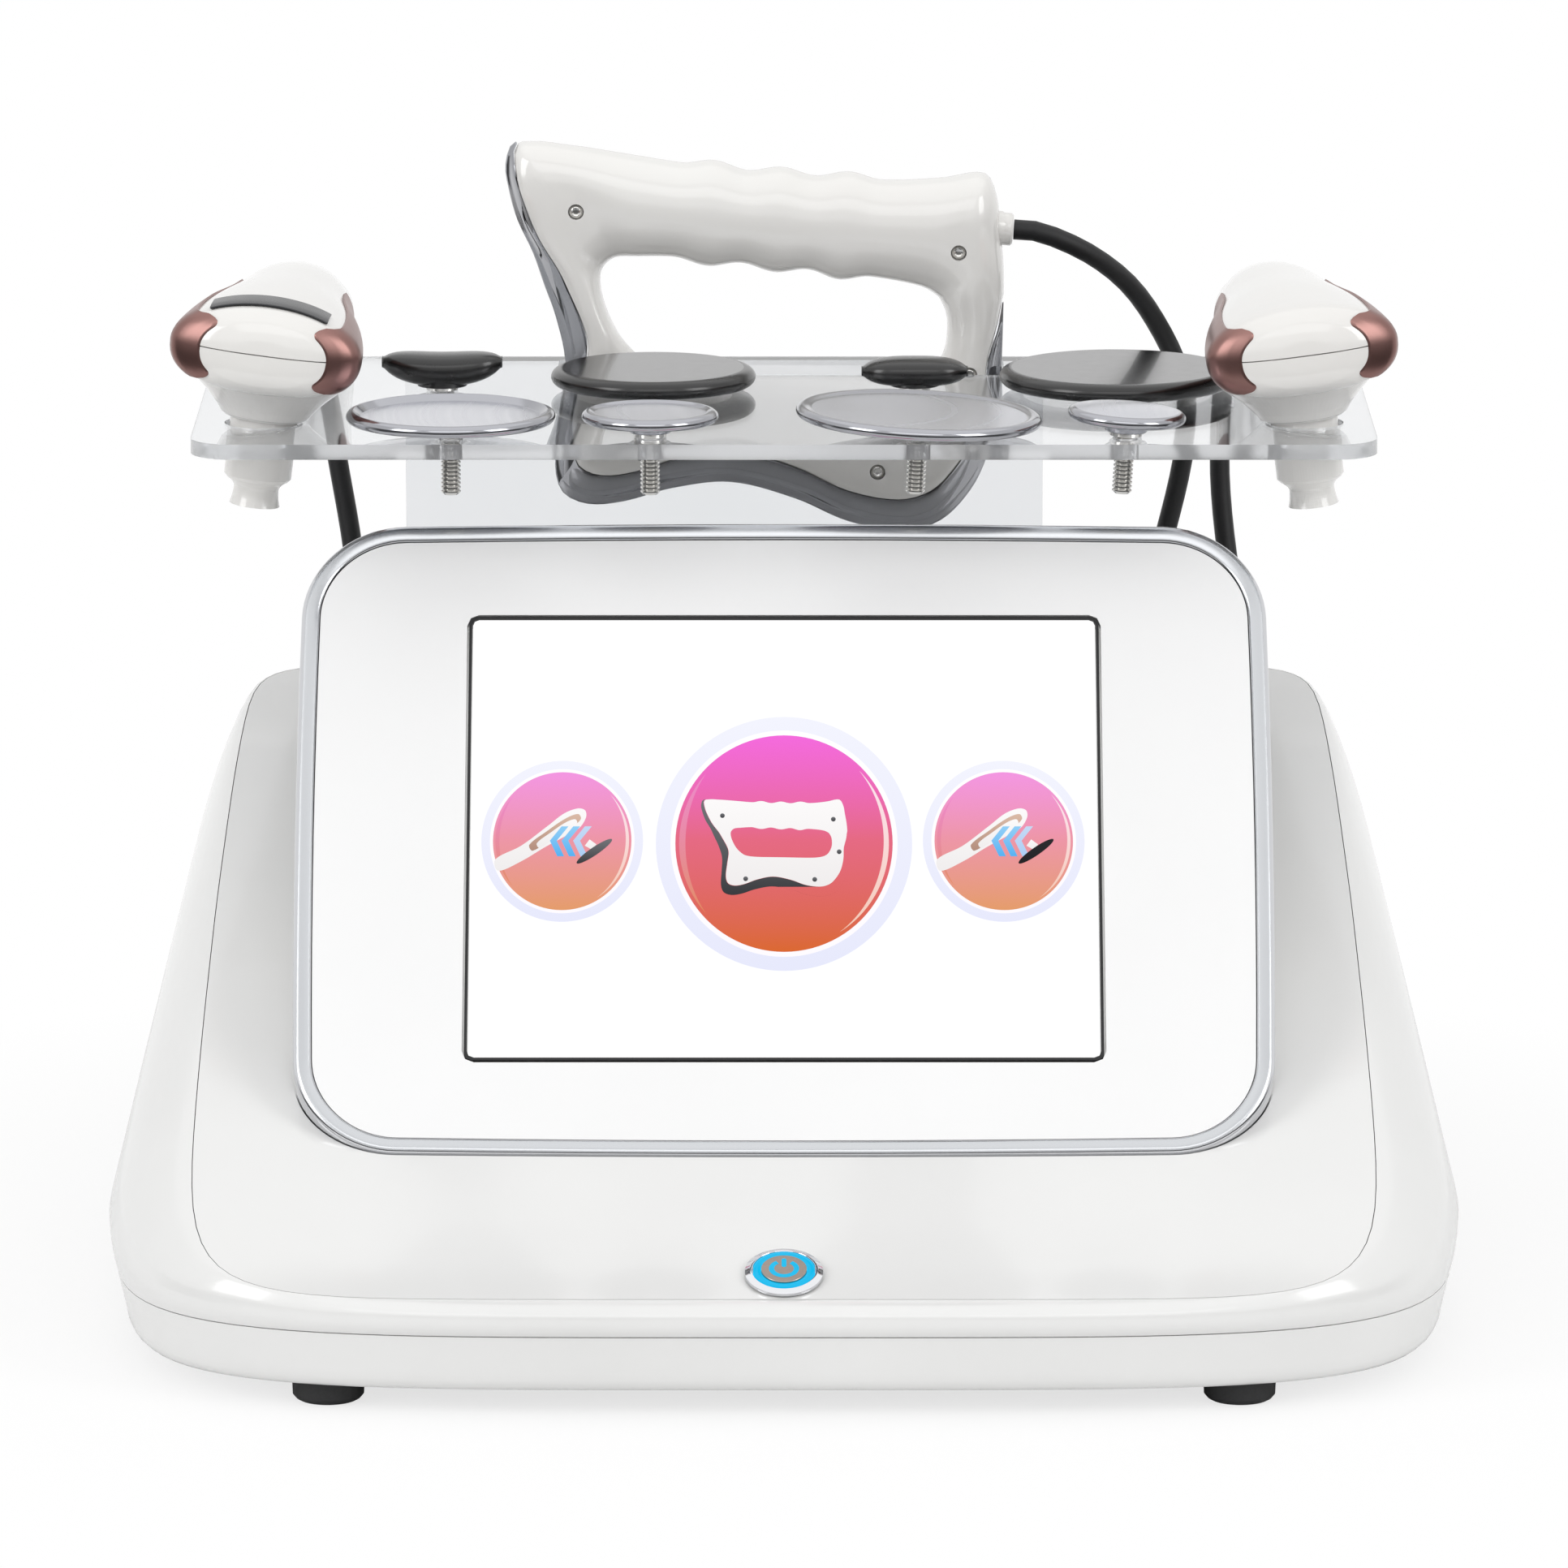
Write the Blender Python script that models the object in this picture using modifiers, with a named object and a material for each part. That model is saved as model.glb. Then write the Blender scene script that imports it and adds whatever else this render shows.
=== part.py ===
"""Tabletop tecar therapy machine: a wedge-shaped generator housing with a leaning touch screen,
a clear rack with eight electrodes, two handpieces and a wide scraper handle, and three leads.

Units are metres, +Z is up, the screen faces -Y. Run with: blender --background --python part.py
"""
import math

import bmesh
import bpy
from mathutils import Matrix, Vector

# Clearances shared by all pieces
FIT_GAP = 0.0003
SLIDE_GAP = 0.0004
CUT_OVERRUN = 0.002
MERGE_DISTANCE = 0.00002
COVER_GAP = 0.0005
COVER_SEAT_GAP = 0.0006
BOSS_OVERLAP = 0.0008

# Generator housing
HOUSING_HALF_WIDTH = 0.197
HOUSING_FRONT = 0.165
HOUSING_BACK = 0.144
HOUSING_WALL = 0.0026
HOUSING_POINTS = 44
FRONT_EXPONENT = 4.6
BACK_EXPONENT = 9.0
CORNER_WEIGHT = 0.030
PARTING_HEIGHT = 0.024
BULGE_RISE = 0.014
BULGE_RISE_SHARE = 0.4
PARTING_INSET = 0.002
FOOT_HEIGHT = 0.007
TRAY_EDGE_INSET = 0.009
TRAY_EDGE_RISE = 0.006
TRAY_EDGE_SIDE_INSET = 0.0045
DECK_HALF_WIDTH = 0.1712
DECK_FRONT = 0.158
DECK_BACK = 0.128
DECK_FRONT_EXPONENT = 8.5
DECK_BACK_EXPONENT = 14.0
DECK_BACK_TAPER = 0.0105
DECK_FRONT_HEIGHT = 0.034
DECK_BACK_HEIGHT = 0.1625
DECK_END = 0.140
DECK_FRONT_HANDLE = 0.066
DECK_FRONT_RISE = 0.0205
DECK_BACK_HANDLE = 0.090
DECK_BACK_DROP = 0.006
SIDE_DRAFT = math.radians(13.8)
SHOULDER_STEPS = 3
SHOULDER_DROP = 0.022
SHOULDER_DROP_SHARE = 0.6
SHOULDER_LIFT_SHARE = 0.45
SHOULDER_REACH_SHARE = 0.40
COVER_THICKNESS = 0.0024
LEDGE_WIDTH = 0.006
COVER_RING_SHARES = (1.0, 0.9, 0.66, 0.36, 0.12)
SOLVER_STEPS = 40

# Feet
FOOT_RADIUS = 0.0098
FOOT_TOP_RADIUS = 0.0104
FOOT_X = 0.130
FOOT_FRONT_Y = 0.1377
FOOT_BACK_Y = 0.112
FOOT_STEPS = 14
SMALL_STEPS = 10

# Screen pod
POD_LEAN = math.radians(36.5)
POD_WIDTH = 0.2855
POD_HEIGHT = 0.2035
POD_CORNER = 0.030
POD_CORNER_STEPS = 5
POD_BOW = 0.0014
POD_BOW_STEPS = 3
POD_BOTTOM_Y = -0.097
POD_BOTTOM_Z = 0.0604
TRIM_WIDTH = 0.0052
TRIM_DEPTH = 0.0105
TRIM_PROUD = 0.0012
TRIM_ROUND = 0.0022
FASCIA_THICKNESS = 0.0030
SHELL_DEPTH = 0.030
SHELL_EDGE_INSET = 0.0020
SHELL_SHOULDER = 0.016
SHELL_SHOULDER_INSET = 0.005
SHELL_BACK_INSET = 0.020
POCKET_MARGIN = 0.012
POCKET_DEPTH = 0.017
DISPLAY_WIDTH = 0.183
DISPLAY_HEIGHT = 0.140
DISPLAY_THICKNESS = 0.0042
DISPLAY_CORNER = 0.0018
GASKET_WIDTH = 0.0011
GASKET_PROUD = 0.0002
PEDESTAL_WIDTH = 0.150
PEDESTAL_FRONT_Y = -0.028
PEDESTAL_BACK_Y = 0.034
PEDESTAL_CORNER = 0.022
PEDESTAL_BOTTOM_Z = 0.078
PEDESTAL_SINK = 0.033
CONTROL_BOARD_WIDTH = 0.120
CONTROL_BOARD_HEIGHT = 0.080
CONTROL_BOARD_THICKNESS = 0.0016
CONTROL_CHIP_SIZE = 0.018
CONTROL_CHIP_HEIGHT = 0.003

# Illuminated power button
BUTTON_Y = -0.1466
BEZEL_RADIUS = 0.0112
BEZEL_TOP_RADIUS = 0.0098
BEZEL_HEIGHT = 0.0022
BEZEL_SEAT_GAP = 0.0008
BARREL_RADIUS = 0.0094
BARREL_LENGTH = 0.0130
LIGHT_RING_OUTER = 0.0088
LIGHT_RING_INNER = 0.0066
LIGHT_RING_HEIGHT = 0.0030
BUTTON_CAP_RADIUS = 0.0062
BUTTON_CAP_HEIGHT = 0.0048
BUTTON_CAP_PROUD = 0.0004
BUTTON_TRAVEL = 0.0015
BUTTON_STEPS = 16

# Clear rack
RACK_THICKNESS = 0.0045
SHELF_TOP = 0.2527
SHELF_HALF_WIDTH = 0.1743
SHELF_FRONT = -0.005
SHELF_CORNER = 0.013
SHELF_CORNER_STEPS = 4
PLATE_CENTRE_X = -0.0183
PLATE_HALF_WIDTH = 0.0976
PLATE_BOTTOM = 0.078
PLATE_STANDOFF = 0.003
PLATE_SCREW_X = 0.072
PLATE_SCREW_Z = 0.100
PLATE_SCREW_RADIUS = 0.0021
PLATE_SCREW_LENGTH = 0.016
PLATE_CAP_RADIUS = 0.0065
PLATE_CAP_HEIGHT = 0.0028
STANDOFF_RADIUS = 0.0060
NECK_HOLE_X = 0.154
NECK_HOLE_Y = 0.034
NECK_HOLE_RADIUS = 0.0116
NECK_HOLE_STEPS = 14
STUD_HOLE_RADIUS = 0.0036
STUD_HOLE_STEPS = 8
SLOT_MARGIN = 0.0020
OUTER_COLUMN_X = 0.1003
STEEL_62_COLUMN_X = 0.0979
CURVED_COLUMN_X = 0.1028
INNER_COLUMN_X = 0.0393
FRONT_ROW_Y = 0.008
BACK_ROW_Y = 0.090

# Electrodes
STUD_RADIUS = 0.0029
STUD_DROP = 0.0165
STUD_CHAMFER = 0.0008
HUB_RADIUS = 0.0067
HUB_HEIGHT = 0.0042
NECK_RADIUS = 0.0048
NECK_HEIGHT = 0.0012
DISC_STEPS = 18
SMALL_DISC_STEPS = 12
BAR_BASE_RADIUS = 0.0075
BAR_STATION_SHARES = (-1.0, -0.93, -0.78, -0.5, 0.0, 0.5, 0.78, 0.93, 1.0)
BAR_END_EXPONENT = 3.0
BAR_END_SHARE = 0.34
BAR_SECTION_POINTS = 8
BAR_SECTION_POWER = 0.75
BAR_BASE_HEIGHT = 0.0013
DOME_SHARE = 0.75
DISH_FLOOR_SHARE = 0.93
SMALL_DISC_RADIUS = 0.022
STEEL_62_RADIUS = 0.0308
STEEL_40_RADIUS = 0.0201
STEEL_72_RADIUS = 0.0362
STEEL_35_RADIUS = 0.0174
STEEL_THICKNESS = 0.0036
STEEL_EDGE = 0.0022
STEEL_DISH = 0.0018
STEEL_HOLLOW = 0.0008
STEEL_DOME = 0.0012
STEEL_72_TILT = math.radians(2.8)
STEEL_35_TILT = math.radians(3.5)
COATED_62_RADIUS = 0.0308
COATED_72_RADIUS = 0.0355
COATED_THICKNESS = 0.0056
COATED_EDGE = 0.0036
COATED_BAR_HALF = 0.0181
COATED_BAR_WIDTH = 0.0085
COATED_BAR_THICKNESS = 0.0098
COATED_BAR_SAG = 0.0022
COATED_SMALL_HALF = 0.0160
COATED_SMALL_WIDTH = 0.0090
COATED_SMALL_THICKNESS = 0.0085

# Scraper handle, in its own plane: u to the right, v up, from the centre of the finger opening
SCRAPER_PLANE_Y = 0.1325
SCRAPER_CENTRE_X = -0.0027
SCRAPER_CENTRE_Z = 0.268
SCRAPER_TILT = math.radians(4.0)
SCRAPER_HALF_WIDTH = 0.085
SCRAPER_HALF_HEIGHT = 0.063
OPENING_HALF_WIDTH = 0.054
OPENING_HALF_HEIGHT = 0.0188
BLADE_WIDTH = 0.0112
GRIP_HALF_THICKNESS = 0.0132
BODY_HALF_THICKNESS = 0.0108
SEAM_HALF_THICKNESS = 0.0082
BLADE_HALF_EDGE = 0.0017
BLADE_EDGE_SHARE = 0.7
BLADE_MIDDLE_SHARE = 0.5
BLADE_BULGE_SHARE = 0.62
BLADE_START_WIDTH = 0.0007
BLADE_BLEND = 0.006
GRIP_LEVEL = 0.040
GRIP_REACH = 0.040
GRIP_STEP = 0.0052
BODY_STEP = 0.0135
GRIP_BLEND = 0.020
GRIP_LEFT_END = 0.064
GRIP_ROUNDING = 0.0155
GRIP_ROUNDING_SHARE = 0.46
GRIP_WAVE = 0.00095
GRIP_WAVES = 3
GRIP_WAVE_PITCH = 0.0205
GRIP_WAVE_CENTRE = -0.0012
SECTION_SHARES = (0.0, 0.3, 1.0)
ROUND_EXPONENT = 2.2
FREE_EDGE_SHARE = 0.06
SLOT_LEVEL = -0.010
SCRAPER_SCREW_RADIUS = 0.0021
SCRAPER_SCREW_HEAD = 0.0016
COLLAR_RADIUS = 0.0054
COLLAR_TIP_RADIUS = 0.0050
COLLAR_START = 0.0615
COLLAR_END = 0.0702
COLLAR_V = 0.032
# Clockwise from the grip's left: outer point as shares of the tool's half width and half height, matching
# inner point as shares of the finger opening's, and the blade's width as a share of its widest
SCRAPER_KEY_SHARES = (
    (-0.5882, 0.7476, -0.8148, 0.8404, 0),
    (-0.4, 0.7238, -0.6296, 0.8777, 0),
    (-0.2471, 0.7127, -0.3889, 0.867, 0),
    (-0.09412, 0.7048, -0.1481, 0.8511, 0),
    (0.07059, 0.7032, 0.1111, 0.8298, 0),
    (0.2353, 0.7032, 0.3519, 0.7926, 0),
    (0.4, 0.7095, 0.5926, 0.7606, 0),
    (0.5647, 0.7365, 0.8056, 0.6755, 0),
    (0.7118, 0.7714, 0.9019, 0.5426, 0),
    (0.76, 0.6667, 0.9296, 0.4415, 0),
    (0.7812, 0.5079, 0.9519, 0.3191, 0),
    (0.8035, 0.3175, 0.9667, 0.1596, 0),
    (0.8141, 0.1111, 0.9722, -0.05319, 0.107),
    (0.8212, -0.1111, 0.9667, -0.2926, 0.402),
    (0.8235, -0.3651, 0.9352, -0.5585, 0.554),
    (0.7953, -0.6032, 0.8852, -0.7713, 0.732),
    (0.7447, -0.7778, 0.8148, -0.9043, 0.893),
    (0.6471, -0.9365, 0.713, -0.9734, 0.982),
    (0.5176, -1, 0.6019, -1, 1),
    (0.3176, -0.9762, 0.3981, -1, 1),
    (0.1176, -0.881, 0.1481, -0.984, 1),
    (-0.1176, -0.8222, -0.1481, -0.9681, 1),
    (-0.3294, -0.873, -0.4074, -0.9574, 1),
    (-0.4941, -0.9524, -0.5833, -0.9255, 1),
    (-0.6235, -0.9778, -0.7, -0.8617, 1),
    (-0.7176, -0.9286, -0.7593, -0.7713, 0.982),
    (-0.7518, -0.7937, -0.8037, -0.6649, 0.929),
    (-0.7435, -0.5238, -0.8444, -0.5479, 0.821),
    (-0.74, -0.2857, -0.8815, -0.4149, 0.732),
    (-0.7859, -0.06667, -0.9259, -0.2021, 0.732),
    (-0.8329, 0.07937, -0.9667, 0.06383, 0.768),
    (-0.8812, 0.2333, -0.9889, 0.2766, 0.804),
    (-0.9447, 0.3889, -0.9981, 0.4787, 0.732),
    (-0.9835, 0.5397, -0.9889, 0.617, 0.625),
    (-1, 0.6587, -0.963, 0.7234, 0.464),
    (-0.9682, 0.7683, -0.9259, 0.7979, 0.0893),
    (-0.7765, 0.7683, -0.8741, 0.8298, 0),
)
# Place of each screw, and how deep its bore's floor lies, as shares of the tool's half sizes
SCRAPER_SCREW_SHARES = (
    (-0.736, 0.471, 0.759),
    (0.635, 0.406, 0.907),
    (0.706, -0.190, 0.722),
    (0.404, -0.695, 0.722),
    (-0.447, -0.683, 0.722),
)

# Handpieces, in their own frame: neck axis up, body along +y from the nose
HANDPIECE_LEAN = math.radians(7.0)
HANDPIECE_YAW = math.radians(3.5)
SEAM_GAP = 0.0003
HANDPIECE_LENGTH = 0.174
HANDPIECE_NOSE = 0.031
HANDPIECE_HALF_WIDTH = 0.0272
HANDPIECE_MIDDLE_HEIGHT = 0.0276
HANDPIECE_HALF_HEIGHT = 0.0150
SECTION_POINTS = 10
SIDE_SECTION_EXPONENT = 2.5
TOP_SECTION_EXPONENT = 2.0
SHOULDER_RADIUS = 0.0123
NECK_TUBE_RADIUS = 0.0100
NECK_TUBE_DROP = 0.0165
WAIST_RADIUS = 0.0067
WAIST_DROP = 0.0198
MOUTH_RADIUS = 0.0075
MOUTH_DROP = 0.0248
SOCKET_RADIUS = 0.0025
SOCKET_DEPTH = 0.012
FUNNEL_MID_RADIUS = 0.0160
FUNNEL_MID_HEIGHT = 0.0055
FUNNEL_WIDE_RADIUS = 0.0205
FUNNEL_WIDE_HEIGHT = 0.0110
FUNNEL_TOP_RADIUS = 0.0225
FUNNEL_TOP_HEIGHT = 0.0180
FUNNEL_STEPS = 14
INLAY_THICKNESS = 0.0009
INLAY_GAP = 0.0007
INLAY_HALF_HEIGHT = 0.0095
INLAY_FRONT_Y = -0.0275
INLAY_BACK_Y = 0.052
LENS_HALF_WIDTH = 0.0170
LENS_FRONT_Y = -0.0205
LENS_BACK_Y = -0.0140
LENS_THICKNESS = 0.0007
LENS_STEPS = 6
INLAY_SECTION_STEPS = 4
INLAY_ROUNDING = 0.0022
BOOT_RADIUS = 0.0075
BOOT_TIP_RADIUS = 0.0046
BOOT_LENGTH = 0.016
BOOT_STEPS = 12
# Along the body from its nose: share of the length, then of the half width, middle height and half height
HANDPIECE_STATION_SHARES = (
    (0.000, 0.750, 0.900, 0.567),
    (0.011, 0.904, 0.905, 0.753),
    (0.037, 1.000, 0.910, 0.860),
    (0.121, 0.989, 0.915, 0.920),
    (0.236, 0.897, 0.920, 0.960),
    (0.379, 0.732, 0.900, 0.980),
    (0.523, 0.643, 0.862, 1.000),
    (0.667, 0.551, 0.743, 0.967),
    (0.810, 0.478, 0.609, 0.853),
    (0.925, 0.441, 0.486, 0.787),
    (0.983, 0.415, 0.435, 0.740),
    (1.000, 0.346, 0.428, 0.613),
)

# Leads
LEAD_RADIUS = 0.0031
LEAD_SIDES_LEVEL = 2
COIL_SIDES_LEVEL = 1
COIL_TURNS = 4.25
COIL_TURN_POINTS = 24
COIL_OUTER_RADIUS = 0.0390
COIL_PITCH = 0.0069
COIL_LAYER_RISE = 0.0069
COIL_FLOOR_GAP = 0.0002
COIL_CENTRE_Y = 0.222
COIL_CLIMB_TURNS = 0.5
COIL_CLIMB_MIDDLE_SHARE = 0.5
COIL_END_STRAIGHT = 0.0062
COIL_CENTRES_X = (-0.096, 0.036, 0.1225)
SEGMENT_CHECKS = 4
LEAD_POINT_SPACING = 0.0174
LEAD_END_STRAIGHT = 0.0062
# Route points of each lead from its handle down to its coil, and from the coil up to its socket
DROP_ROUTES = (
    ((-0.1445, 0.2110, 0.2450), (-0.1400, 0.2080, 0.2150), (-0.1342, 0.2020, 0.1800),
     (-0.1335, 0.1900, 0.1150), (-0.1350, 0.1830, 0.0600)),
    ((0.0840, 0.1330, 0.2918), (0.1010, 0.1420, 0.2805), (0.1150, 0.1570, 0.2610),
     (0.1240, 0.1740, 0.2350), (0.1180, 0.1850, 0.1900), (0.0950, 0.1850, 0.1300), (0.0790, 0.1830, 0.0700)),
    ((0.1390, 0.2110, 0.2450), (0.1360, 0.2080, 0.2150), (0.1400, 0.2000, 0.1700),
     (0.1530, 0.1880, 0.1100), (0.1610, 0.1830, 0.0600)),
)
RISE_ROUTES = (
    ((-0.0700, 0.2585, 0.0150), (-0.0560, 0.2450, 0.0330), (-0.0520, 0.2230, 0.0470)),
    ((0.0180, 0.2580, 0.0170), (0.0095, 0.2440, 0.0340), (0.0080, 0.2230, 0.0470)),
    ((0.0900, 0.2590, 0.0150), (0.0730, 0.2460, 0.0320), (0.0680, 0.2230, 0.0470)),
)

# Rear wall fittings
GLAND_SPACING = 0.060
GLAND_CENTRE_X = 0.008
GLAND_Z = 0.050
GLAND_PLATE_HALF_WIDTH = 0.074
GLAND_PLATE_HALF_HEIGHT = 0.013
GLAND_PLATE_THICKNESS = 0.0025
GLAND_PLATE_CORNER = 0.004
GLAND_BASE_RADIUS = 0.0085
GLAND_NUT_LENGTH = 0.009
GLAND_TIP_RADIUS = 0.0046
GLAND_TAIL_LENGTH = 0.016
GLAND_BARREL_RADIUS = 0.0070
GLAND_BARREL_LENGTH = 0.012
INLET_X = -0.108
INLET_Z = 0.050
INLET_WIDTH = 0.050
INLET_HEIGHT = 0.030
INLET_FLANGE = 0.0030
INLET_BODY_WIDTH = 0.044
INLET_BODY_HEIGHT = 0.026
INLET_BODY_DEPTH = 0.022
INLET_CUP_WIDTH = 0.022
INLET_CUP_HEIGHT = 0.017
INLET_CUP_DEPTH = 0.016
INLET_CUP_X = -0.009
INLET_PIN_WIDTH = 0.0020
INLET_PIN_HEIGHT = 0.0040
INLET_PIN_SPACING = 0.0070
INLET_PIN_DROP = 0.0030
INLET_PIN_RISE = 0.0020
ROCKER_X = 0.013
ROCKER_WIDTH = 0.0130
ROCKER_HEIGHT = 0.0190
ROCKER_THICKNESS = 0.0050
ROCKER_PROUD = 0.0020
ROCKER_ANGLE = math.radians(9.0)
ROCKER_GAP = 0.0006
ROCKER_POCKET_DEPTH = 0.0080

# Parts inside the housing
SUPPLY_LENGTH = 0.110
SUPPLY_WIDTH = 0.060
SUPPLY_HEIGHT = 0.034
SUPPLY_X = -0.095
SUPPLY_Y = 0.030
SUPPLY_ROUNDING = 0.0015
BOARD_LENGTH = 0.130
BOARD_WIDTH = 0.100
BOARD_THICKNESS = 0.0016
BOARD_X = 0.070
BOARD_Y = 0.020
BOARD_STANDOFF = 0.006
BOARD_STANDOFF_RADIUS = 0.0035
BOARD_STANDOFF_INSET = 0.007
SINK_LENGTH = 0.080
SINK_WIDTH = 0.046
SINK_BASE = 0.004
SINK_FIN_HEIGHT = 0.020
SINK_FIN_THICKNESS = 0.0022
SINK_FINS = 6
TRANSFORMER_RADIUS = 0.016
TRANSFORMER_HEIGHT = 0.018
SINK_SHIFT = 0.018
TRANSFORMER_SHIFT = 0.044

OBJECT_NAME = "tecar_therapy_machine"

# Colours are linear, then roughness and metallic
FINISHES = {
    "white_housing": ((0.86, 0.85, 0.83), 0.18, 0.0),
    "white_fascia": ((0.90, 0.90, 0.90), 0.22, 0.0),
    "white_handle": ((0.84, 0.82, 0.80), 0.20, 0.0),
    "chrome": ((0.78, 0.78, 0.80), 0.08, 1.0),
    "black_rubber": ((0.02, 0.02, 0.02), 0.60, 0.0),
    "black_coating": ((0.03, 0.03, 0.035), 0.30, 0.0),
    "rose_metal": ((0.35, 0.20, 0.19), 0.22, 0.9),
    "clear_acrylic": ((0.92, 0.95, 0.96), 0.05, 0.0),
    "blue_light": ((0.01, 0.50, 0.80), 0.30, 0.0),
    "screen_glass": ((0.85, 0.85, 0.88), 0.10, 0.0),
    "circuit_green": ((0.03, 0.20, 0.08), 0.50, 0.0),
    "grey_metal": ((0.50, 0.50, 0.52), 0.35, 0.9),
    "black_plastic": ((0.03, 0.03, 0.03), 0.40, 0.0),
}


def clear_scene():
    for item in list(bpy.data.objects):
        bpy.data.objects.remove(item, do_unlink=True)


def new_collection(name):
    collection = bpy.data.collections.new(name)
    bpy.context.scene.collection.children.link(collection)
    return collection


def make_finishes():
    finishes = {}
    for name, (colour, roughness, metallic) in FINISHES.items():
        finish = bpy.data.materials.new(name)
        finish.use_nodes = True
        shader = finish.node_tree.nodes["Principled BSDF"]
        shader.inputs["Base Color"].default_value = (*colour, 1.0)
        shader.inputs["Roughness"].default_value = roughness
        shader.inputs["Metallic"].default_value = metallic
        finish.diffuse_color = (*colour, 1.0)
        finishes[name] = finish
    return finishes


clear_scene()
PARTS = new_collection(OBJECT_NAME)
CUTTERS = new_collection("cutters")
MATERIALS = make_finishes()


def add_part(name, mesh, finish, frame=None, smooth=True):
    """Link a mesh as one sub-part; frame is the empty on its joint's axis, if it moves."""
    item = bpy.data.objects.new(name, mesh)
    own = MATERIALS[finish].copy()
    own.name = name + "_finish"
    mesh.materials.clear()
    mesh.materials.append(own)
    if smooth:
        mesh.shade_smooth()
        mesh.set_sharp_from_angle(angle=math.radians(35.0))
    PARTS.objects.link(item)
    if frame is not None:
        item.parent = frame
    return item


def add_cutter(name, mesh, frame=None):
    item = bpy.data.objects.new(name, mesh)
    item.hide_render = True
    item.display_type = "WIRE"
    CUTTERS.objects.link(item)
    if frame is not None:
        item.parent = frame
    return item


def add_frame(name, matrix, parent=None):
    """An empty that carries moving pieces; its origin and +Z lie on the joint's axis."""
    empty = bpy.data.objects.new(name, None)
    CUTTERS.objects.link(empty)
    empty.parent = parent
    empty.matrix_local = matrix
    return empty


def cut(item, cutter, operation="DIFFERENCE"):
    modifier = item.modifiers.new("cut", "BOOLEAN")
    modifier.operation = operation
    modifier.solver = "EXACT"
    modifier.object = cutter
    return modifier


def thicken(item, thickness):
    modifier = item.modifiers.new("wall", "SOLIDIFY")
    modifier.thickness = thickness
    modifier.offset = -1.0
    modifier.use_even_offset = True
    return modifier


def round_edges(item, width, segments=2, angle=math.radians(40.0)):
    modifier = item.modifiers.new("rounding", "BEVEL")
    modifier.width = width
    modifier.segments = segments
    modifier.limit_method = "ANGLE"
    modifier.angle_limit = angle
    return modifier


def mesh_from(name, points, faces):
    mesh = bpy.data.meshes.new(name)
    mesh.from_pydata([tuple(point) for point in points], [], faces)
    mesh.validate()
    return mesh


def cleaned(mesh):
    work = bmesh.new()
    work.from_mesh(mesh)
    bmesh.ops.remove_doubles(work, verts=work.verts, dist=MERGE_DISTANCE)
    bmesh.ops.recalc_face_normals(work, faces=work.faces)
    work.to_mesh(mesh)
    work.free()
    return mesh


def loft(name, rings, closed_rings=True, closed_path=False, caps=True):
    """Skin a list of equal rings; caps close the first and the last one."""
    count = len(rings[0])
    points = [point for ring in rings for point in ring]
    faces = []
    spans = len(rings) if closed_path else len(rings) - 1
    sides = count if closed_rings else count - 1
    for ring in range(spans):
        here = ring * count
        there = ((ring + 1) % len(rings)) * count
        for side in range(sides):
            after = (side + 1) % count
            faces.append((here + side, here + after, there + after, there + side))
    if caps and not closed_path:
        faces.append(tuple(reversed(range(count))))
        faces.append(tuple(range(len(points) - count, len(points))))
    return mesh_from(name, points, faces)


def box_mesh(name, size, centre):
    mesh = bpy.data.meshes.new(name)
    work = bmesh.new()
    scale = Matrix.Diagonal((size[0], size[1], size[2], 1.0))
    bmesh.ops.create_cube(work, size=1.0, matrix=Matrix.Translation(centre) @ scale)
    work.to_mesh(mesh)
    work.free()
    return mesh


def rod_mesh(name, radius, start, end, steps, end_radius=None):
    """A cylinder or cone between two points."""
    start, end = Vector(start), Vector(end)
    axis = end - start
    turn = axis.to_track_quat("Z", "Y").to_matrix().to_4x4()
    mesh = bpy.data.meshes.new(name)
    work = bmesh.new()
    bmesh.ops.create_cone(
        work, cap_ends=True, cap_tris=False, segments=steps, radius1=radius,
        radius2=radius if end_radius is None else end_radius, depth=axis.length,
        matrix=Matrix.Translation((start + end) / 2) @ turn)
    work.to_mesh(mesh)
    work.free()
    return mesh


def turned_part(name, profile, finish, steps, frame=None):
    """A turned solid: profile is a list of (radius, height) from the top of the axis down."""
    points = [(radius, 0.0, height) for radius, height in profile]
    mesh = bpy.data.meshes.new(name)
    edges = [(index, index + 1) for index in range(len(points) - 1)]
    mesh.from_pydata(points, edges, [])
    item = add_part(name, mesh, finish, frame, smooth=False)
    add_screw(item, steps)
    return item


def add_screw(item, steps):
    modifier = item.modifiers.new("turn", "SCREW")
    modifier.axis = "Z"
    modifier.steps = steps
    modifier.render_steps = steps
    modifier.use_merge_vertices = True
    modifier.merge_threshold = MERGE_DISTANCE
    modifier.use_smooth_shade = True


def turned_cutter(name, profile, steps, frame=None):
    points = [(radius, 0.0, height) for radius, height in profile]
    mesh = bpy.data.meshes.new(name)
    mesh.from_pydata(points, [(index, index + 1) for index in range(len(points) - 1)], [])
    item = add_cutter(name, mesh, frame)
    add_screw(item, steps)
    return item


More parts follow.
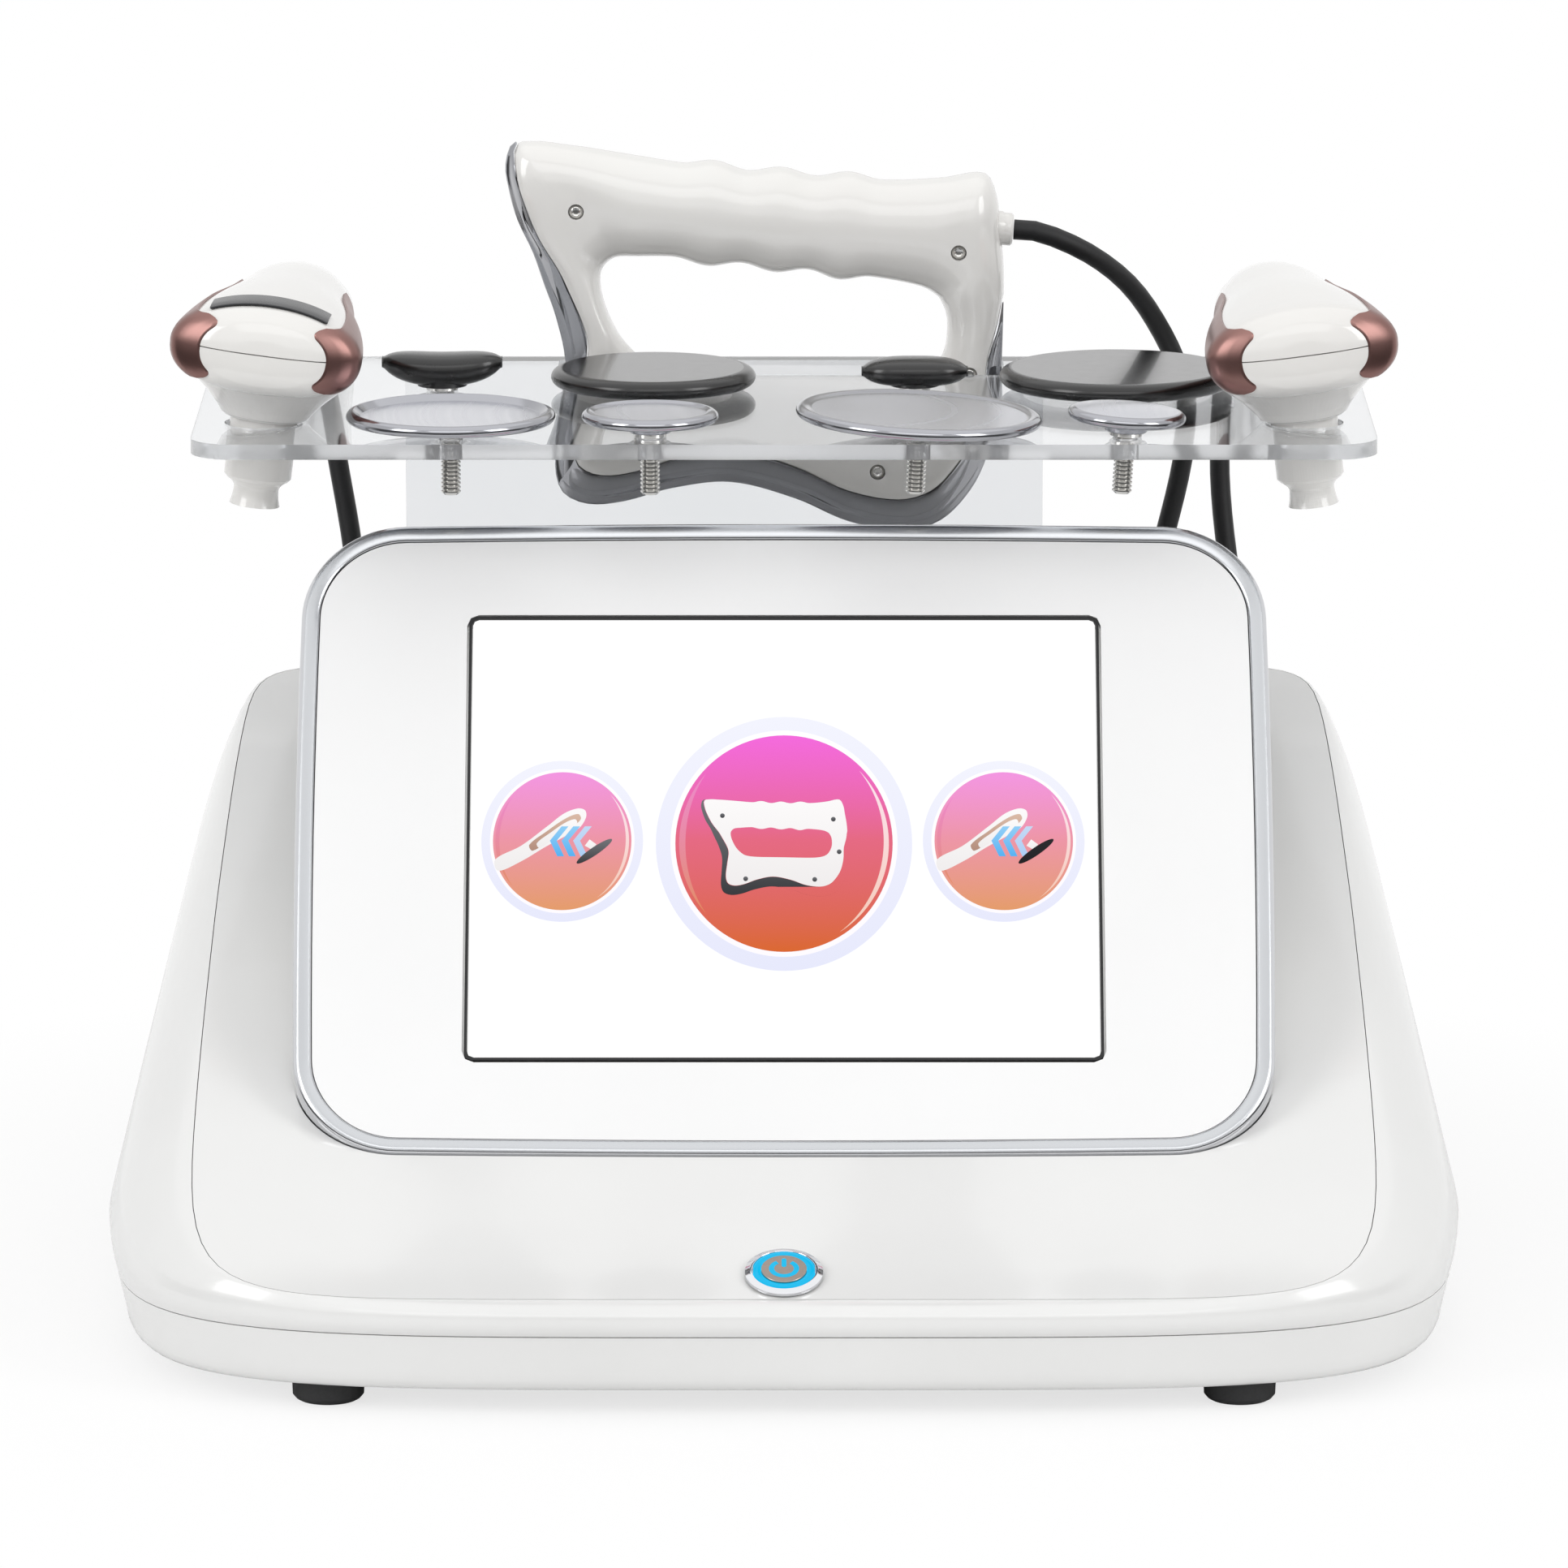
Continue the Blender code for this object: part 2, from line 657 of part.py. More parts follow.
def outline_mesh(name, loops, depth):
    """A flat outline with holes in the XY plane, extruded to depth about z = 0."""
    curve = bpy.data.curves.new(name, "CURVE")
    curve.dimensions = "2D"
    curve.fill_mode = "BOTH"
    curve.extrude = depth / 2
    for loop in loops:
        spline = curve.splines.new("POLY")
        spline.points.add(len(loop) - 1)
        for point, (x, y) in zip(spline.points, loop):
            point.co = (x, y, 0.0, 1.0)
        spline.use_cyclic_u = True
    holder = bpy.data.objects.new(name, curve)
    bpy.context.scene.collection.objects.link(holder)
    bpy.context.view_layer.update()
    graph = bpy.context.evaluated_depsgraph_get()
    mesh = bpy.data.meshes.new_from_object(holder.evaluated_get(graph))
    bpy.data.objects.remove(holder, do_unlink=True)
    return cleaned(mesh)


def circle_loop(centre, radius, steps):
    turn = 2 * math.pi / steps
    return [(centre[0] + radius * math.cos(step * turn), centre[1] + radius * math.sin(step * turn))
            for step in range(steps)]


def rounded_rectangle(low, high, radii, steps):
    """Corner points in order: low left, low right, high right, high left; one radius for each."""
    corners = ((low[0], low[1], 1, 1, math.pi), (high[0], low[1], -1, 1, 1.5 * math.pi),
               (high[0], high[1], -1, -1, 0.0), (low[0], high[1], 1, -1, 0.5 * math.pi))
    loop = []
    for (x, y, side_x, side_y, start), radius in zip(corners, radii):
        for step in range(steps + 1):
            angle = start + step / steps * math.pi / 2
            loop.append((x + side_x * radius + radius * math.cos(angle),
                         y + side_y * radius + radius * math.sin(angle)))
    return loop


def spline_point(p0, p1, p2, p3, t):
    """Centripetal-style cubic through p1 and p2 with end slopes from their neighbours."""
    span = (p2 - p1).length
    slope_1 = (p2 - p0) * (span / max((p2 - p1).length + (p1 - p0).length, MERGE_DISTANCE))
    slope_2 = (p3 - p1) * (span / max((p3 - p2).length + (p2 - p1).length, MERGE_DISTANCE))
    t2, t3 = t * t, t * t * t
    return (p1 * (2 * t3 - 3 * t2 + 1) + slope_1 * (t3 - 2 * t2 + t)
            + p2 * (3 * t2 - 2 * t3) + slope_2 * (t3 - t2))


def even_points(dense, spacing):
    """Read a dense polyline at steps as near to the spacing as fit its length."""
    lengths = [0.0]
    for before, after in zip(dense, dense[1:]):
        lengths.append(lengths[-1] + (after - before).length)
    steps = max(2, round(lengths[-1] / spacing))
    result = []
    index = 0
    for step in range(steps + 1):
        target = lengths[-1] * step / steps
        while index < len(dense) - 2 and lengths[index + 1] < target:
            index += 1
        span = max(lengths[index + 1] - lengths[index], MERGE_DISTANCE)
        result.append(dense[index].lerp(dense[index + 1], min(1.0, (target - lengths[index]) / span)))
    return result


def tube_part(name, path, radius, level, finish, frame=None):
    """A tube along a path, as a POLY spline with filled caps."""
    curve = bpy.data.curves.new(name, "CURVE")
    curve.dimensions = "3D"
    curve.bevel_depth = radius
    curve.bevel_resolution = level
    curve.use_fill_caps = True
    spline = curve.splines.new("POLY")
    spline.points.add(len(path) - 1)
    for point, place in zip(spline.points, path):
        point.co = (*place, 1.0)
    item = bpy.data.objects.new(name, curve)
    own = MATERIALS[finish].copy()
    own.name = name + "_finish"
    curve.materials.append(own)
    PARTS.objects.link(item)
    if frame is not None:
        item.parent = frame
    return item


# The housing's plan outlines and its deck

def deck_height(y):
    """Height of the sloping deck at y: one cubic from the front lip to the crest."""
    start = (-DECK_FRONT, DECK_FRONT_HEIGHT)
    end = (DECK_END, DECK_BACK_HEIGHT)
    first = (start[0] + DECK_FRONT_HANDLE, start[1] + DECK_FRONT_RISE)
    second = (end[0] - DECK_BACK_HANDLE, end[1] - DECK_BACK_DROP)
    low, high = 0.0, 1.0
    y = min(max(y, start[0]), end[0])
    for _ in range(SOLVER_STEPS):
        middle = (low + high) / 2
        if bezier(start[0], first[0], second[0], end[0], middle) < y:
            low = middle
        else:
            high = middle
    return bezier(start[1], first[1], second[1], end[1], low)


def bezier(a, b, c, d, t):
    rest = 1 - t
    return a * rest ** 3 + 3 * b * t * rest ** 2 + 3 * c * t ** 2 * rest + d * t ** 3


def deck_slope(y):
    return math.atan2(deck_height(y + CUT_OVERRUN) - deck_height(y - CUT_OVERRUN), 2 * CUT_OVERRUN)


def plan_outline(half_width, front, back, front_exponent, back_exponent, back_taper=0.0):
    """Rounded plan outline, clockwise from the front centre seen from below, denser at the corners."""
    dense = []
    for step in range(SOLVER_STEPS * HOUSING_POINTS // 2 + 1):
        angle = -math.pi / 2 + 2 * math.pi * step / (SOLVER_STEPS * HOUSING_POINTS // 2)
        reach, power = (front, front_exponent) if math.sin(angle) < 0 else (back, back_exponent)
        x = half_width * math.copysign(abs(math.cos(angle)) ** (2 / power), math.cos(angle))
        y = reach * math.copysign(abs(math.sin(angle)) ** (2 / power), math.sin(angle))
        x *= 1 - back_taper / half_width * ((y + front) / (front + back)) ** 2
        dense.append(Vector((x, y, 0.0)))
    weights = [0.0]
    for index in range(1, len(dense)):
        before, here = dense[index - 1], dense[index]
        after = dense[(index + 1) % (len(dense) - 1)]
        length = (here - before).length
        turn = (here - before).angle(after - here, 0.0) if (after - here).length > 0 else 0.0
        weights.append(weights[-1] + length + CORNER_WEIGHT * turn)
    outline = []
    index = 0
    for step in range(HOUSING_POINTS):
        target = weights[-1] * step / HOUSING_POINTS
        while index < len(dense) - 2 and weights[index + 1] < target:
            index += 1
        span = max(weights[index + 1] - weights[index], MERGE_DISTANCE)
        outline.append(dense[index].lerp(dense[index + 1], (target - weights[index]) / span))
    return outline


def outward_normals(outline):
    normals = []
    for index, point in enumerate(outline):
        along = outline[(index + 1) % len(outline)] - outline[index - 1]
        normals.append(Vector((along.y, -along.x, 0.0)).normalized())
    return normals


def moved_in(outline, inset):
    return [point - away * inset for point, away in zip(outline, outward_normals(outline))]


def outer_outline(inset=0.0):
    return moved_in(plan_outline(HOUSING_HALF_WIDTH, HOUSING_FRONT, HOUSING_BACK, FRONT_EXPONENT, BACK_EXPONENT),
                    inset)


def deck_outline(inset=0.0):
    return moved_in(plan_outline(DECK_HALF_WIDTH, DECK_FRONT, DECK_BACK, DECK_FRONT_EXPONENT, DECK_BACK_EXPONENT,
                                 DECK_BACK_TAPER), inset)


def on_deck(outline, drop=0.0):
    """Put an outline on the deck, or a distance below it, square to its slope."""
    points = []
    for point in outline:
        slope = deck_slope(point.y)
        points.append(Vector((point.x, point.y + drop * math.sin(slope),
                              deck_height(point.y) - drop * math.cos(slope))))
    return points


def bulge_height(y):
    rise = min(BULGE_RISE, BULGE_RISE_SHARE * (deck_height(y) - PARTING_HEIGHT))
    return PARTING_HEIGHT + rise


def drafted(point, rise):
    """A point of the wall, raised along the draft of the sides, which narrows the outline."""
    share = rise * math.tan(SIDE_DRAFT) / HOUSING_HALF_WIDTH
    return Vector((point.x * (1 - share), point.y, point.z + rise))


def shoulder_start(low, top):
    """Where the drafted side wall ends and its rounding to the deck begins."""
    height = top.z - low.z
    return drafted(low, height - min(SHOULDER_DROP, SHOULDER_DROP_SHARE * height))


def make_housing():
    bulge = outer_outline()
    groove = on_deck(deck_outline())
    low = [Vector((p.x, p.y, bulge_height(g.y))) for p, g in zip(bulge, groove)]
    start = [shoulder_start(*pair) for pair in zip(low, groove)]
    rings = [[Vector((p.x, p.y, PARTING_HEIGHT + FIT_GAP)) for p in outer_outline(PARTING_INSET)], low, start]
    for step in range(1, SHOULDER_STEPS):
        ring = []
        for begin, top in zip(start, groove):
            first = drafted(begin, (top.z - begin.z) * SHOULDER_LIFT_SHARE)
            second = top + (Vector((begin.x, begin.y, top.z)) - top) * SHOULDER_REACH_SHARE
            ring.append(bezier(begin, first, second, top, step / SHOULDER_STEPS))
        rings.append(ring)
    rings.append(groove)
    recess = COVER_THICKNESS + COVER_SEAT_GAP
    rings.append(on_deck(deck_outline(), recess))
    rings.append(on_deck(deck_outline(LEDGE_WIDTH), recess))
    housing = add_part("upper_housing", loft("upper_housing", rings, caps=False), "white_housing")
    thicken(housing, HOUSING_WALL)
    return housing


def make_tray():
    corner_drop = FOOT_HEIGHT + TRAY_EDGE_RISE
    levels = ((TRAY_EDGE_INSET, FOOT_HEIGHT), (TRAY_EDGE_SIDE_INSET, corner_drop), (PARTING_INSET, PARTING_HEIGHT))
    rings = [[Vector((p.x, p.y, height)) for p in outer_outline(inset)] for inset, height in levels]
    mesh = loft("bottom_tray", rings, caps=False)
    work = bmesh.new()
    work.from_mesh(mesh)
    work.verts.ensure_lookup_table()
    work.faces.new([work.verts[index] for index in reversed(range(HOUSING_POINTS))])
    work.to_mesh(mesh)
    work.free()
    tray = add_part("bottom_tray", mesh, "white_housing")
    thicken(tray, HOUSING_WALL)
    return tray


def make_cover():
    rings = []
    for share in COVER_RING_SHARES:
        outline = deck_outline(COVER_GAP)
        rings.append(on_deck([point * share for point in outline]))
    mesh = loft("top_cover", rings, caps=False)
    work = bmesh.new()
    work.from_mesh(mesh)
    work.verts.ensure_lookup_table()
    last = (len(COVER_RING_SHARES) - 1) * HOUSING_POINTS
    work.faces.new([work.verts[last + index] for index in range(HOUSING_POINTS)])
    work.to_mesh(mesh)
    work.free()
    cover = add_part("top_cover", mesh, "white_housing")
    thicken(cover, COVER_THICKNESS)
    return cover


def make_feet():
    places = {"front_left_foot": (-FOOT_X, -FOOT_FRONT_Y), "front_right_foot": (FOOT_X, -FOOT_FRONT_Y),
              "rear_left_foot": (-FOOT_X, FOOT_BACK_Y), "rear_right_foot": (FOOT_X, FOOT_BACK_Y)}
    for name, (x, y) in places.items():
        foot = rod_mesh(name, FOOT_RADIUS, (x, y, 0.0), (x, y, FOOT_HEIGHT - FIT_GAP), FOOT_STEPS,
                        FOOT_TOP_RADIUS)
        add_part(name, foot, "black_rubber")


# Screen pod

def pod_matrix():
    """Pod frame: x to the right, y up along the screen, z out of the screen, origin at the bottom edge."""
    turn = Matrix.Rotation(math.pi / 2 - POD_LEAN, 4, "X")
    return Matrix.Translation((0.0, POD_BOTTOM_Y, POD_BOTTOM_Z)) @ turn


def pod_loop(inset=0.0):
    """The pod's outline: round corners joined by slightly bowed sides."""
    half_width = POD_WIDTH / 2 - inset
    low, high = inset, POD_HEIGHT - inset
    radius = max(POD_CORNER - inset, POD_CORNER / 3)
    corners = ((half_width - radius, low + radius, -math.pi / 2), (half_width - radius, high - radius, 0.0),
               (radius - half_width, high - radius, math.pi / 2), (radius - half_width, low + radius, math.pi))
    loop = []
    for x, y, start in corners:
        for step in range(POD_CORNER_STEPS + 1):
            angle = start + step / POD_CORNER_STEPS * math.pi / 2
            loop.append(Vector((x + radius * math.cos(angle), y + radius * math.sin(angle))))
        for step in range(1, POD_BOW_STEPS):
            share = step / POD_BOW_STEPS
            loop.append(side_point((x, y, start), radius, half_width, (low, high), share))
    return [bowed(point, half_width, (low + high) / 2, (high - low) / 2) for point in loop]


def side_point(corner, radius, half_width, limits, share):
    """A point on the straight side that follows a corner."""
    x, y, start = corner
    angle = start + math.pi / 2
    here = Vector((x + radius * math.cos(angle), y + radius * math.sin(angle)))
    run_x = 2 * (half_width - radius)
    run_y = limits[1] - limits[0] - 2 * radius
    along = Vector((-math.sin(angle), math.cos(angle)))
    length = run_x if abs(along.x) > abs(along.y) else run_y
    return here + along * length * share


def bowed(point, half_width, middle, half_height):
    across = max(0.0, 1 - (point.x / half_width) ** 2)
    along = max(0.0, 1 - ((point.y - middle) / half_height) ** 2)
    x = point.x - math.copysign(POD_BOW * (1 - along), point.x) * (abs(point.x) / half_width) ** 2
    y = point.y - math.copysign(POD_BOW * (1 - across), point.y - middle) * (
        abs(point.y - middle) / half_height) ** 2
    return Vector((x, y))


def pod_ring(inset, height):
    return [Vector((point.x, point.y, height)) for point in pod_loop(inset)]


def make_trim(frame):
    depth = -TRIM_DEPTH
    lip = TRIM_PROUD - TRIM_ROUND
    seat = TRIM_WIDTH
    rings = [pod_ring(0.0, depth), pod_ring(0.0, lip), pod_ring(TRIM_ROUND / 3, TRIM_PROUD - TRIM_ROUND / 3),
             pod_ring(TRIM_ROUND, TRIM_PROUD), pod_ring(seat, TRIM_PROUD / 2), pod_ring(seat, depth)]
    add_part("chrome_trim_ring", loft("chrome_trim_ring", rings, closed_path=True), "chrome", frame)


def display_rectangle(grow=0.0, corner=DISPLAY_CORNER):
    middle = POD_HEIGHT / 2
    low = (-DISPLAY_WIDTH / 2 - grow, middle - DISPLAY_HEIGHT / 2 - grow)
    high = (DISPLAY_WIDTH / 2 + grow, middle + DISPLAY_HEIGHT / 2 + grow)
    return rounded_rectangle(low, high, (corner + grow,) * 4, 2)


def make_fascia(frame):
    outer = [(point.x, point.y) for point in pod_loop(TRIM_WIDTH + FIT_GAP)]
    opening = display_rectangle(GASKET_WIDTH + 2 * FIT_GAP)
    mesh = outline_mesh("screen_fascia", [outer, opening], FASCIA_THICKNESS)
    mesh.transform(Matrix.Translation((0.0, 0.0, -FASCIA_THICKNESS / 2)))
    add_part("screen_fascia", mesh, "white_fascia", frame)


def make_display(frame):
    middle = POD_HEIGHT / 2
    loops = [display_rectangle(GASKET_WIDTH + FIT_GAP), display_rectangle(FIT_GAP)]
    gasket = outline_mesh("display_gasket", loops, FASCIA_THICKNESS)
    gasket.transform(Matrix.Translation((0.0, 0.0, GASKET_PROUD - FASCIA_THICKNESS / 2)))
    add_part("display_gasket", gasket, "black_rubber", frame)
    panel = outline_mesh("touch_display", [display_rectangle()], DISPLAY_THICKNESS)
    panel.transform(Matrix.Translation((0.0, 0.0, -DISPLAY_THICKNESS / 2)))
    add_part("touch_display", panel, "screen_glass", frame)
    board_top = -POCKET_DEPTH - FASCIA_THICKNESS + FIT_GAP + CONTROL_BOARD_THICKNESS
    board = box_mesh("control_board", (CONTROL_BOARD_WIDTH, CONTROL_BOARD_HEIGHT, CONTROL_BOARD_THICKNESS),
                     (0.0, middle, board_top - CONTROL_BOARD_THICKNESS / 2))
    item = add_part("control_board", board, "circuit_green", frame, smooth=False)
    chip = add_cutter("control_chip", box_mesh(
        "control_chip", (CONTROL_CHIP_SIZE, CONTROL_CHIP_SIZE, CONTROL_CHIP_HEIGHT + BOSS_OVERLAP),
        (0.0, middle, board_top + (CONTROL_CHIP_HEIGHT - BOSS_OVERLAP) / 2)), frame)
    cut(item, chip, "UNION")


def shell_rings(grow=0.0):
    """The back shell's sections, from its open edge behind the fascia to its flat back."""
    front = -TRIM_DEPTH - FIT_GAP
    shoulder = front - SHELL_SHOULDER
    back = front - SHELL_DEPTH
    return [pod_ring(SHELL_EDGE_INSET - grow, front + grow),
            pod_ring(SHELL_EDGE_INSET - grow, front - SHELL_SHOULDER / 2),
            pod_ring(SHELL_SHOULDER_INSET - grow, shoulder), pod_ring(SHELL_BACK_INSET - grow, back - grow)]


def pod_plane_height(y, depth):
    """Height at y of the plane that lies the given depth behind the screen."""
    return POD_BOTTOM_Z + ((y - POD_BOTTOM_Y) * math.cos(POD_LEAN) - depth) / math.sin(POD_LEAN)


def pedestal_rings(grow=0.0):
    """The foot of the back shell, straight down through the deck; its top lies inside the shell."""
    loop = rounded_rectangle((-PEDESTAL_WIDTH / 2 - grow, PEDESTAL_FRONT_Y - grow),
                             (PEDESTAL_WIDTH / 2 + grow, PEDESTAL_BACK_Y + grow),
                             (PEDESTAL_CORNER + grow,) * 4, 3)
    return [[Vector((x, y, PEDESTAL_BOTTOM_Z)) for x, y in loop],
            [Vector((x, y, pod_plane_height(y, PEDESTAL_SINK))) for x, y in loop]]


def make_back_shell(frame, cover):
    inner_plate = pod_ring(TRIM_WIDTH + FIT_GAP, -TRIM_DEPTH - FIT_GAP)
    lip = pod_ring(TRIM_WIDTH + FIT_GAP, -FASCIA_THICKNESS - FIT_GAP)
    edge = shell_rings()
    rings = [lip, inner_plate, *edge]
    shell = add_part("screen_back_shell", cleaned(loft("screen_back_shell", rings)), "white_housing", frame)
    foot = add_cutter("pedestal", cleaned(loft("pedestal", pedestal_rings())))
    cut(shell, foot, "UNION")
    middle = POD_HEIGHT / 2
    pocket = box_mesh(
        "display_pocket",
        (DISPLAY_WIDTH + POCKET_MARGIN, DISPLAY_HEIGHT + POCKET_MARGIN, POCKET_DEPTH + CUT_OVERRUN),
        (0.0, middle, -FASCIA_THICKNESS - (POCKET_DEPTH - CUT_OVERRUN) / 2))
    cut(shell, add_cutter("display_pocket", pocket, frame))
    pocket_floor = add_cutter("cover_clearance", cleaned(loft("cover_clearance", pedestal_rings(FIT_GAP))))
    cut(cover, pocket_floor)
    trim_clearance = [pod_ring(-FIT_GAP, TRIM_PROUD + FIT_GAP), pod_ring(-FIT_GAP, -TRIM_DEPTH - FIT_GAP),
                      *shell_rings(FIT_GAP)]
    pod_clearance = add_cutter("pod_clearance", cleaned(loft("pod_clearance", trim_clearance)), frame)
    cut(cover, pod_clearance)
    return shell


# Power button

def button_matrix():
    """Button frame: origin on the deck, z square to the deck."""
    place = (0.0, BUTTON_Y, deck_height(BUTTON_Y))
    return Matrix.Translation(place) @ Matrix.Rotation(deck_slope(BUTTON_Y), 4, "X")


def make_button(cover, housing):
    frame = add_frame("button_axis", button_matrix())
    seat_top = BEZEL_SEAT_GAP
    light_floor = BEZEL_HEIGHT - LIGHT_RING_HEIGHT
    profile = [(LIGHT_RING_OUTER + FIT_GAP, light_floor), (LIGHT_RING_OUTER + FIT_GAP, BEZEL_HEIGHT),
               (BEZEL_TOP_RADIUS, BEZEL_HEIGHT), (BEZEL_RADIUS, seat_top + BEZEL_HEIGHT / 3),
               (BEZEL_RADIUS, seat_top), (BARREL_RADIUS, seat_top), (BARREL_RADIUS, -BARREL_LENGTH),
               (0.0, -BARREL_LENGTH)]
    floor = BEZEL_HEIGHT + BUTTON_CAP_PROUD - BUTTON_CAP_HEIGHT - BUTTON_TRAVEL - FIT_GAP
    inner = [(0.0, floor), (BUTTON_CAP_RADIUS + SLIDE_GAP, floor), (BUTTON_CAP_RADIUS + SLIDE_GAP, light_floor)]
    turned_part("power_button_bezel", inner + profile, "chrome", BUTTON_STEPS, frame)
    ring_profile = [(LIGHT_RING_INNER, BEZEL_HEIGHT), (LIGHT_RING_OUTER, BEZEL_HEIGHT),
                    (LIGHT_RING_OUTER, light_floor + FIT_GAP), (LIGHT_RING_INNER, light_floor + FIT_GAP),
                    (LIGHT_RING_INNER, BEZEL_HEIGHT)]
    turned_part("power_button_light_ring", ring_profile, "blue_light", BUTTON_STEPS, frame)
    cap_top = BEZEL_HEIGHT + BUTTON_CAP_PROUD
    cap_profile = [(0.0, cap_top), (BUTTON_CAP_RADIUS - BUTTON_CAP_PROUD, cap_top),
                   (BUTTON_CAP_RADIUS, cap_top - BUTTON_CAP_PROUD),
                   (BUTTON_CAP_RADIUS, cap_top - BUTTON_CAP_HEIGHT), (0.0, cap_top - BUTTON_CAP_HEIGHT)]
    turned_part("power_button_cap", cap_profile, "grey_metal", BUTTON_STEPS, frame)
    hole = turned_cutter("button_hole", [(0.0, CUT_OVERRUN), (BARREL_RADIUS + FIT_GAP, CUT_OVERRUN),
                                         (BARREL_RADIUS + FIT_GAP, -BARREL_LENGTH), (0.0, -BARREL_LENGTH)],
                         BUTTON_STEPS, frame)
    cut(cover, hole)
    cut(housing, hole)


# Clear rack

def plate_front():
    return HOUSING_BACK + PLATE_STANDOFF


def plate_back():
    return plate_front() + RACK_THICKNESS


def electrode_places():
    """Name, x and y of the eight stud holes, front row first."""
    inner_columns = (-INNER_COLUMN_X, INNER_COLUMN_X, OUTER_COLUMN_X)
    front_places = [(x, FRONT_ROW_Y) for x in (-STEEL_62_COLUMN_X, *inner_columns)]
    return front_places + [(x, BACK_ROW_Y) for x in (-CURVED_COLUMN_X, *inner_columns)]


def slot_limits():
    """The scraper's slot: its ends leave room for the widest part of the blade below the shelf."""
    left, right = scraper_reach()
    front = SCRAPER_PLANE_Y - GRIP_HALF_THICKNESS - SLOT_MARGIN
    return left - SLIDE_GAP, right + SLIDE_GAP, front, plate_front() - SLOT_MARGIN


def make_rack():
    middle = SHELF_TOP - RACK_THICKNESS / 2
    outer = rounded_rectangle((-SHELF_HALF_WIDTH, SHELF_FRONT), (SHELF_HALF_WIDTH, plate_back()),
                              (SHELF_CORNER, SHELF_CORNER, SHELF_CORNER / 2, SHELF_CORNER / 2),
                              SHELF_CORNER_STEPS)
    mesh = outline_mesh("acrylic_rack", [outer], RACK_THICKNESS)
    mesh.transform(Matrix.Translation((0.0, 0.0, middle)))
    rack = add_part("acrylic_rack", mesh, "clear_acrylic")
    plate_loop = rounded_rectangle((PLATE_CENTRE_X - PLATE_HALF_WIDTH, PLATE_BOTTOM),
                                   (PLATE_CENTRE_X + PLATE_HALF_WIDTH, middle),
                                   (SHELF_CORNER / 2, SHELF_CORNER / 2, SHELF_CORNER / 8, SHELF_CORNER / 8), 3)
    plate = outline_mesh("rack_plate", [plate_loop], RACK_THICKNESS)
    plate.transform(Matrix.Translation((0.0, (plate_front() + plate_back()) / 2, 0.0))
                    @ Matrix.Rotation(math.pi / 2, 4, "X"))
    cut(rack, add_cutter("rack_plate", plate), "UNION")
    loops = []
    for side in (-1, 1):
        loops.append(circle_loop((side * NECK_HOLE_X, NECK_HOLE_Y), NECK_HOLE_RADIUS, NECK_HOLE_STEPS))
    for place in electrode_places():
        loops.append(circle_loop(place, STUD_HOLE_RADIUS, STUD_HOLE_STEPS))
    left, right, front, back = slot_limits()
    corner = (SLOT_MARGIN, SLOT_MARGIN, SLOT_MARGIN / 4, SLOT_MARGIN / 4)
    loops.append(rounded_rectangle((left, front), (right, back), corner, 3))
    holes = outline_mesh("rack_holes", loops, RACK_THICKNESS + 2 * CUT_OVERRUN)
    holes.transform(Matrix.Translation((0.0, 0.0, middle)))
    cut(rack, add_cutter("rack_holes", holes))
    for side in (-1, 1):
        x = PLATE_CENTRE_X + side * PLATE_SCREW_X
        wall = HOUSING_BACK + FIT_GAP
        spacer = rod_mesh("rack_spacer", STANDOFF_RADIUS, (x, wall, PLATE_SCREW_Z),
                          (x, plate_front() + BOSS_OVERLAP, PLATE_SCREW_Z), SMALL_STEPS)
        cut(rack, add_cutter("rack_spacer", spacer), "UNION")
        hole = rod_mesh("rack_screw_hole", PLATE_SCREW_RADIUS + FIT_GAP, (x, wall - CUT_OVERRUN, PLATE_SCREW_Z),
                        (x, plate_back() + CUT_OVERRUN, PLATE_SCREW_Z), SMALL_STEPS)
        cut(rack, add_cutter("rack_screw_hole", hole))


def make_rack_screws(housing):
    """Cap screws through the plate and its spacers into the rear wall."""
    for side, name in ((-1, "left_rack_screw"), (1, "right_rack_screw")):
        x = PLATE_CENTRE_X + side * PLATE_SCREW_X
        place = Matrix.Translation((x, plate_back() + FIT_GAP, PLATE_SCREW_Z))
        frame = add_frame(name + "_axis", place @ Matrix.Rotation(-math.pi / 2, 4, "X"))
        rounding = PLATE_CAP_HEIGHT / 3
        turned_part(name, [(0.0, PLATE_CAP_HEIGHT), (PLATE_CAP_RADIUS - rounding, PLATE_CAP_HEIGHT),
                           (PLATE_CAP_RADIUS, PLATE_CAP_HEIGHT - rounding), (PLATE_CAP_RADIUS, 0.0),
                           (PLATE_SCREW_RADIUS, 0.0), (PLATE_SCREW_RADIUS, -PLATE_SCREW_LENGTH),
                           (0.0, -PLATE_SCREW_LENGTH)], "chrome", SMALL_STEPS, frame)
        hole = turned_cutter(name + "_hole", [
            (0.0, FIT_GAP), (PLATE_SCREW_RADIUS + FIT_GAP, FIT_GAP),
            (PLATE_SCREW_RADIUS + FIT_GAP, -PLATE_SCREW_LENGTH - CUT_OVERRUN),
            (0.0, -PLATE_SCREW_LENGTH - CUT_OVERRUN)], SMALL_STEPS, frame)
        cut(housing, hole)


# Electrodes

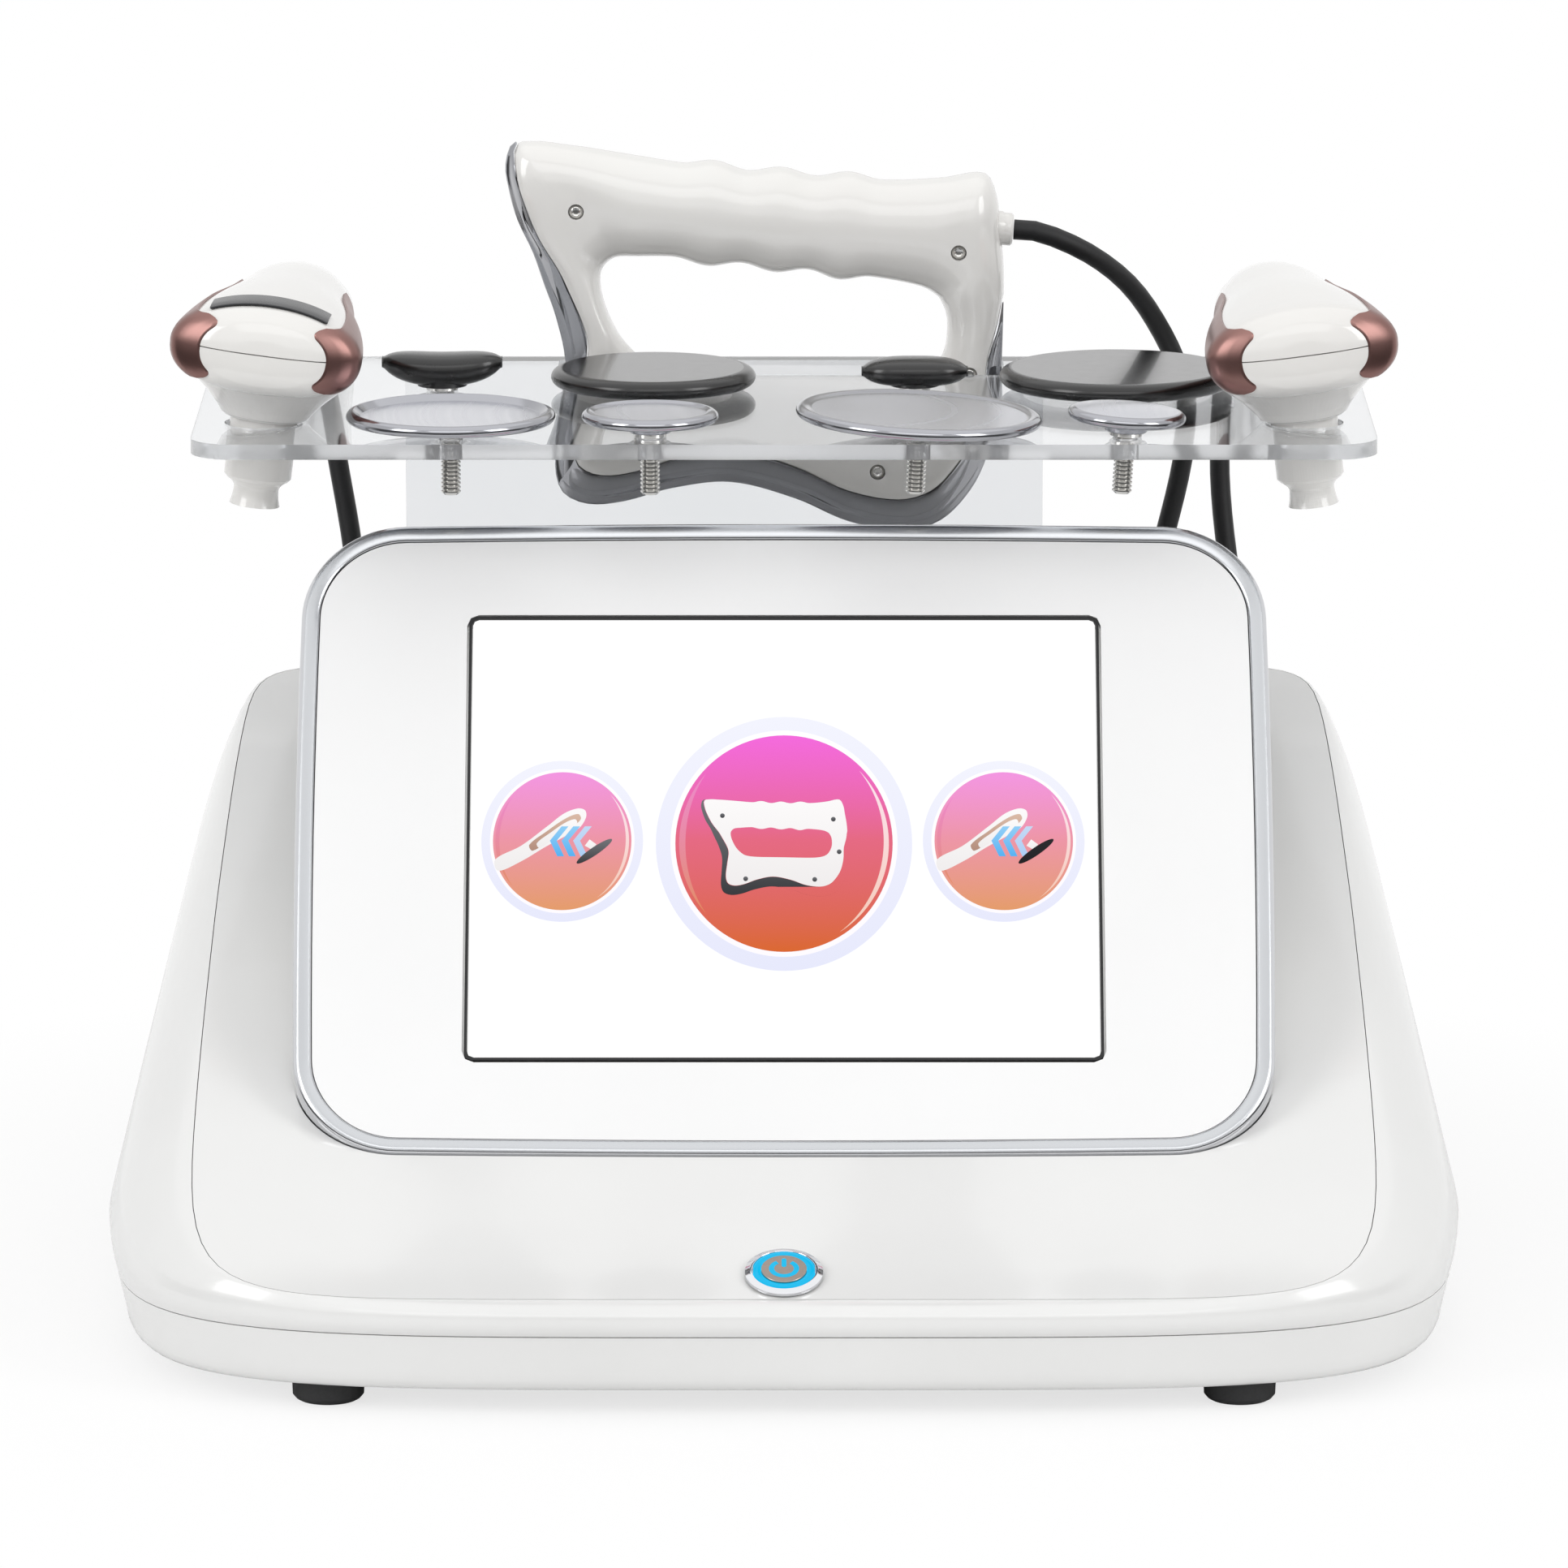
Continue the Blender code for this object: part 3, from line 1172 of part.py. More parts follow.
def round_electrode(name, place, radius, thickness, dish, edge, finish, tilt=0.0, hub=True, dome=0.0):
    """A turned disc on a threaded stud; dish is the depth of its hollow, dome the rise of its crown."""
    x, y = place
    seat = SHELF_TOP + FIT_GAP + NECK_RADIUS * math.sin(abs(tilt))
    matrix = Matrix.Translation((x, y, seat)) @ Matrix.Rotation(tilt, 4, "Y")
    frame = add_frame(name + "_axis", matrix)
    base = HUB_HEIGHT if hub else NECK_HEIGHT
    top = base + thickness
    rim = radius - edge
    profile = [(0.0, top - dish + dome)]
    if dome:
        profile += [(radius / 2, top + dome * DOME_SHARE)]
    elif dish:
        profile += [(rim * DISH_FLOOR_SHARE, top - dish)]
    profile += [(rim, top), (radius - edge / 4, top - edge / 2), (radius, top - thickness / 2),
                (radius - edge / 2, base + edge / 4), (rim - edge, base)]
    if hub:
        profile += [(HUB_RADIUS, base), (HUB_RADIUS - STUD_CHAMFER, NECK_HEIGHT)]
    profile += [(NECK_RADIUS, NECK_HEIGHT if hub else base), (NECK_RADIUS, 0.0), (STUD_RADIUS, 0.0),
                (STUD_RADIUS, -STUD_DROP), (STUD_RADIUS - STUD_CHAMFER, -STUD_DROP - STUD_CHAMFER),
                (0.0, -STUD_DROP - STUD_CHAMFER)]
    steps = DISC_STEPS if radius > SMALL_DISC_RADIUS else SMALL_DISC_STEPS
    turned_part(name, profile, finish, steps, frame)


def bar_electrode(name, place, half_length, half_width, thickness, sag, finish):
    """A short bar electrode: its top is hollow along its length where sag is not zero."""
    x, y = place
    frame = add_frame(name + "_axis", Matrix.Translation((x, y, SHELF_TOP + FIT_GAP)))
    rings = []
    for share in BAR_STATION_SHARES:
        along = half_length * share
        narrow = math.sqrt(max(0.0, 1 - abs(share) ** BAR_END_EXPONENT))
        width = half_width * max(narrow, BAR_END_SHARE)
        depth = thickness / 2 * max(narrow, BAR_END_SHARE)
        centre = BAR_BASE_HEIGHT + thickness / 2 + sag * share * share
        ring = []
        for step in range(BAR_SECTION_POINTS):
            angle = 2 * math.pi * step / BAR_SECTION_POINTS
            across = math.copysign(abs(math.cos(angle)) ** BAR_SECTION_POWER, math.cos(angle))
            up = math.copysign(abs(math.sin(angle)) ** BAR_SECTION_POWER, math.sin(angle))
            ring.append(Vector((along, width * across, centre + depth * up)))
        rings.append(ring)
    bar = add_part(name, cleaned(loft(name, rings)), finish, frame)
    lift = BAR_BASE_HEIGHT + thickness / 3
    stud = turned_cutter(name + "_stud", [
        (0.0, lift), (BAR_BASE_RADIUS, lift), (BAR_BASE_RADIUS, BAR_BASE_HEIGHT), (NECK_RADIUS, NECK_HEIGHT),
        (NECK_RADIUS, 0.0), (STUD_RADIUS, 0.0), (STUD_RADIUS, -STUD_DROP),
        (STUD_RADIUS - STUD_CHAMFER, -STUD_DROP - STUD_CHAMFER), (0.0, -STUD_DROP - STUD_CHAMFER)],
        SMALL_STEPS, frame)
    cut(bar, stud, "UNION")


def make_electrodes():
    places = electrode_places()
    round_electrode("steel_electrode_62", places[0], STEEL_62_RADIUS, STEEL_THICKNESS, STEEL_DISH,
                    STEEL_EDGE, "chrome")
    round_electrode("steel_electrode_40", places[1], STEEL_40_RADIUS, STEEL_THICKNESS, STEEL_HOLLOW,
                    STEEL_EDGE, "chrome")
    round_electrode("steel_electrode_72", places[2], STEEL_72_RADIUS, STEEL_THICKNESS, STEEL_HOLLOW,
                    STEEL_EDGE, "chrome", STEEL_72_TILT)
    round_electrode("steel_electrode_35", places[3], STEEL_35_RADIUS, STEEL_THICKNESS, 0.0, STEEL_EDGE,
                    "chrome", STEEL_35_TILT, dome=STEEL_DOME)
    bar_electrode("coated_electrode_curved", places[4], COATED_BAR_HALF, COATED_BAR_WIDTH, COATED_BAR_THICKNESS,
                  COATED_BAR_SAG, "black_coating")
    round_electrode("coated_electrode_62", places[5], COATED_62_RADIUS, COATED_THICKNESS, 0.0, COATED_EDGE,
                    "black_coating", hub=False)
    bar_electrode("coated_electrode_bar", places[6], COATED_SMALL_HALF, COATED_SMALL_WIDTH,
                  COATED_SMALL_THICKNESS, 0.0, "black_coating")
    round_electrode("coated_electrode_72", places[7], COATED_72_RADIUS, COATED_THICKNESS, 0.0, COATED_EDGE,
                    "black_coating", hub=False)


# Scraper handle

def scraper_matrix():
    """Scraper frame: x along the blade, z up out of the slot, y through its thickness to the back."""
    place = (SCRAPER_CENTRE_X, SCRAPER_PLANE_Y, SCRAPER_CENTRE_Z)
    return Matrix.Translation(place) @ Matrix.Rotation(SCRAPER_TILT, 4, "Y")


def eased(value):
    value = min(max(value, 0.0), 1.0)
    return value * value * (3 - 2 * value)


def scraper_keys():
    """The hand-chosen sections in real sizes: outer point, inner point and blade width."""
    sizes = (SCRAPER_HALF_WIDTH, SCRAPER_HALF_HEIGHT, OPENING_HALF_WIDTH, OPENING_HALF_HEIGHT, BLADE_WIDTH)
    return [Vector([share * size for share, size in zip(shares, sizes)]) for shares in SCRAPER_KEY_SHARES]


def scraper_screws():
    """Place of each screw and depth of its bore's floor from the middle plane."""
    sizes = (SCRAPER_HALF_WIDTH, SCRAPER_HALF_HEIGHT, BODY_HALF_THICKNESS)
    return [[share * size for share, size in zip(shares, sizes)] for shares in SCRAPER_SCREW_SHARES]


def scraper_stations():
    """Sections round the finger opening, each as outer point, inner point and blade width."""
    rows = scraper_keys()
    stations = []
    for index in range(len(rows)):
        keys = [rows[(index + shift) % len(rows)] for shift in (-1, 0, 1, 2)]
        raised = min(keys[1][1], keys[2][1]) > GRIP_LEVEL
        in_grip = raised and max(abs(keys[1][0]), abs(keys[2][0])) < GRIP_REACH
        run = (Vector(keys[2][:2]) - Vector(keys[1][:2])).length
        steps = max(1, round(run / (GRIP_STEP if in_grip else BODY_STEP)))
        for step in range(steps):
            row = spline_point(*keys, step / steps)
            wave = 0.0
            if row[1] > GRIP_LEVEL and abs(row[0] - GRIP_WAVE_CENTRE) < GRIP_WAVES / 2 * GRIP_WAVE_PITCH:
                wave = GRIP_WAVE * (1 + math.cos(2 * math.pi * (row[0] - GRIP_WAVE_CENTRE) / GRIP_WAVE_PITCH))
            outer = Vector((row[0], row[1] + wave))
            inner = Vector((row[2], row[3] - wave))
            blade = row[4] if row[4] > BLADE_START_WIDTH else 0.0
            stations.append((outer, inner, blade))
    return stations


def section_thickness(outer, inner):
    """Half thickness in the middle of a section: thick in the grip, thinner elsewhere."""
    middle = (outer + inner) / 2
    share = eased(middle.y / GRIP_BLEND) * eased((middle.x + GRIP_LEFT_END) / GRIP_BLEND)
    return BODY_HALF_THICKNESS + (GRIP_HALF_THICKNESS - BODY_HALF_THICKNESS) * share


def section_ends(outer, inner, blade):
    """The white body's outer end and the half thickness of that end."""
    half = section_thickness(outer, inner)
    end = outer + (inner - outer).normalized() * blade
    share = eased(blade / BLADE_BLEND)
    free = half * FREE_EDGE_SHARE
    return end, half, free, free + (SEAM_HALF_THICKNESS - free) * share


def shell_section(station, side):
    """One half of the body's section, from the finger opening to the blade; side is -1 for the front."""
    outer, inner, blade = station
    end, half, free, seat = section_ends(outer, inner, blade)
    run = end - inner
    rounding = min(GRIP_ROUNDING, run.length * GRIP_ROUNDING_SHARE)
    seam = side * SEAM_GAP / 2
    ring = [Vector((inner.x, seam, inner.y))]
    for from_end, edge in ((False, free), (True, seat)):
        shares = reversed(SECTION_SHARES) if from_end else SECTION_SHARES
        for share in shares:
            reach = rounding * share / run.length
            place = end - run * reach if from_end else inner + run * reach
            rise = (1 - (1 - share) ** ROUND_EXPONENT) ** (1 / ROUND_EXPONENT)
            ring.append(Vector((place.x, side * (edge + (half - edge) * rise), place.y)))
    ring.append(Vector((end.x, seam, end.y)))
    return ring


def blade_section(station):
    outer, inner, blade = station
    end, half, free, seat = section_ends(outer, inner, blade)
    away = (outer - inner).normalized()
    root = end + away * FIT_GAP
    edge = min(BLADE_HALF_EDGE, seat * BLADE_EDGE_SHARE)
    middle = root + (outer - root) * BLADE_MIDDLE_SHARE
    bulge = edge + (seat - edge) * BLADE_BULGE_SHARE
    rows = ((root, seat), (middle, bulge), (outer, edge))
    ring = [Vector((place.x, -depth, place.y)) for place, depth in rows]
    return ring + [Vector((place.x, depth, place.y)) for place, depth in reversed(rows)]


def make_scraper():
    frame = add_frame("scraper_axis", scraper_matrix())
    stations = scraper_stations()
    shells = []
    for name, side in (("scraper_front_shell", -1), ("scraper_rear_shell", 1)):
        rings = [shell_section(station, side) for station in stations]
        shells.append(add_part(name, cleaned(loft(name, rings, closed_path=True)), "white_handle", frame))
    blade_rings = [blade_section(station) for station in stations if station[2] > 0]
    add_part("scraper_blade", cleaned(loft("scraper_blade", blade_rings)), "chrome", frame)
    for name, (u, v, floor) in zip(("scraper_left_screw", "scraper_right_screw"), scraper_screws()):
        screw = rod_mesh(name, SCRAPER_SCREW_RADIUS, (u, -floor - FIT_GAP, v),
                         (u, -floor - SCRAPER_SCREW_HEAD, v), SMALL_STEPS)
        add_part(name, screw, "grey_metal", frame)
    bores = [rod_mesh("bore", SCRAPER_SCREW_RADIUS + FIT_GAP, (u, -floor, v), (u, -GRIP_HALF_THICKNESS * 2, v),
                      SMALL_STEPS) for u, v, floor in scraper_screws()]
    for bore in bores:
        cut(shells[0], add_cutter("scraper_screw_bore", bore, frame))
    collar = rod_mesh("scraper_cable_collar", COLLAR_RADIUS, (COLLAR_START, 0.0, COLLAR_V),
                      (COLLAR_END, 0.0, COLLAR_V), BOOT_STEPS, COLLAR_TIP_RADIUS)
    add_part("scraper_cable_collar", collar, "white_handle", frame)
    seat = rod_mesh("collar_seat", COLLAR_RADIUS + FIT_GAP, (COLLAR_START - FIT_GAP, 0.0, COLLAR_V),
                    (COLLAR_END + COLLAR_RADIUS, 0.0, COLLAR_V), BOOT_STEPS)
    seat_cutter = add_cutter("collar_seat", seat, frame)
    for shell in shells:
        cut(shell, seat_cutter)


def scraper_reach():
    """Left and right end of the slot: where the scraper's widest low parts pass through the shelf."""
    low = [outer.x for outer, inner, blade in scraper_stations() if outer.y < SLOT_LEVEL]
    ends = []
    for u in (min(low), max(low)):
        for height in (SHELF_TOP, SHELF_TOP - RACK_THICKNESS):
            v = (height - SCRAPER_CENTRE_Z + u * math.sin(SCRAPER_TILT)) / math.cos(SCRAPER_TILT)
            ends.append(SCRAPER_CENTRE_X + u * math.cos(SCRAPER_TILT) + v * math.sin(SCRAPER_TILT))
    return min(ends), max(ends)


# Handpieces

def handpiece_matrix(side):
    """Handpiece frame: z along the neck, leaning inward; y from the nose to the tail."""
    return (Matrix.Translation((side * NECK_HOLE_X, NECK_HOLE_Y, SHELF_TOP))
            @ Matrix.Rotation(-side * HANDPIECE_LEAN, 4, "Y") @ Matrix.Rotation(side * HANDPIECE_YAW, 4, "Z"))


def handpiece_stations():
    """The body's sections in real sizes: y, half width, middle height and half height."""
    sizes = (HANDPIECE_LENGTH, HANDPIECE_HALF_WIDTH, HANDPIECE_MIDDLE_HEIGHT, HANDPIECE_HALF_HEIGHT)
    rows = [Vector([share * size for share, size in zip(shares, sizes)]) for shares in HANDPIECE_STATION_SHARES]
    for row in rows:
        row[0] -= HANDPIECE_NOSE
    return rows


def handpiece_row(y):
    """Half width, middle height and half height of the body at y."""
    rows = handpiece_stations()
    for index in range(len(rows) - 1):
        if y <= rows[index + 1][0] or index == len(rows) - 2:
            share = (y - rows[index][0]) / (rows[index + 1][0] - rows[index][0])
            return rows[index].lerp(rows[index + 1], min(max(share, 0.0), 1.0))
    return rows[-1]


def body_point(row, angle, grow=0.0):
    """A point on the body's section, as share of a turn from the right seam; grow moves it outward."""
    y, half_width, centre, half_height = row
    power = 2 / (TOP_SECTION_EXPONENT if math.sin(angle) > 0 else SIDE_SECTION_EXPONENT)
    across = math.copysign(abs(math.cos(angle)) ** power, math.cos(angle))
    up = math.copysign(abs(math.sin(angle)) ** power, math.sin(angle))
    return Vector(((half_width + grow) * across, y, centre + (half_height + grow) * up))


def half_body(name, side):
    """Upper (side 1) or lower (side -1) half of a handpiece body."""
    rings = []
    for row in handpiece_stations():
        ring = []
        for step in range(SECTION_POINTS):
            point = body_point(row, side * math.pi * step / (SECTION_POINTS - 1))
            point.z += side * SEAM_GAP / 2
            ring.append(point)
        rings.append(ring)
    return cleaned(loft(name, rings))


def funnel_profile():
    """The lower body's neck: from inside the body through the shelf to its threaded end."""
    shoulder = (FIT_GAP + SHOULDER_RADIUS * math.sin(HANDPIECE_LEAN)) / math.cos(HANDPIECE_LEAN)
    return [(0.0, FUNNEL_TOP_HEIGHT), (FUNNEL_TOP_RADIUS, FUNNEL_TOP_HEIGHT),
            (FUNNEL_WIDE_RADIUS, FUNNEL_WIDE_HEIGHT), (FUNNEL_MID_RADIUS, FUNNEL_MID_HEIGHT),
            (SHOULDER_RADIUS, shoulder), (NECK_TUBE_RADIUS, shoulder),
            (NECK_TUBE_RADIUS, -NECK_TUBE_DROP), (WAIST_RADIUS, -WAIST_DROP), (MOUTH_RADIUS, -MOUTH_DROP),
            (SOCKET_RADIUS, -MOUTH_DROP), (SOCKET_RADIUS, SOCKET_DEPTH - MOUTH_DROP),
            (0.0, SOCKET_DEPTH - MOUTH_DROP)]


def inlay_mesh(name, side):
    """A curved metal inlay on one side of the body, with a row at each of the body's own stations."""
    inside = [row[0] for row in handpiece_stations() if INLAY_FRONT_Y < row[0] < INLAY_BACK_Y]
    places = sorted([INLAY_FRONT_Y, INLAY_FRONT_Y + INLAY_ROUNDING, *inside,
                     INLAY_BACK_Y - INLAY_ROUNDING, INLAY_BACK_Y])
    rings = []
    for y in places:
        row = handpiece_row(y)
        from_end = min(y - INLAY_FRONT_Y, INLAY_BACK_Y - y)
        height = INLAY_HALF_HEIGHT - max(0.0, INLAY_ROUNDING - from_end)
        reach = math.asin(min(1.0, (height / row[3]) ** (SIDE_SECTION_EXPONENT / 2)))
        ring = []
        for grow, direction in ((INLAY_GAP + INLAY_THICKNESS, 1), (INLAY_GAP, -1)):
            for turn in range(INLAY_SECTION_STEPS + 1):
                angle = reach * (2 * turn / INLAY_SECTION_STEPS - 1) * direction
                point = body_point(row, angle, grow)
                ring.append(Vector((side * point.x, point.y, point.z)))
        rings.append(ring)
    return cleaned(loft(name, rings))


def make_handpiece(prefix, side):
    frame = add_frame(prefix + "_handpiece_axis", handpiece_matrix(side))
    add_part(prefix + "_handpiece_upper_shell", half_body("upper_shell", 1), "white_handle", frame)
    lower = add_part(prefix + "_handpiece_lower_shell", half_body("lower_shell", -1), "white_handle", frame)
    funnel = turned_cutter(prefix + "_handpiece_funnel", funnel_profile(), FUNNEL_STEPS, frame)
    cut(lower, funnel, "UNION")
    for place, way in (("outer", side), ("inner", -side)):
        add_part(prefix + "_handpiece_" + place + "_inlay", inlay_mesh("inlay", way), "rose_metal", frame)
    tail = handpiece_stations()[-1]
    start = Vector((0.0, tail[0] + FIT_GAP, tail[2]))
    boot = rod_mesh("boot", BOOT_RADIUS, start, start + Vector((0.0, BOOT_LENGTH, 0.0)), BOOT_STEPS,
                    BOOT_TIP_RADIUS)
    add_part(prefix + "_handpiece_boot", boot, "black_rubber", frame)
    return frame


def make_indicator(frame):
    """The dark strip across the nose of the left handpiece."""
    rings = []
    for y in (LENS_FRONT_Y, (LENS_FRONT_Y + LENS_BACK_Y) / 2, LENS_BACK_Y):
        row = handpiece_row(y)
        ring = []
        reach = math.acos((LENS_HALF_WIDTH / row[1]) ** (TOP_SECTION_EXPONENT / 2))
        for grow, direction in ((FIT_GAP + LENS_THICKNESS, 1), (FIT_GAP, -1)):
            for turn in range(LENS_STEPS + 1):
                middle = math.pi / 2
                angle = middle + (middle - reach) * (1 - 2 * turn / LENS_STEPS) * direction
                point = body_point(row, angle, grow)
                ring.append(point + Vector((0.0, 0.0, SEAM_GAP / 2)))
        rings.append(ring)
    add_part("left_handpiece_indicator", cleaned(loft("indicator", rings)), "black_coating", frame)


# Leads

def guided_path(start, start_way, points, end, end_way, spacing):
    """A smooth route that leaves and arrives straight, read at an even spacing."""
    start, end = Vector(start), Vector(end)
    start_way, end_way = Vector(start_way).normalized(), Vector(end_way).normalized()
    nodes = [start + start_way * LEAD_END_STRAIGHT, *[Vector(point) for point in points],
             end - end_way * LEAD_END_STRAIGHT]
    slopes = [start_way]
    for before, here, after in zip(nodes, nodes[1:], nodes[2:]):
        first, second = (here - before), (after - here)
        slopes.append((first / first.length ** 2 + second / second.length ** 2).normalized())
    slopes.append(end_way)
    dense = []
    for index in range(len(nodes) - 1):
        span = (nodes[index + 1] - nodes[index]).length
        first = nodes[index] + slopes[index] * span / 3
        second = nodes[index + 1] - slopes[index + 1] * span / 3
        dense.extend(bezier(nodes[index], first, second, nodes[index + 1], step / SOLVER_STEPS)
                     for step in range(SOLVER_STEPS))
    dense.append(nodes[-1])
    return [start, *even_points(dense, spacing), end]


def coil_path(centre_x, side):
    """Four and a quarter real loops in two layers; side -1 starts at the coil's left, 1 at its right."""
    floor = LEAD_RADIUS + COIL_FLOOR_GAP
    middle = COIL_TURNS / 2
    path = []
    for step in range(round(COIL_TURNS * COIL_TURN_POINTS) + 1):
        turn = step / COIL_TURN_POINTS
        radius = COIL_OUTER_RADIUS - COIL_PITCH * (middle - abs(turn - middle))
        climb = eased((turn - middle) / COIL_CLIMB_TURNS + COIL_CLIMB_MIDDLE_SHARE)
        angle = 2 * math.pi * turn * side + (math.pi if side < 0 else 0.0)
        path.append(Vector((centre_x + radius * math.cos(angle), COIL_CENTRE_Y + radius * math.sin(angle),
                            floor + COIL_LAYER_RISE * climb)))
    start = path[0] - Vector((0.0, COIL_END_STRAIGHT, 0.0))
    end = path[-1] + Vector((-side * COIL_END_STRAIGHT, 0.0, 0.0))
    return [start, *path, end]


def coil_clearance(path):
    """Smallest gap between the coil's tube and itself, away from neighbouring points."""
    closest = COIL_OUTER_RADIUS
    for index, point in enumerate(path[:-1]):
        for other in range(index + COIL_TURN_POINTS // 2, len(path) - 1):
            closest = min(closest, segment_distance(point, path[index + 1], path[other], path[other + 1]))
    return closest - 2 * LEAD_RADIUS


def segment_distance(a, b, c, d):
    best = (a - c).length
    for step in range(SEGMENT_CHECKS + 1):
        share = step / SEGMENT_CHECKS
        for point, start, end in ((a.lerp(b, share), c, d), (c.lerp(d, share), a, b)):
            run = end - start
            along = min(max((point - start).dot(run) / run.length_squared, 0.0), 1.0)
            best = min(best, (point - start - run * along).length)
    return best


def path_length(path):
    return sum((after - before).length for before, after in zip(path, path[1:]))


def lead_starts():
    """Start point and direction of each lead's drop, at the back of its handle."""
    starts = []
    tail = handpiece_stations()[-1]
    for side in (-1, 1):
        matrix = handpiece_matrix(side)
        tip = matrix @ Vector((0.0, tail[0] + FIT_GAP + BOOT_LENGTH + FIT_GAP, tail[2]))
        starts.append((tip, matrix.to_3x3() @ Vector((0.0, 1.0, 0.0))))
    matrix = scraper_matrix()
    tip = matrix @ Vector((COLLAR_END + FIT_GAP, 0.0, COLLAR_V))
    starts.insert(1, (tip, matrix.to_3x3() @ Vector((1.0, 0.0, 0.0))))
    return starts


def make_leads():
    names = ("left_handpiece_lead", "scraper_lead", "right_handpiece_lead")
    for row, (name, (tip, way), side) in enumerate(zip(names, lead_starts(), (-1, 1, 1))):
        coil = coil_path(COIL_CENTRES_X[row], side)
        coil_start, coil_end = coil[0], coil[-1]
        gap = Vector((0.0, FIT_GAP, 0.0))
        drop = guided_path(tip, way, DROP_ROUTES[row], coil_start - gap, (0.0, 1.0, 0.0), LEAD_POINT_SPACING)
        tube_part(name + "_drop", drop, LEAD_RADIUS, LEAD_SIDES_LEVEL, "black_rubber")
        tube_part(name + "_coil", coil, LEAD_RADIUS, COIL_SIDES_LEVEL, "black_rubber")
        heading = Vector((-side, 0.0, 0.0))
        gland = Vector((gland_x(row), gland_tip_y() + FIT_GAP, GLAND_Z))
        rise = guided_path(coil_end + heading * FIT_GAP, heading, RISE_ROUTES[row], gland, (0.0, -1.0, 0.0),
                           LEAD_POINT_SPACING)
        tube_part(name + "_rise", rise, LEAD_RADIUS, LEAD_SIDES_LEVEL, "black_rubber")
        print("lead", name, "length", round(path_length(drop) + path_length(coil) + path_length(rise), 3),
              "coil gap", round(coil_clearance(coil), 5))


# Rear wall

def gland_x(row):
    return GLAND_CENTRE_X + (row - 1) * GLAND_SPACING


def gland_tip_y():
    return HOUSING_BACK + FIT_GAP + GLAND_PLATE_THICKNESS + GLAND_NUT_LENGTH + GLAND_TAIL_LENGTH


def rear_matrix(x, z):
    """Frame on the rear wall: z points out of the wall to the back."""
    return Matrix.Translation((x, HOUSING_BACK + FIT_GAP, z)) @ Matrix.Rotation(-math.pi / 2, 4, "X")


def make_glands(housing):
    """Plate on the rear wall with a tapered gland for each lead."""
    frame = add_frame("lead_gland_frame", rear_matrix(GLAND_CENTRE_X, GLAND_Z))
    loop = rounded_rectangle((-GLAND_PLATE_HALF_WIDTH, -GLAND_PLATE_HALF_HEIGHT),
                             (GLAND_PLATE_HALF_WIDTH, GLAND_PLATE_HALF_HEIGHT), (GLAND_PLATE_CORNER,) * 4, 3)
    plate = outline_mesh("lead_gland_panel", [loop], GLAND_PLATE_THICKNESS)
    plate.transform(Matrix.Translation((0.0, 0.0, GLAND_PLATE_THICKNESS / 2)))
    panel = add_part("lead_gland_panel", plate, "black_plastic", frame)
    nut_top = GLAND_PLATE_THICKNESS + GLAND_NUT_LENGTH
    for row in (-1, 0, 1):
        place = add_frame("gland_axis", Matrix.Translation((row * GLAND_SPACING, 0.0, 0.0)), frame)
        gland = turned_cutter("gland", [
            (0.0, nut_top + GLAND_TAIL_LENGTH), (GLAND_TIP_RADIUS, nut_top + GLAND_TAIL_LENGTH),
            (GLAND_BARREL_RADIUS, nut_top), (GLAND_BASE_RADIUS, nut_top),
            (GLAND_BASE_RADIUS, GLAND_PLATE_THICKNESS / 2), (GLAND_BARREL_RADIUS, GLAND_PLATE_THICKNESS / 2),
            (GLAND_BARREL_RADIUS, -GLAND_BARREL_LENGTH), (0.0, -GLAND_BARREL_LENGTH)], BOOT_STEPS, place)
        cut(panel, gland, "UNION")
        hole = turned_cutter("gland_hole", [
            (0.0, CUT_OVERRUN), (GLAND_BARREL_RADIUS + FIT_GAP, CUT_OVERRUN),
            (GLAND_BARREL_RADIUS + FIT_GAP, -GLAND_BARREL_LENGTH), (0.0, -GLAND_BARREL_LENGTH)],
            BOOT_STEPS, place)
        cut(housing, hole)


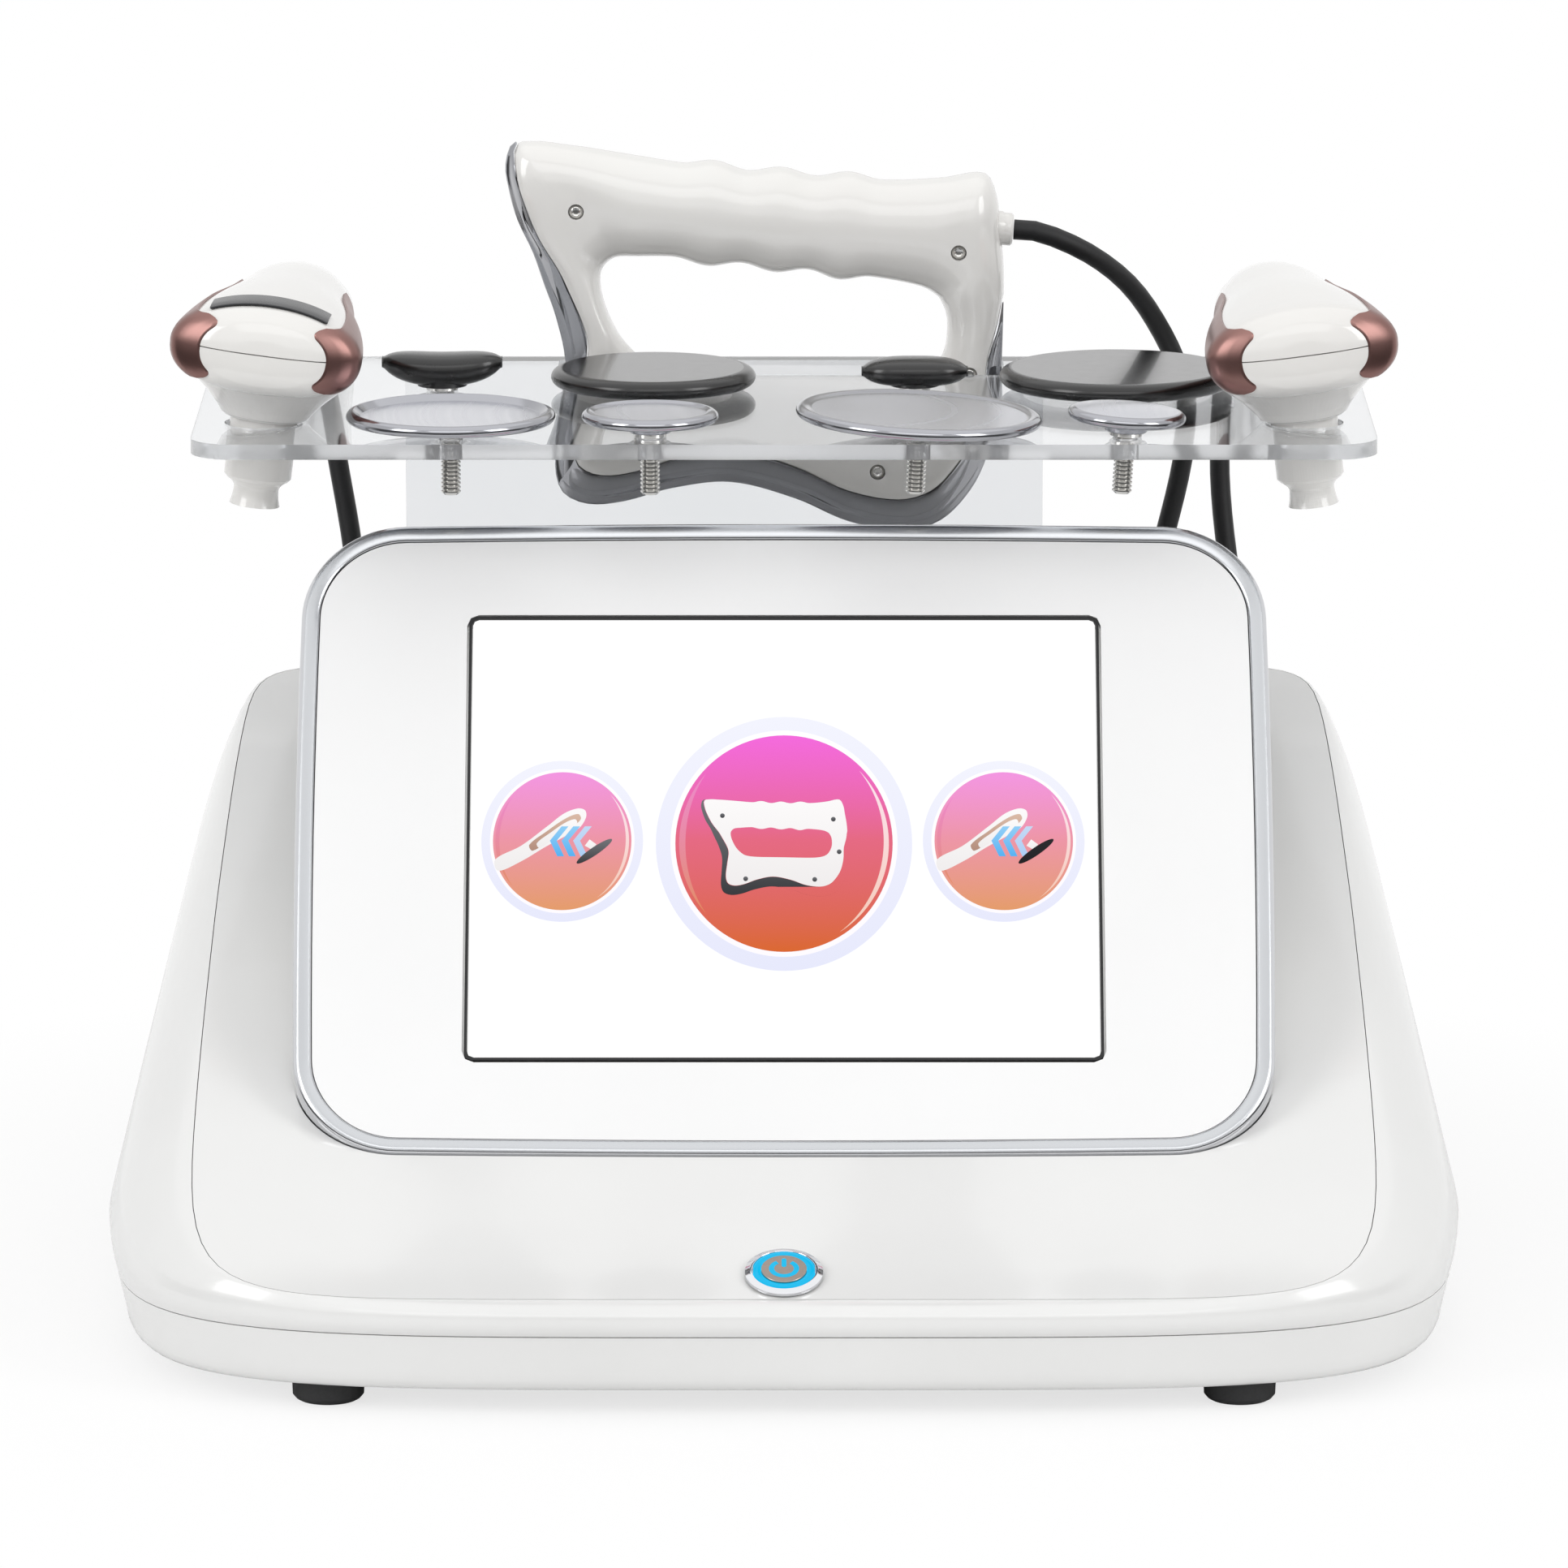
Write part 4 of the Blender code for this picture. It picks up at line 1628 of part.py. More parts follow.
def make_inlet(housing):
    frame = add_frame("mains_inlet_frame", rear_matrix(INLET_X, INLET_Z))
    flange = box_mesh("mains_inlet", (INLET_WIDTH, INLET_HEIGHT, INLET_FLANGE), (0.0, 0.0, INLET_FLANGE / 2))
    inlet = add_part("mains_inlet", flange, "black_plastic", frame, smooth=False)
    depth = INLET_BODY_DEPTH
    body = box_mesh("inlet_body", (INLET_BODY_WIDTH, INLET_BODY_HEIGHT, depth + BOSS_OVERLAP),
                    (0.0, 0.0, (BOSS_OVERLAP - depth) / 2))
    cut(inlet, add_cutter("inlet_body", body, frame), "UNION")
    cup = box_mesh("inlet_cup", (INLET_CUP_WIDTH, INLET_CUP_HEIGHT, INLET_CUP_DEPTH + CUT_OVERRUN),
                   (INLET_CUP_X, 0.0, INLET_FLANGE + (CUT_OVERRUN - INLET_CUP_DEPTH) / 2))
    cut(inlet, add_cutter("inlet_cup", cup, frame))
    pocket = box_mesh("rocker_pocket", (ROCKER_WIDTH + 2 * ROCKER_GAP, ROCKER_HEIGHT + 2 * ROCKER_GAP,
                                        ROCKER_POCKET_DEPTH + CUT_OVERRUN),
                      (ROCKER_X, 0.0, INLET_FLANGE + (CUT_OVERRUN - ROCKER_POCKET_DEPTH) / 2))
    cut(inlet, add_cutter("rocker_pocket", pocket, frame))
    gap = 2 * FIT_GAP
    hole = box_mesh("inlet_hole", (INLET_BODY_WIDTH + gap, INLET_BODY_HEIGHT + gap, depth + CUT_OVERRUN),
                    (0.0, 0.0, (CUT_OVERRUN - depth) / 2))
    cut(housing, add_cutter("inlet_hole", hole, frame))
    floor = INLET_FLANGE - INLET_CUP_DEPTH - BOSS_OVERLAP
    length = INLET_CUP_DEPTH - INLET_PIN_DROP
    for row in (-1, 0, 1):
        rise = INLET_PIN_RISE if row == 0 else -INLET_PIN_RISE
        pin = box_mesh("inlet_pin", (INLET_PIN_WIDTH, INLET_PIN_HEIGHT, length),
                       (INLET_CUP_X + row * INLET_PIN_SPACING, rise, floor + length / 2))
        cut(inlet, add_cutter("inlet_pin", pin, frame), "UNION")
    pivot = Matrix.Translation((ROCKER_X, 0.0, INLET_FLANGE + ROCKER_PROUD - ROCKER_THICKNESS / 2))
    turn = Matrix.Rotation(math.pi / 2, 4, "Y")
    rocker_frame = add_frame("rocker_axis", pivot @ turn, frame)
    tilt = Matrix.Rotation(-ROCKER_ANGLE, 4, "Z")
    rocker = box_mesh("mains_rocker", (ROCKER_THICKNESS, ROCKER_HEIGHT, ROCKER_WIDTH), (0.0, 0.0, 0.0))
    rocker.transform(tilt)
    add_part("mains_rocker", rocker, "black_plastic", rocker_frame, smooth=False)


# Parts inside the housing

def make_inside(tray):
    floor = FOOT_HEIGHT + HOUSING_WALL + FIT_GAP
    supply = box_mesh("power_supply", (SUPPLY_LENGTH, SUPPLY_WIDTH, SUPPLY_HEIGHT),
                      (SUPPLY_X, SUPPLY_Y, floor + SUPPLY_HEIGHT / 2))
    round_edges(add_part("power_supply", supply, "grey_metal", smooth=False), SUPPLY_ROUNDING, 1)
    reach_x = BOARD_LENGTH / 2 - BOARD_STANDOFF_INSET
    reach_y = BOARD_WIDTH / 2 - BOARD_STANDOFF_INSET
    for x in (BOARD_X - reach_x, BOARD_X + reach_x):
        for y in (BOARD_Y - reach_y, BOARD_Y + reach_y):
            post = rod_mesh("board_post", BOARD_STANDOFF_RADIUS, (x, y, floor - BOSS_OVERLAP),
                            (x, y, floor + BOARD_STANDOFF), SMALL_STEPS)
            cut(tray, add_cutter("board_post", post), "UNION")
    bottom = floor + BOARD_STANDOFF + FIT_GAP
    top = bottom + BOARD_THICKNESS
    board = box_mesh("generator_board", (BOARD_LENGTH, BOARD_WIDTH, BOARD_THICKNESS),
                     (BOARD_X, BOARD_Y, bottom + BOARD_THICKNESS / 2))
    add_part("generator_board", board, "circuit_green", smooth=False)
    sink_low = top + FIT_GAP
    loop = comb_loop()
    sink = outline_mesh("heat_sink", [loop], SINK_LENGTH)
    sink.transform(Matrix.Translation((BOARD_X - SINK_SHIFT, BOARD_Y, sink_low))
                   @ Matrix.Rotation(math.pi / 2, 4, "Y") @ Matrix.Rotation(math.pi / 2, 4, "Z"))
    add_part("heat_sink", sink, "grey_metal", smooth=False)
    coil_x = BOARD_X + TRANSFORMER_SHIFT
    coil = rod_mesh("output_transformer", TRANSFORMER_RADIUS, (coil_x, BOARD_Y, sink_low),
                    (coil_x, BOARD_Y, sink_low + TRANSFORMER_HEIGHT), FOOT_STEPS)
    add_part("output_transformer", coil, "black_plastic")


def comb_loop():
    """Section of the heat sink: a base with upright fins."""
    pitch = (SINK_WIDTH - SINK_FIN_THICKNESS) / (SINK_FINS - 1)
    top = SINK_BASE + SINK_FIN_HEIGHT
    loop = [(-SINK_WIDTH / 2, 0.0), (SINK_WIDTH / 2, 0.0)]
    for fin in reversed(range(SINK_FINS)):
        left = -SINK_WIDTH / 2 + fin * pitch
        right = left + SINK_FIN_THICKNESS
        loop += [(right, SINK_BASE), (right, top), (left, top), (left, SINK_BASE)]
    cleaned_loop = [loop[0], loop[1]] + loop[3:-1]
    return cleaned_loop


def place_object():
    """Put the middle of the footprint on the origin; the leads don't count."""
    bpy.context.view_layer.update()
    graph = bpy.context.evaluated_depsgraph_get()
    reach = []
    for item in PARTS.objects:
        if "_lead_" in item.name:
            continue
        shown = item.evaluated_get(graph)
        reach.extend((item.matrix_world @ Vector(corner)).y for corner in shown.bound_box)
    shift = -(min(reach) + max(reach)) / 2
    root = bpy.data.objects.new(OBJECT_NAME + "_origin", None)
    CUTTERS.objects.link(root)
    root.location = (0.0, shift, 0.0)
    for item in [*PARTS.objects, *CUTTERS.objects]:
        if item.parent is None and item is not root:
            item.parent = root
    bpy.context.view_layer.update()
    print("object shifted along y by", round(shift, 6))


def build():
    housing = make_housing()
    tray = make_tray()
    cover = make_cover()
    make_feet()
    pod = add_frame("screen_frame", pod_matrix())
    make_trim(pod)
    make_fascia(pod)
    make_display(pod)
    make_back_shell(pod, cover)
    make_button(cover, housing)
    make_rack()
    make_rack_screws(housing)
    make_electrodes()
    make_scraper()
    left = make_handpiece("left", -1)
    make_indicator(left)
    make_handpiece("right", 1)
    make_glands(housing)
    make_inlet(housing)
    make_inside(tray)
    make_leads()
    place_object()


build()
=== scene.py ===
"""Looks of the tabletop tecar therapy machine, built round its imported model.

Units are metres, +Z is up and the screen faces -Y. Every piece is made in the design frame of the
machine and moved by FOOTPRINT_SHIFT, which puts the middle of its footprint on the origin.
"""
import contextlib
import math

import bmesh
import bpy
from mathutils import Matrix, Vector


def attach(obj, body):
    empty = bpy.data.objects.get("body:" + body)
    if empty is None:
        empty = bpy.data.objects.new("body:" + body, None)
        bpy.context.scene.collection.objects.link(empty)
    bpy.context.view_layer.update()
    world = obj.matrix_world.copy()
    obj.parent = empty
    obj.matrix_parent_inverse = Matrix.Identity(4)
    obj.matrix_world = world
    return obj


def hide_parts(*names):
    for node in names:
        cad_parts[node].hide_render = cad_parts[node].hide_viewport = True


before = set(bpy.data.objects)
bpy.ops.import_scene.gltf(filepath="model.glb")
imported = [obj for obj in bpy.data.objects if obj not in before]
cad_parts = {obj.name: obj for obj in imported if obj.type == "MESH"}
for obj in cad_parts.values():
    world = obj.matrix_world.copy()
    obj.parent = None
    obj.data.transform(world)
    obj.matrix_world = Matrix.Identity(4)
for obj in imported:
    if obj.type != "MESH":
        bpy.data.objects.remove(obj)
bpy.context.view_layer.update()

# Sizes

FOOTPRINT_SHIFT = Matrix.Translation((0.0, -0.01423, 0.0))
FIT_GAP = 0.0003
SLIDE_GAP = 0.0004
CUT_OVERRUN = 0.002
MERGE_DISTANCE = 0.00002
COVER_GAP = 0.00025
COVER_SEAT_GAP = 0.0006
BOSS_OVERLAP = 0.0008
HOUSING_HALF_WIDTH = 0.197
HOUSING_FRONT = 0.165
HOUSING_BACK = 0.144
HOUSING_WALL = 0.0026
REAR_CUT = 0.02
HOUSING_POINTS = 128
FRONT_EXPONENT = 4.6
BACK_EXPONENT = 9.0
CORNER_WEIGHT = 0.030
PARTING_HEIGHT = 0.024
BULGE_RISE = 0.014
BULGE_RISE_SHARE = 0.4
PARTING_INSET = 0.002
# Wall above the parting line: share of the inset, and of the height up to the bulge
PARTING_CURVE = ((1.0, 0.0), (0.45, 0.3), (0.12, 0.65))
FOOT_HEIGHT = 0.007
TRAY_EDGE_INSET = 0.009
TRAY_EDGE_RISE = 0.006
TRAY_EDGE_SIDE_INSET = 0.0045
TRAY_EDGE_SHARES = (0.25, 0.5, 0.75, 1.0)
TRAY_FLOOR_SHARE = 0.9
DECK_HALF_WIDTH = 0.1712
DECK_FRONT = 0.158
DECK_BACK = 0.128
DECK_FRONT_EXPONENT = 8.5
DECK_BACK_EXPONENT = 14.0
DECK_BACK_TAPER = 0.0105
DECK_FRONT_HEIGHT = 0.034
DECK_BACK_HEIGHT = 0.1625
DECK_END = 0.140
DECK_FRONT_HANDLE = 0.066
DECK_FRONT_RISE = 0.0205
DECK_BACK_HANDLE = 0.090
DECK_BACK_DROP = 0.006
SIDE_DRAFT = math.radians(13.8)
SHOULDER_STEPS = 8
SHOULDER_DROP = 0.022
SHOULDER_DROP_SHARE = 0.6
SHOULDER_LIFT_SHARE = 0.45
SHOULDER_REACH_SHARE = 0.40
COVER_THICKNESS = 0.0024
LEDGE_WIDTH = 0.006
COVER_RING_SHARES = (1.0, 0.97, 0.9, 0.78, 0.66, 0.5, 0.36, 0.2, 0.08)
SOLVER_STEPS = 30
FOOT_RADIUS = 0.0098
FOOT_TOP_RADIUS = 0.0104
# Side of a foot pad, and its rounded edge and hollow: distance inside its radius, and height
FOOT_TAPER, FOOT_TAPER_HEIGHT = 0.0002, 0.0016
FOOT_EDGE = ((0.0005, 0.0005), (0.0014, 0.0), (0.0035, 0.0), (0.0040, 0.0006))
FOOT_HOLLOW = 0.0006
FOOT_X = 0.130
FOOT_FRONT_Y = 0.1377
FOOT_BACK_Y = 0.112
POD_LEAN = math.radians(36.5)
POD_WIDTH = 0.2855
POD_HEIGHT = 0.2035
POD_CORNER = 0.030
POD_CORNER_STEPS = 18
POD_BOW = 0.0014
POD_BOW_STEPS = 8
POD_BOTTOM_Y = -0.097
POD_BOTTOM_Z = 0.0604
TRIM_WIDTH = 0.0052
TRIM_DEPTH = 0.0105
TRIM_PROUD = 0.0012
TRIM_ROUND = 0.0022
TRIM_ROUND_STEPS = 6
# The trim's inner lip: distance from its inner side, and height
TRIM_LIP = ((0.0008, TRIM_PROUD * 0.6), (0.0002, TRIM_PROUD * 0.4), (0.0, 0.0002))
FLAT_FACING = 0.9
FASCIA_THICKNESS = 0.0030
SHELL_DEPTH = 0.030
SHELL_EDGE_INSET = 0.0020
SHELL_SHOULDER = 0.016
SHELL_SHOULDER_INSET = 0.005
SHELL_BACK_INSET = 0.020
SHELL_STEPS = 10
SHELL_BOW = 1.8
POCKET_MARGIN = 0.012
POCKET_DEPTH = 0.017
DISPLAY_WIDTH = 0.183
DISPLAY_HEIGHT = 0.140
DISPLAY_THICKNESS = 0.0042
DISPLAY_CORNER = 0.0018
GASKET_WIDTH = 0.0011
GASKET_PROUD = 0.0002
PEDESTAL_WIDTH = 0.150
PEDESTAL_FRONT_Y = -0.028
PEDESTAL_BACK_Y = 0.034
PEDESTAL_CORNER = 0.022
PEDESTAL_BOTTOM_Z = 0.078
PEDESTAL_SINK = 0.033
BUTTON_Y = -0.1466
BEZEL_RADIUS = 0.0112
BEZEL_TOP_RADIUS = 0.0098
BEZEL_HEIGHT = 0.0022
BEZEL_SEAT_GAP = 0.0008
BARREL_RADIUS = 0.0094
BARREL_LENGTH = 0.0130
LIGHT_RING_OUTER = 0.0088
LIGHT_RING_INNER = 0.0066
LIGHT_RING_HEIGHT = 0.0030
BUTTON_CAP_RADIUS = 0.0062
BUTTON_CAP_HEIGHT = 0.0048
BUTTON_CAP_PROUD = 0.0004
BUTTON_TRAVEL = 0.0015
EDGE_BREAK = 0.0001
# The cap's head fills the lit ring, and stays above the ring's floor at full travel
CAP_HEAD_GAP = 0.00012
CAP_HEAD_HEIGHT = 0.0014
# Power symbol: radii of its arc, half its opening and its steps in degrees, and its bar
SYMBOL_OUTER = 0.0043
SYMBOL_INNER = 0.0028
SYMBOL_OPENING = 32
SYMBOL_STEP = 6
SYMBOL_HALF_BAR = 0.0007
SYMBOL_TOP = 0.0049
SYMBOL_SINK = 0.0002
SYMBOL_PROUD = 0.00005
RACK_THICKNESS = 0.0045
SHELF_TOP = 0.2527
SHELF_HALF_WIDTH = 0.1743
SHELF_FRONT = -0.005
SHELF_CORNER = 0.013
PLATE_CENTRE_X = -0.0183
PLATE_HALF_WIDTH = 0.0976
PLATE_BOTTOM = 0.078
PLATE_STANDOFF = 0.003
PLATE_SCREW_X = 0.072
PLATE_SCREW_Z = 0.100
PLATE_SCREW_RADIUS = 0.0021
PLATE_SCREW_LENGTH = 0.016
PLATE_CAP_RADIUS = 0.0065
PLATE_CAP_HEIGHT = 0.0028
CAP_ROUND_ANGLES = (0.0, 0.4, 0.8, 1.2, math.pi / 2)
STANDOFF_RADIUS = 0.0060
# Faces turned this far from the sheet's own two sides are its edges
EDGE_FACING = 0.6
# Hexagon socket of the rack screws
HEX_RADIUS = 0.0023
HEX_DEPTH = 0.0019
NECK_HOLE_X = 0.154
NECK_HOLE_Y = 0.034
NECK_HOLE_RADIUS = 0.0116
STUD_HOLE_RADIUS = 0.0036
SLOT_MARGIN = 0.0020
OUTER_COLUMN_X = 0.1003
STEEL_62_COLUMN_X = 0.0979
CURVED_COLUMN_X = 0.1028
INNER_COLUMN_X = 0.0393
FRONT_ROW_Y = 0.008
BACK_ROW_Y = 0.090
STUD_RADIUS = 0.0029
STUD_DROP = 0.0165
STUD_CHAMFER = 0.0008
# A millimetre's thread, drawn a quarter coarser so that its turns show
THREAD_PITCH = 0.00125
THREAD_DEPTH = 0.0006
HUB_RADIUS = 0.0067
HUB_HEIGHT = 0.0042
NECK_RADIUS = 0.0048
NECK_HEIGHT = 0.0012
BAR_BASE_RADIUS = 0.0075
BAR_END_EXPONENT = 3.0
BAR_END_SHARE = 0.34
BAR_SECTION_POWER = 0.75
BAR_BASE_HEIGHT = 0.0013
DISH_FLOOR_SHARE = 0.93
# Rings of a disc's face, as shares of the radius inside its rim
FLAT_SHARES = (0.5, 0.9)
DOME_SHARES = (0.2, 0.4, 0.6, 0.8)
FACE_FACING = 0.98
BAR_STEPS = 12
BAR_SPACING_POWER = 0.8
BAR_SECTION_POINTS = 28
STEEL_62_RADIUS = 0.0308
STEEL_40_RADIUS = 0.0201
STEEL_72_RADIUS = 0.0362
STEEL_35_RADIUS = 0.0174
STEEL_THICKNESS = 0.0036
STEEL_EDGE = 0.0022
STEEL_DISH = 0.0018
STEEL_HOLLOW = 0.0008
STEEL_DOME = 0.0012
STEEL_72_TILT = math.radians(2.8)
STEEL_35_TILT = math.radians(3.5)
COATED_62_RADIUS = 0.0308
COATED_72_RADIUS = 0.0355
COATED_THICKNESS = 0.0056
COATED_EDGE = 0.0036
COATED_BAR_HALF = 0.0181
COATED_BAR_WIDTH = 0.0085
COATED_BAR_THICKNESS = 0.0098
COATED_BAR_SAG = 0.0022
COATED_SMALL_HALF = 0.0160
COATED_SMALL_WIDTH = 0.0090
COATED_SMALL_THICKNESS = 0.0085
SCRAPER_PLANE_Y = 0.1325
SCRAPER_CENTRE_X = -0.0027
SCRAPER_CENTRE_Z = 0.268
SCRAPER_TOP = 0.0540
SCRAPER_TILT = math.radians(4.0)
SCRAPER_HALF_WIDTH = 0.085
SCRAPER_HALF_HEIGHT = 0.063
OPENING_HALF_WIDTH = 0.054
OPENING_HALF_HEIGHT = 0.0188
BLADE_WIDTH = 0.0112
GRIP_HALF_THICKNESS = 0.0132
BODY_HALF_THICKNESS = 0.0108
SEAM_HALF_THICKNESS = 0.0082
BLADE_HALF_EDGE = 0.0017
BLADE_EDGE_SHARE = 0.7
BLADE_START_WIDTH = 0.0007
BLADE_BLEND = 0.006
GRIP_LEVEL = 0.040
GRIP_REACH = 0.040
GRIP_STEP = 0.0013
BODY_STEP = 0.0028
GRIP_BLEND = 0.020
GRIP_LEFT_END = 0.064
GRIP_ROUNDING = 0.0155
GRIP_ROUNDING_SHARE = 0.46
GRIP_WAVE = 0.00095
GRIP_WAVES = 3
GRIP_WAVE_PITCH = 0.0205
GRIP_WAVE_CENTRE = -0.0012
SECTION_SHARES = (0.0, 0.08, 0.2, 0.4, 0.7, 1.0)
ROUND_EXPONENT = 2.2
FREE_EDGE_SHARE = 0.06
SLOT_LEVEL = -0.010
SCRAPER_SCREW_RADIUS = 0.0021
SCRAPER_SCREW_HEAD = 0.0016
# Recess and rim of a screw's head, and the rounding of its edge: radius, or distance inside it, and depth
SCREW_RECESS = ((0.0, 0.0007), (0.0009, 0.0006), (0.001, 0.0001), (0.0013, 0.0))
SCREW_EDGE = ((0.0003, 0.0002), (0.0, 0.0006))
COLLAR_RADIUS = 0.0054
COLLAR_TIP_RADIUS = 0.0050
COLLAR_START = 0.0615
COLLAR_END = 0.0702
COLLAR_V = 0.032
COLLAR_STEP_START, COLLAR_STEP_END = 0.0052, 0.0058
COLLAR_ROUNDING = 0.0006
BLADE_SHARES = (0.0, 0.12, 0.28, 0.45, 0.62, 0.8, 1.0)
BLADE_FLANK = 1.5
BLADE_TIP_ANGLES = (0.5, 1.0, 1.4)
SCRAPER_KEY_SHARES = (
    (-0.5882, 0.7476, -0.8148, 0.8404, 0),
    (-0.4, 0.7238, -0.6296, 0.8777, 0),
    (-0.2471, 0.7127, -0.3889, 0.867, 0),
    (-0.09412, 0.7048, -0.1481, 0.8511, 0),
    (0.07059, 0.7032, 0.1111, 0.8298, 0),
    (0.2353, 0.7032, 0.3519, 0.7926, 0),
    (0.4, 0.7095, 0.5926, 0.7606, 0),
    (0.5647, 0.7365, 0.8056, 0.6755, 0),
    (0.7118, 0.7714, 0.9019, 0.5426, 0),
    (0.76, 0.6667, 0.9296, 0.4415, 0),
    (0.7812, 0.5079, 0.9519, 0.3191, 0),
    (0.8035, 0.3175, 0.9667, 0.1596, 0),
    (0.8141, 0.1111, 0.9722, -0.05319, 0.107),
    (0.8212, -0.1111, 0.9667, -0.2926, 0.402),
    (0.8235, -0.3651, 0.9352, -0.5585, 0.554),
    (0.7953, -0.6032, 0.8852, -0.7713, 0.732),
    (0.7447, -0.7778, 0.8148, -0.9043, 0.893),
    (0.6471, -0.9365, 0.713, -0.9734, 0.982),
    (0.5176, -1, 0.6019, -1, 1),
    (0.3176, -0.9762, 0.3981, -1, 1),
    (0.1176, -0.881, 0.1481, -0.984, 1),
    (-0.1176, -0.8222, -0.1481, -0.9681, 1),
    (-0.3294, -0.873, -0.4074, -0.9574, 1),
    (-0.4941, -0.9524, -0.5833, -0.9255, 1),
    (-0.6235, -0.9778, -0.7, -0.8617, 1),
    (-0.7176, -0.9286, -0.7593, -0.7713, 0.982),
    (-0.7518, -0.7937, -0.8037, -0.6649, 0.929),
    (-0.7435, -0.5238, -0.8444, -0.5479, 0.821),
    (-0.74, -0.2857, -0.8815, -0.4149, 0.732),
    (-0.7859, -0.06667, -0.9259, -0.2021, 0.732),
    (-0.8329, 0.07937, -0.9667, 0.06383, 0.768),
    (-0.8812, 0.2333, -0.9889, 0.2766, 0.804),
    (-0.9447, 0.3889, -0.9981, 0.4787, 0.732),
    (-0.9835, 0.5397, -0.9889, 0.617, 0.625),
    (-1, 0.6587, -0.963, 0.7234, 0.464),
    (-0.9682, 0.7683, -0.9259, 0.7979, 0.0893),
    (-0.7765, 0.7683, -0.8741, 0.8298, 0),
)
SCRAPER_SCREW_SHARES = (
    (-0.736, 0.471, 0.759),
    (0.635, 0.406, 0.907),
    (0.706, -0.190, 0.722),
    (0.404, -0.695, 0.722),
    (-0.447, -0.683, 0.722),
)
HANDPIECE_LEAN = math.radians(7.0)
HANDPIECE_YAW = math.radians(3.5)
SEAM_GAP = 0.0003
HANDPIECE_LENGTH = 0.174
HANDPIECE_NOSE = 0.031
NOSE_ROUNDING = 0.0085
NOSE_WIDTH_SHARE = 0.56
NOSE_HEIGHT_SHARE = 0.8
HANDPIECE_HALF_WIDTH = 0.0272
HANDPIECE_MIDDLE_HEIGHT = 0.0276
HANDPIECE_HALF_HEIGHT = 0.0150
SIDE_SECTION_EXPONENT = 2.5
TOP_SECTION_EXPONENT = 2.0
SHOULDER_RADIUS = 0.0123
NECK_TUBE_RADIUS = 0.0100
NECK_TUBE_DROP = 0.0165
WAIST_RADIUS = 0.0067
WAIST_DROP = 0.0198
MOUTH_RADIUS = 0.0075
MOUTH_DROP = 0.0248
SOCKET_RADIUS = 0.0025
SOCKET_DEPTH = 0.012
INLAY_THICKNESS = 0.0007
INLAY_GAP = 0.00015
INLAY_HALF_HEIGHT = 0.0095
INLAY_FRONT_Y = -0.0287
INLAY_BACK_Y = 0.052
LENS_HALF_WIDTH = 0.0170
LENS_FRONT_Y = -0.0240
LENS_BACK_Y = -0.0130
LENS_THICKNESS = 0.0007
INLAY_SECTION_STEPS = 16
INLAY_ROUNDING = 0.0014
INLAY_HEIGHT_SHARE = 0.78
INLAY_END_SHARES = (0.0, 0.06, 0.16, 0.32, 0.6, 1.0)
LENS_STEPS = 8
# Rounded nose and tail of a body: share of the full section, and distance behind its first one
NOSE_SECTIONS = ((0.25, 0.0), (0.55, 0.0001), (0.8, 0.0003), (0.94, 0.0006))
NOSE_END = 0.0008
TAIL_SHARES = (0.9, 0.6, 0.3)
# Radius and height of the bowl under a handpiece, from inside its body down to its shoulder
BOWL_KEYS = ((0.0245, 0.0205), (0.0240, 0.0165), (0.0220, 0.0125), (0.0180, 0.0085), (0.0148, 0.0050),
             (0.0130, 0.0025), (0.0124, 0.0022))
BOWL_STEPS = 5
MOUTH_STEPS = 6
BOOT_RADIUS = 0.0075
BOOT_TIP_RADIUS = 0.0046
BOOT_LENGTH = 0.016
# Ribs of the boots and the glands: each one's distance inside the outline, and below its start
RIBS = 6
BOOT_RIB = ((0.0, 0.0012), (0.0006, 0.0014), (0.0006, 0.0024))
GLAND_RIB = ((0.0, 0.0), (-0.0001, 0.0014), (0.0005, 0.0016), (0.0005, 0.0024))
BODY_SECTION_STEP = 0.003
HALF_SECTION_STEPS = 32
HANDPIECE_STATION_SHARES = (
    (0.000, 0.750, 0.900, 0.567),
    (0.011, 0.904, 0.905, 0.753),
    (0.037, 1.000, 0.910, 0.860),
    (0.121, 0.989, 0.915, 0.920),
    (0.236, 0.897, 0.920, 0.960),
    (0.379, 0.732, 0.900, 0.980),
    (0.523, 0.643, 0.862, 1.000),
    (0.667, 0.551, 0.743, 0.967),
    (0.810, 0.478, 0.609, 0.853),
    (0.925, 0.441, 0.486, 0.787),
    (0.983, 0.415, 0.435, 0.740),
    (1.000, 0.346, 0.428, 0.613),
)
LEAD_RADIUS = 0.0031
COIL_TURNS = 4.25
COIL_TURN_POINTS = 40
COIL_OUTER_RADIUS = 0.0390
COIL_PITCH = 0.0069
COIL_LAYER_RISE = 0.0069
COIL_FLOOR_GAP = 0.0002
COIL_CENTRE_Y = 0.222
COIL_CLIMB_TURNS = 0.5
COIL_CLIMB_MIDDLE_SHARE = 0.5
COIL_END_STRAIGHT = 0.0062
COIL_CENTRES_X = (-0.096, 0.036, 0.1225)
STRAP_ROOM = 0.0012
STRAP_OUTER_ROOM = 0.0008
STRAP_FLOOR_GAP = 0.0003
STRAP_THICKNESS = 0.0009
STRAP_CORNER = 0.003
STRAP_INNER_FLOOR = 0.0010
STRAP_INNER_CORNER = 0.0022
STRAP_HALF_WIDTH = 0.005
STRAP_ANGLES = (200, 20)
LEAD_POINT_SPACING = 0.0062
LEAD_END_STRAIGHT = 0.0062
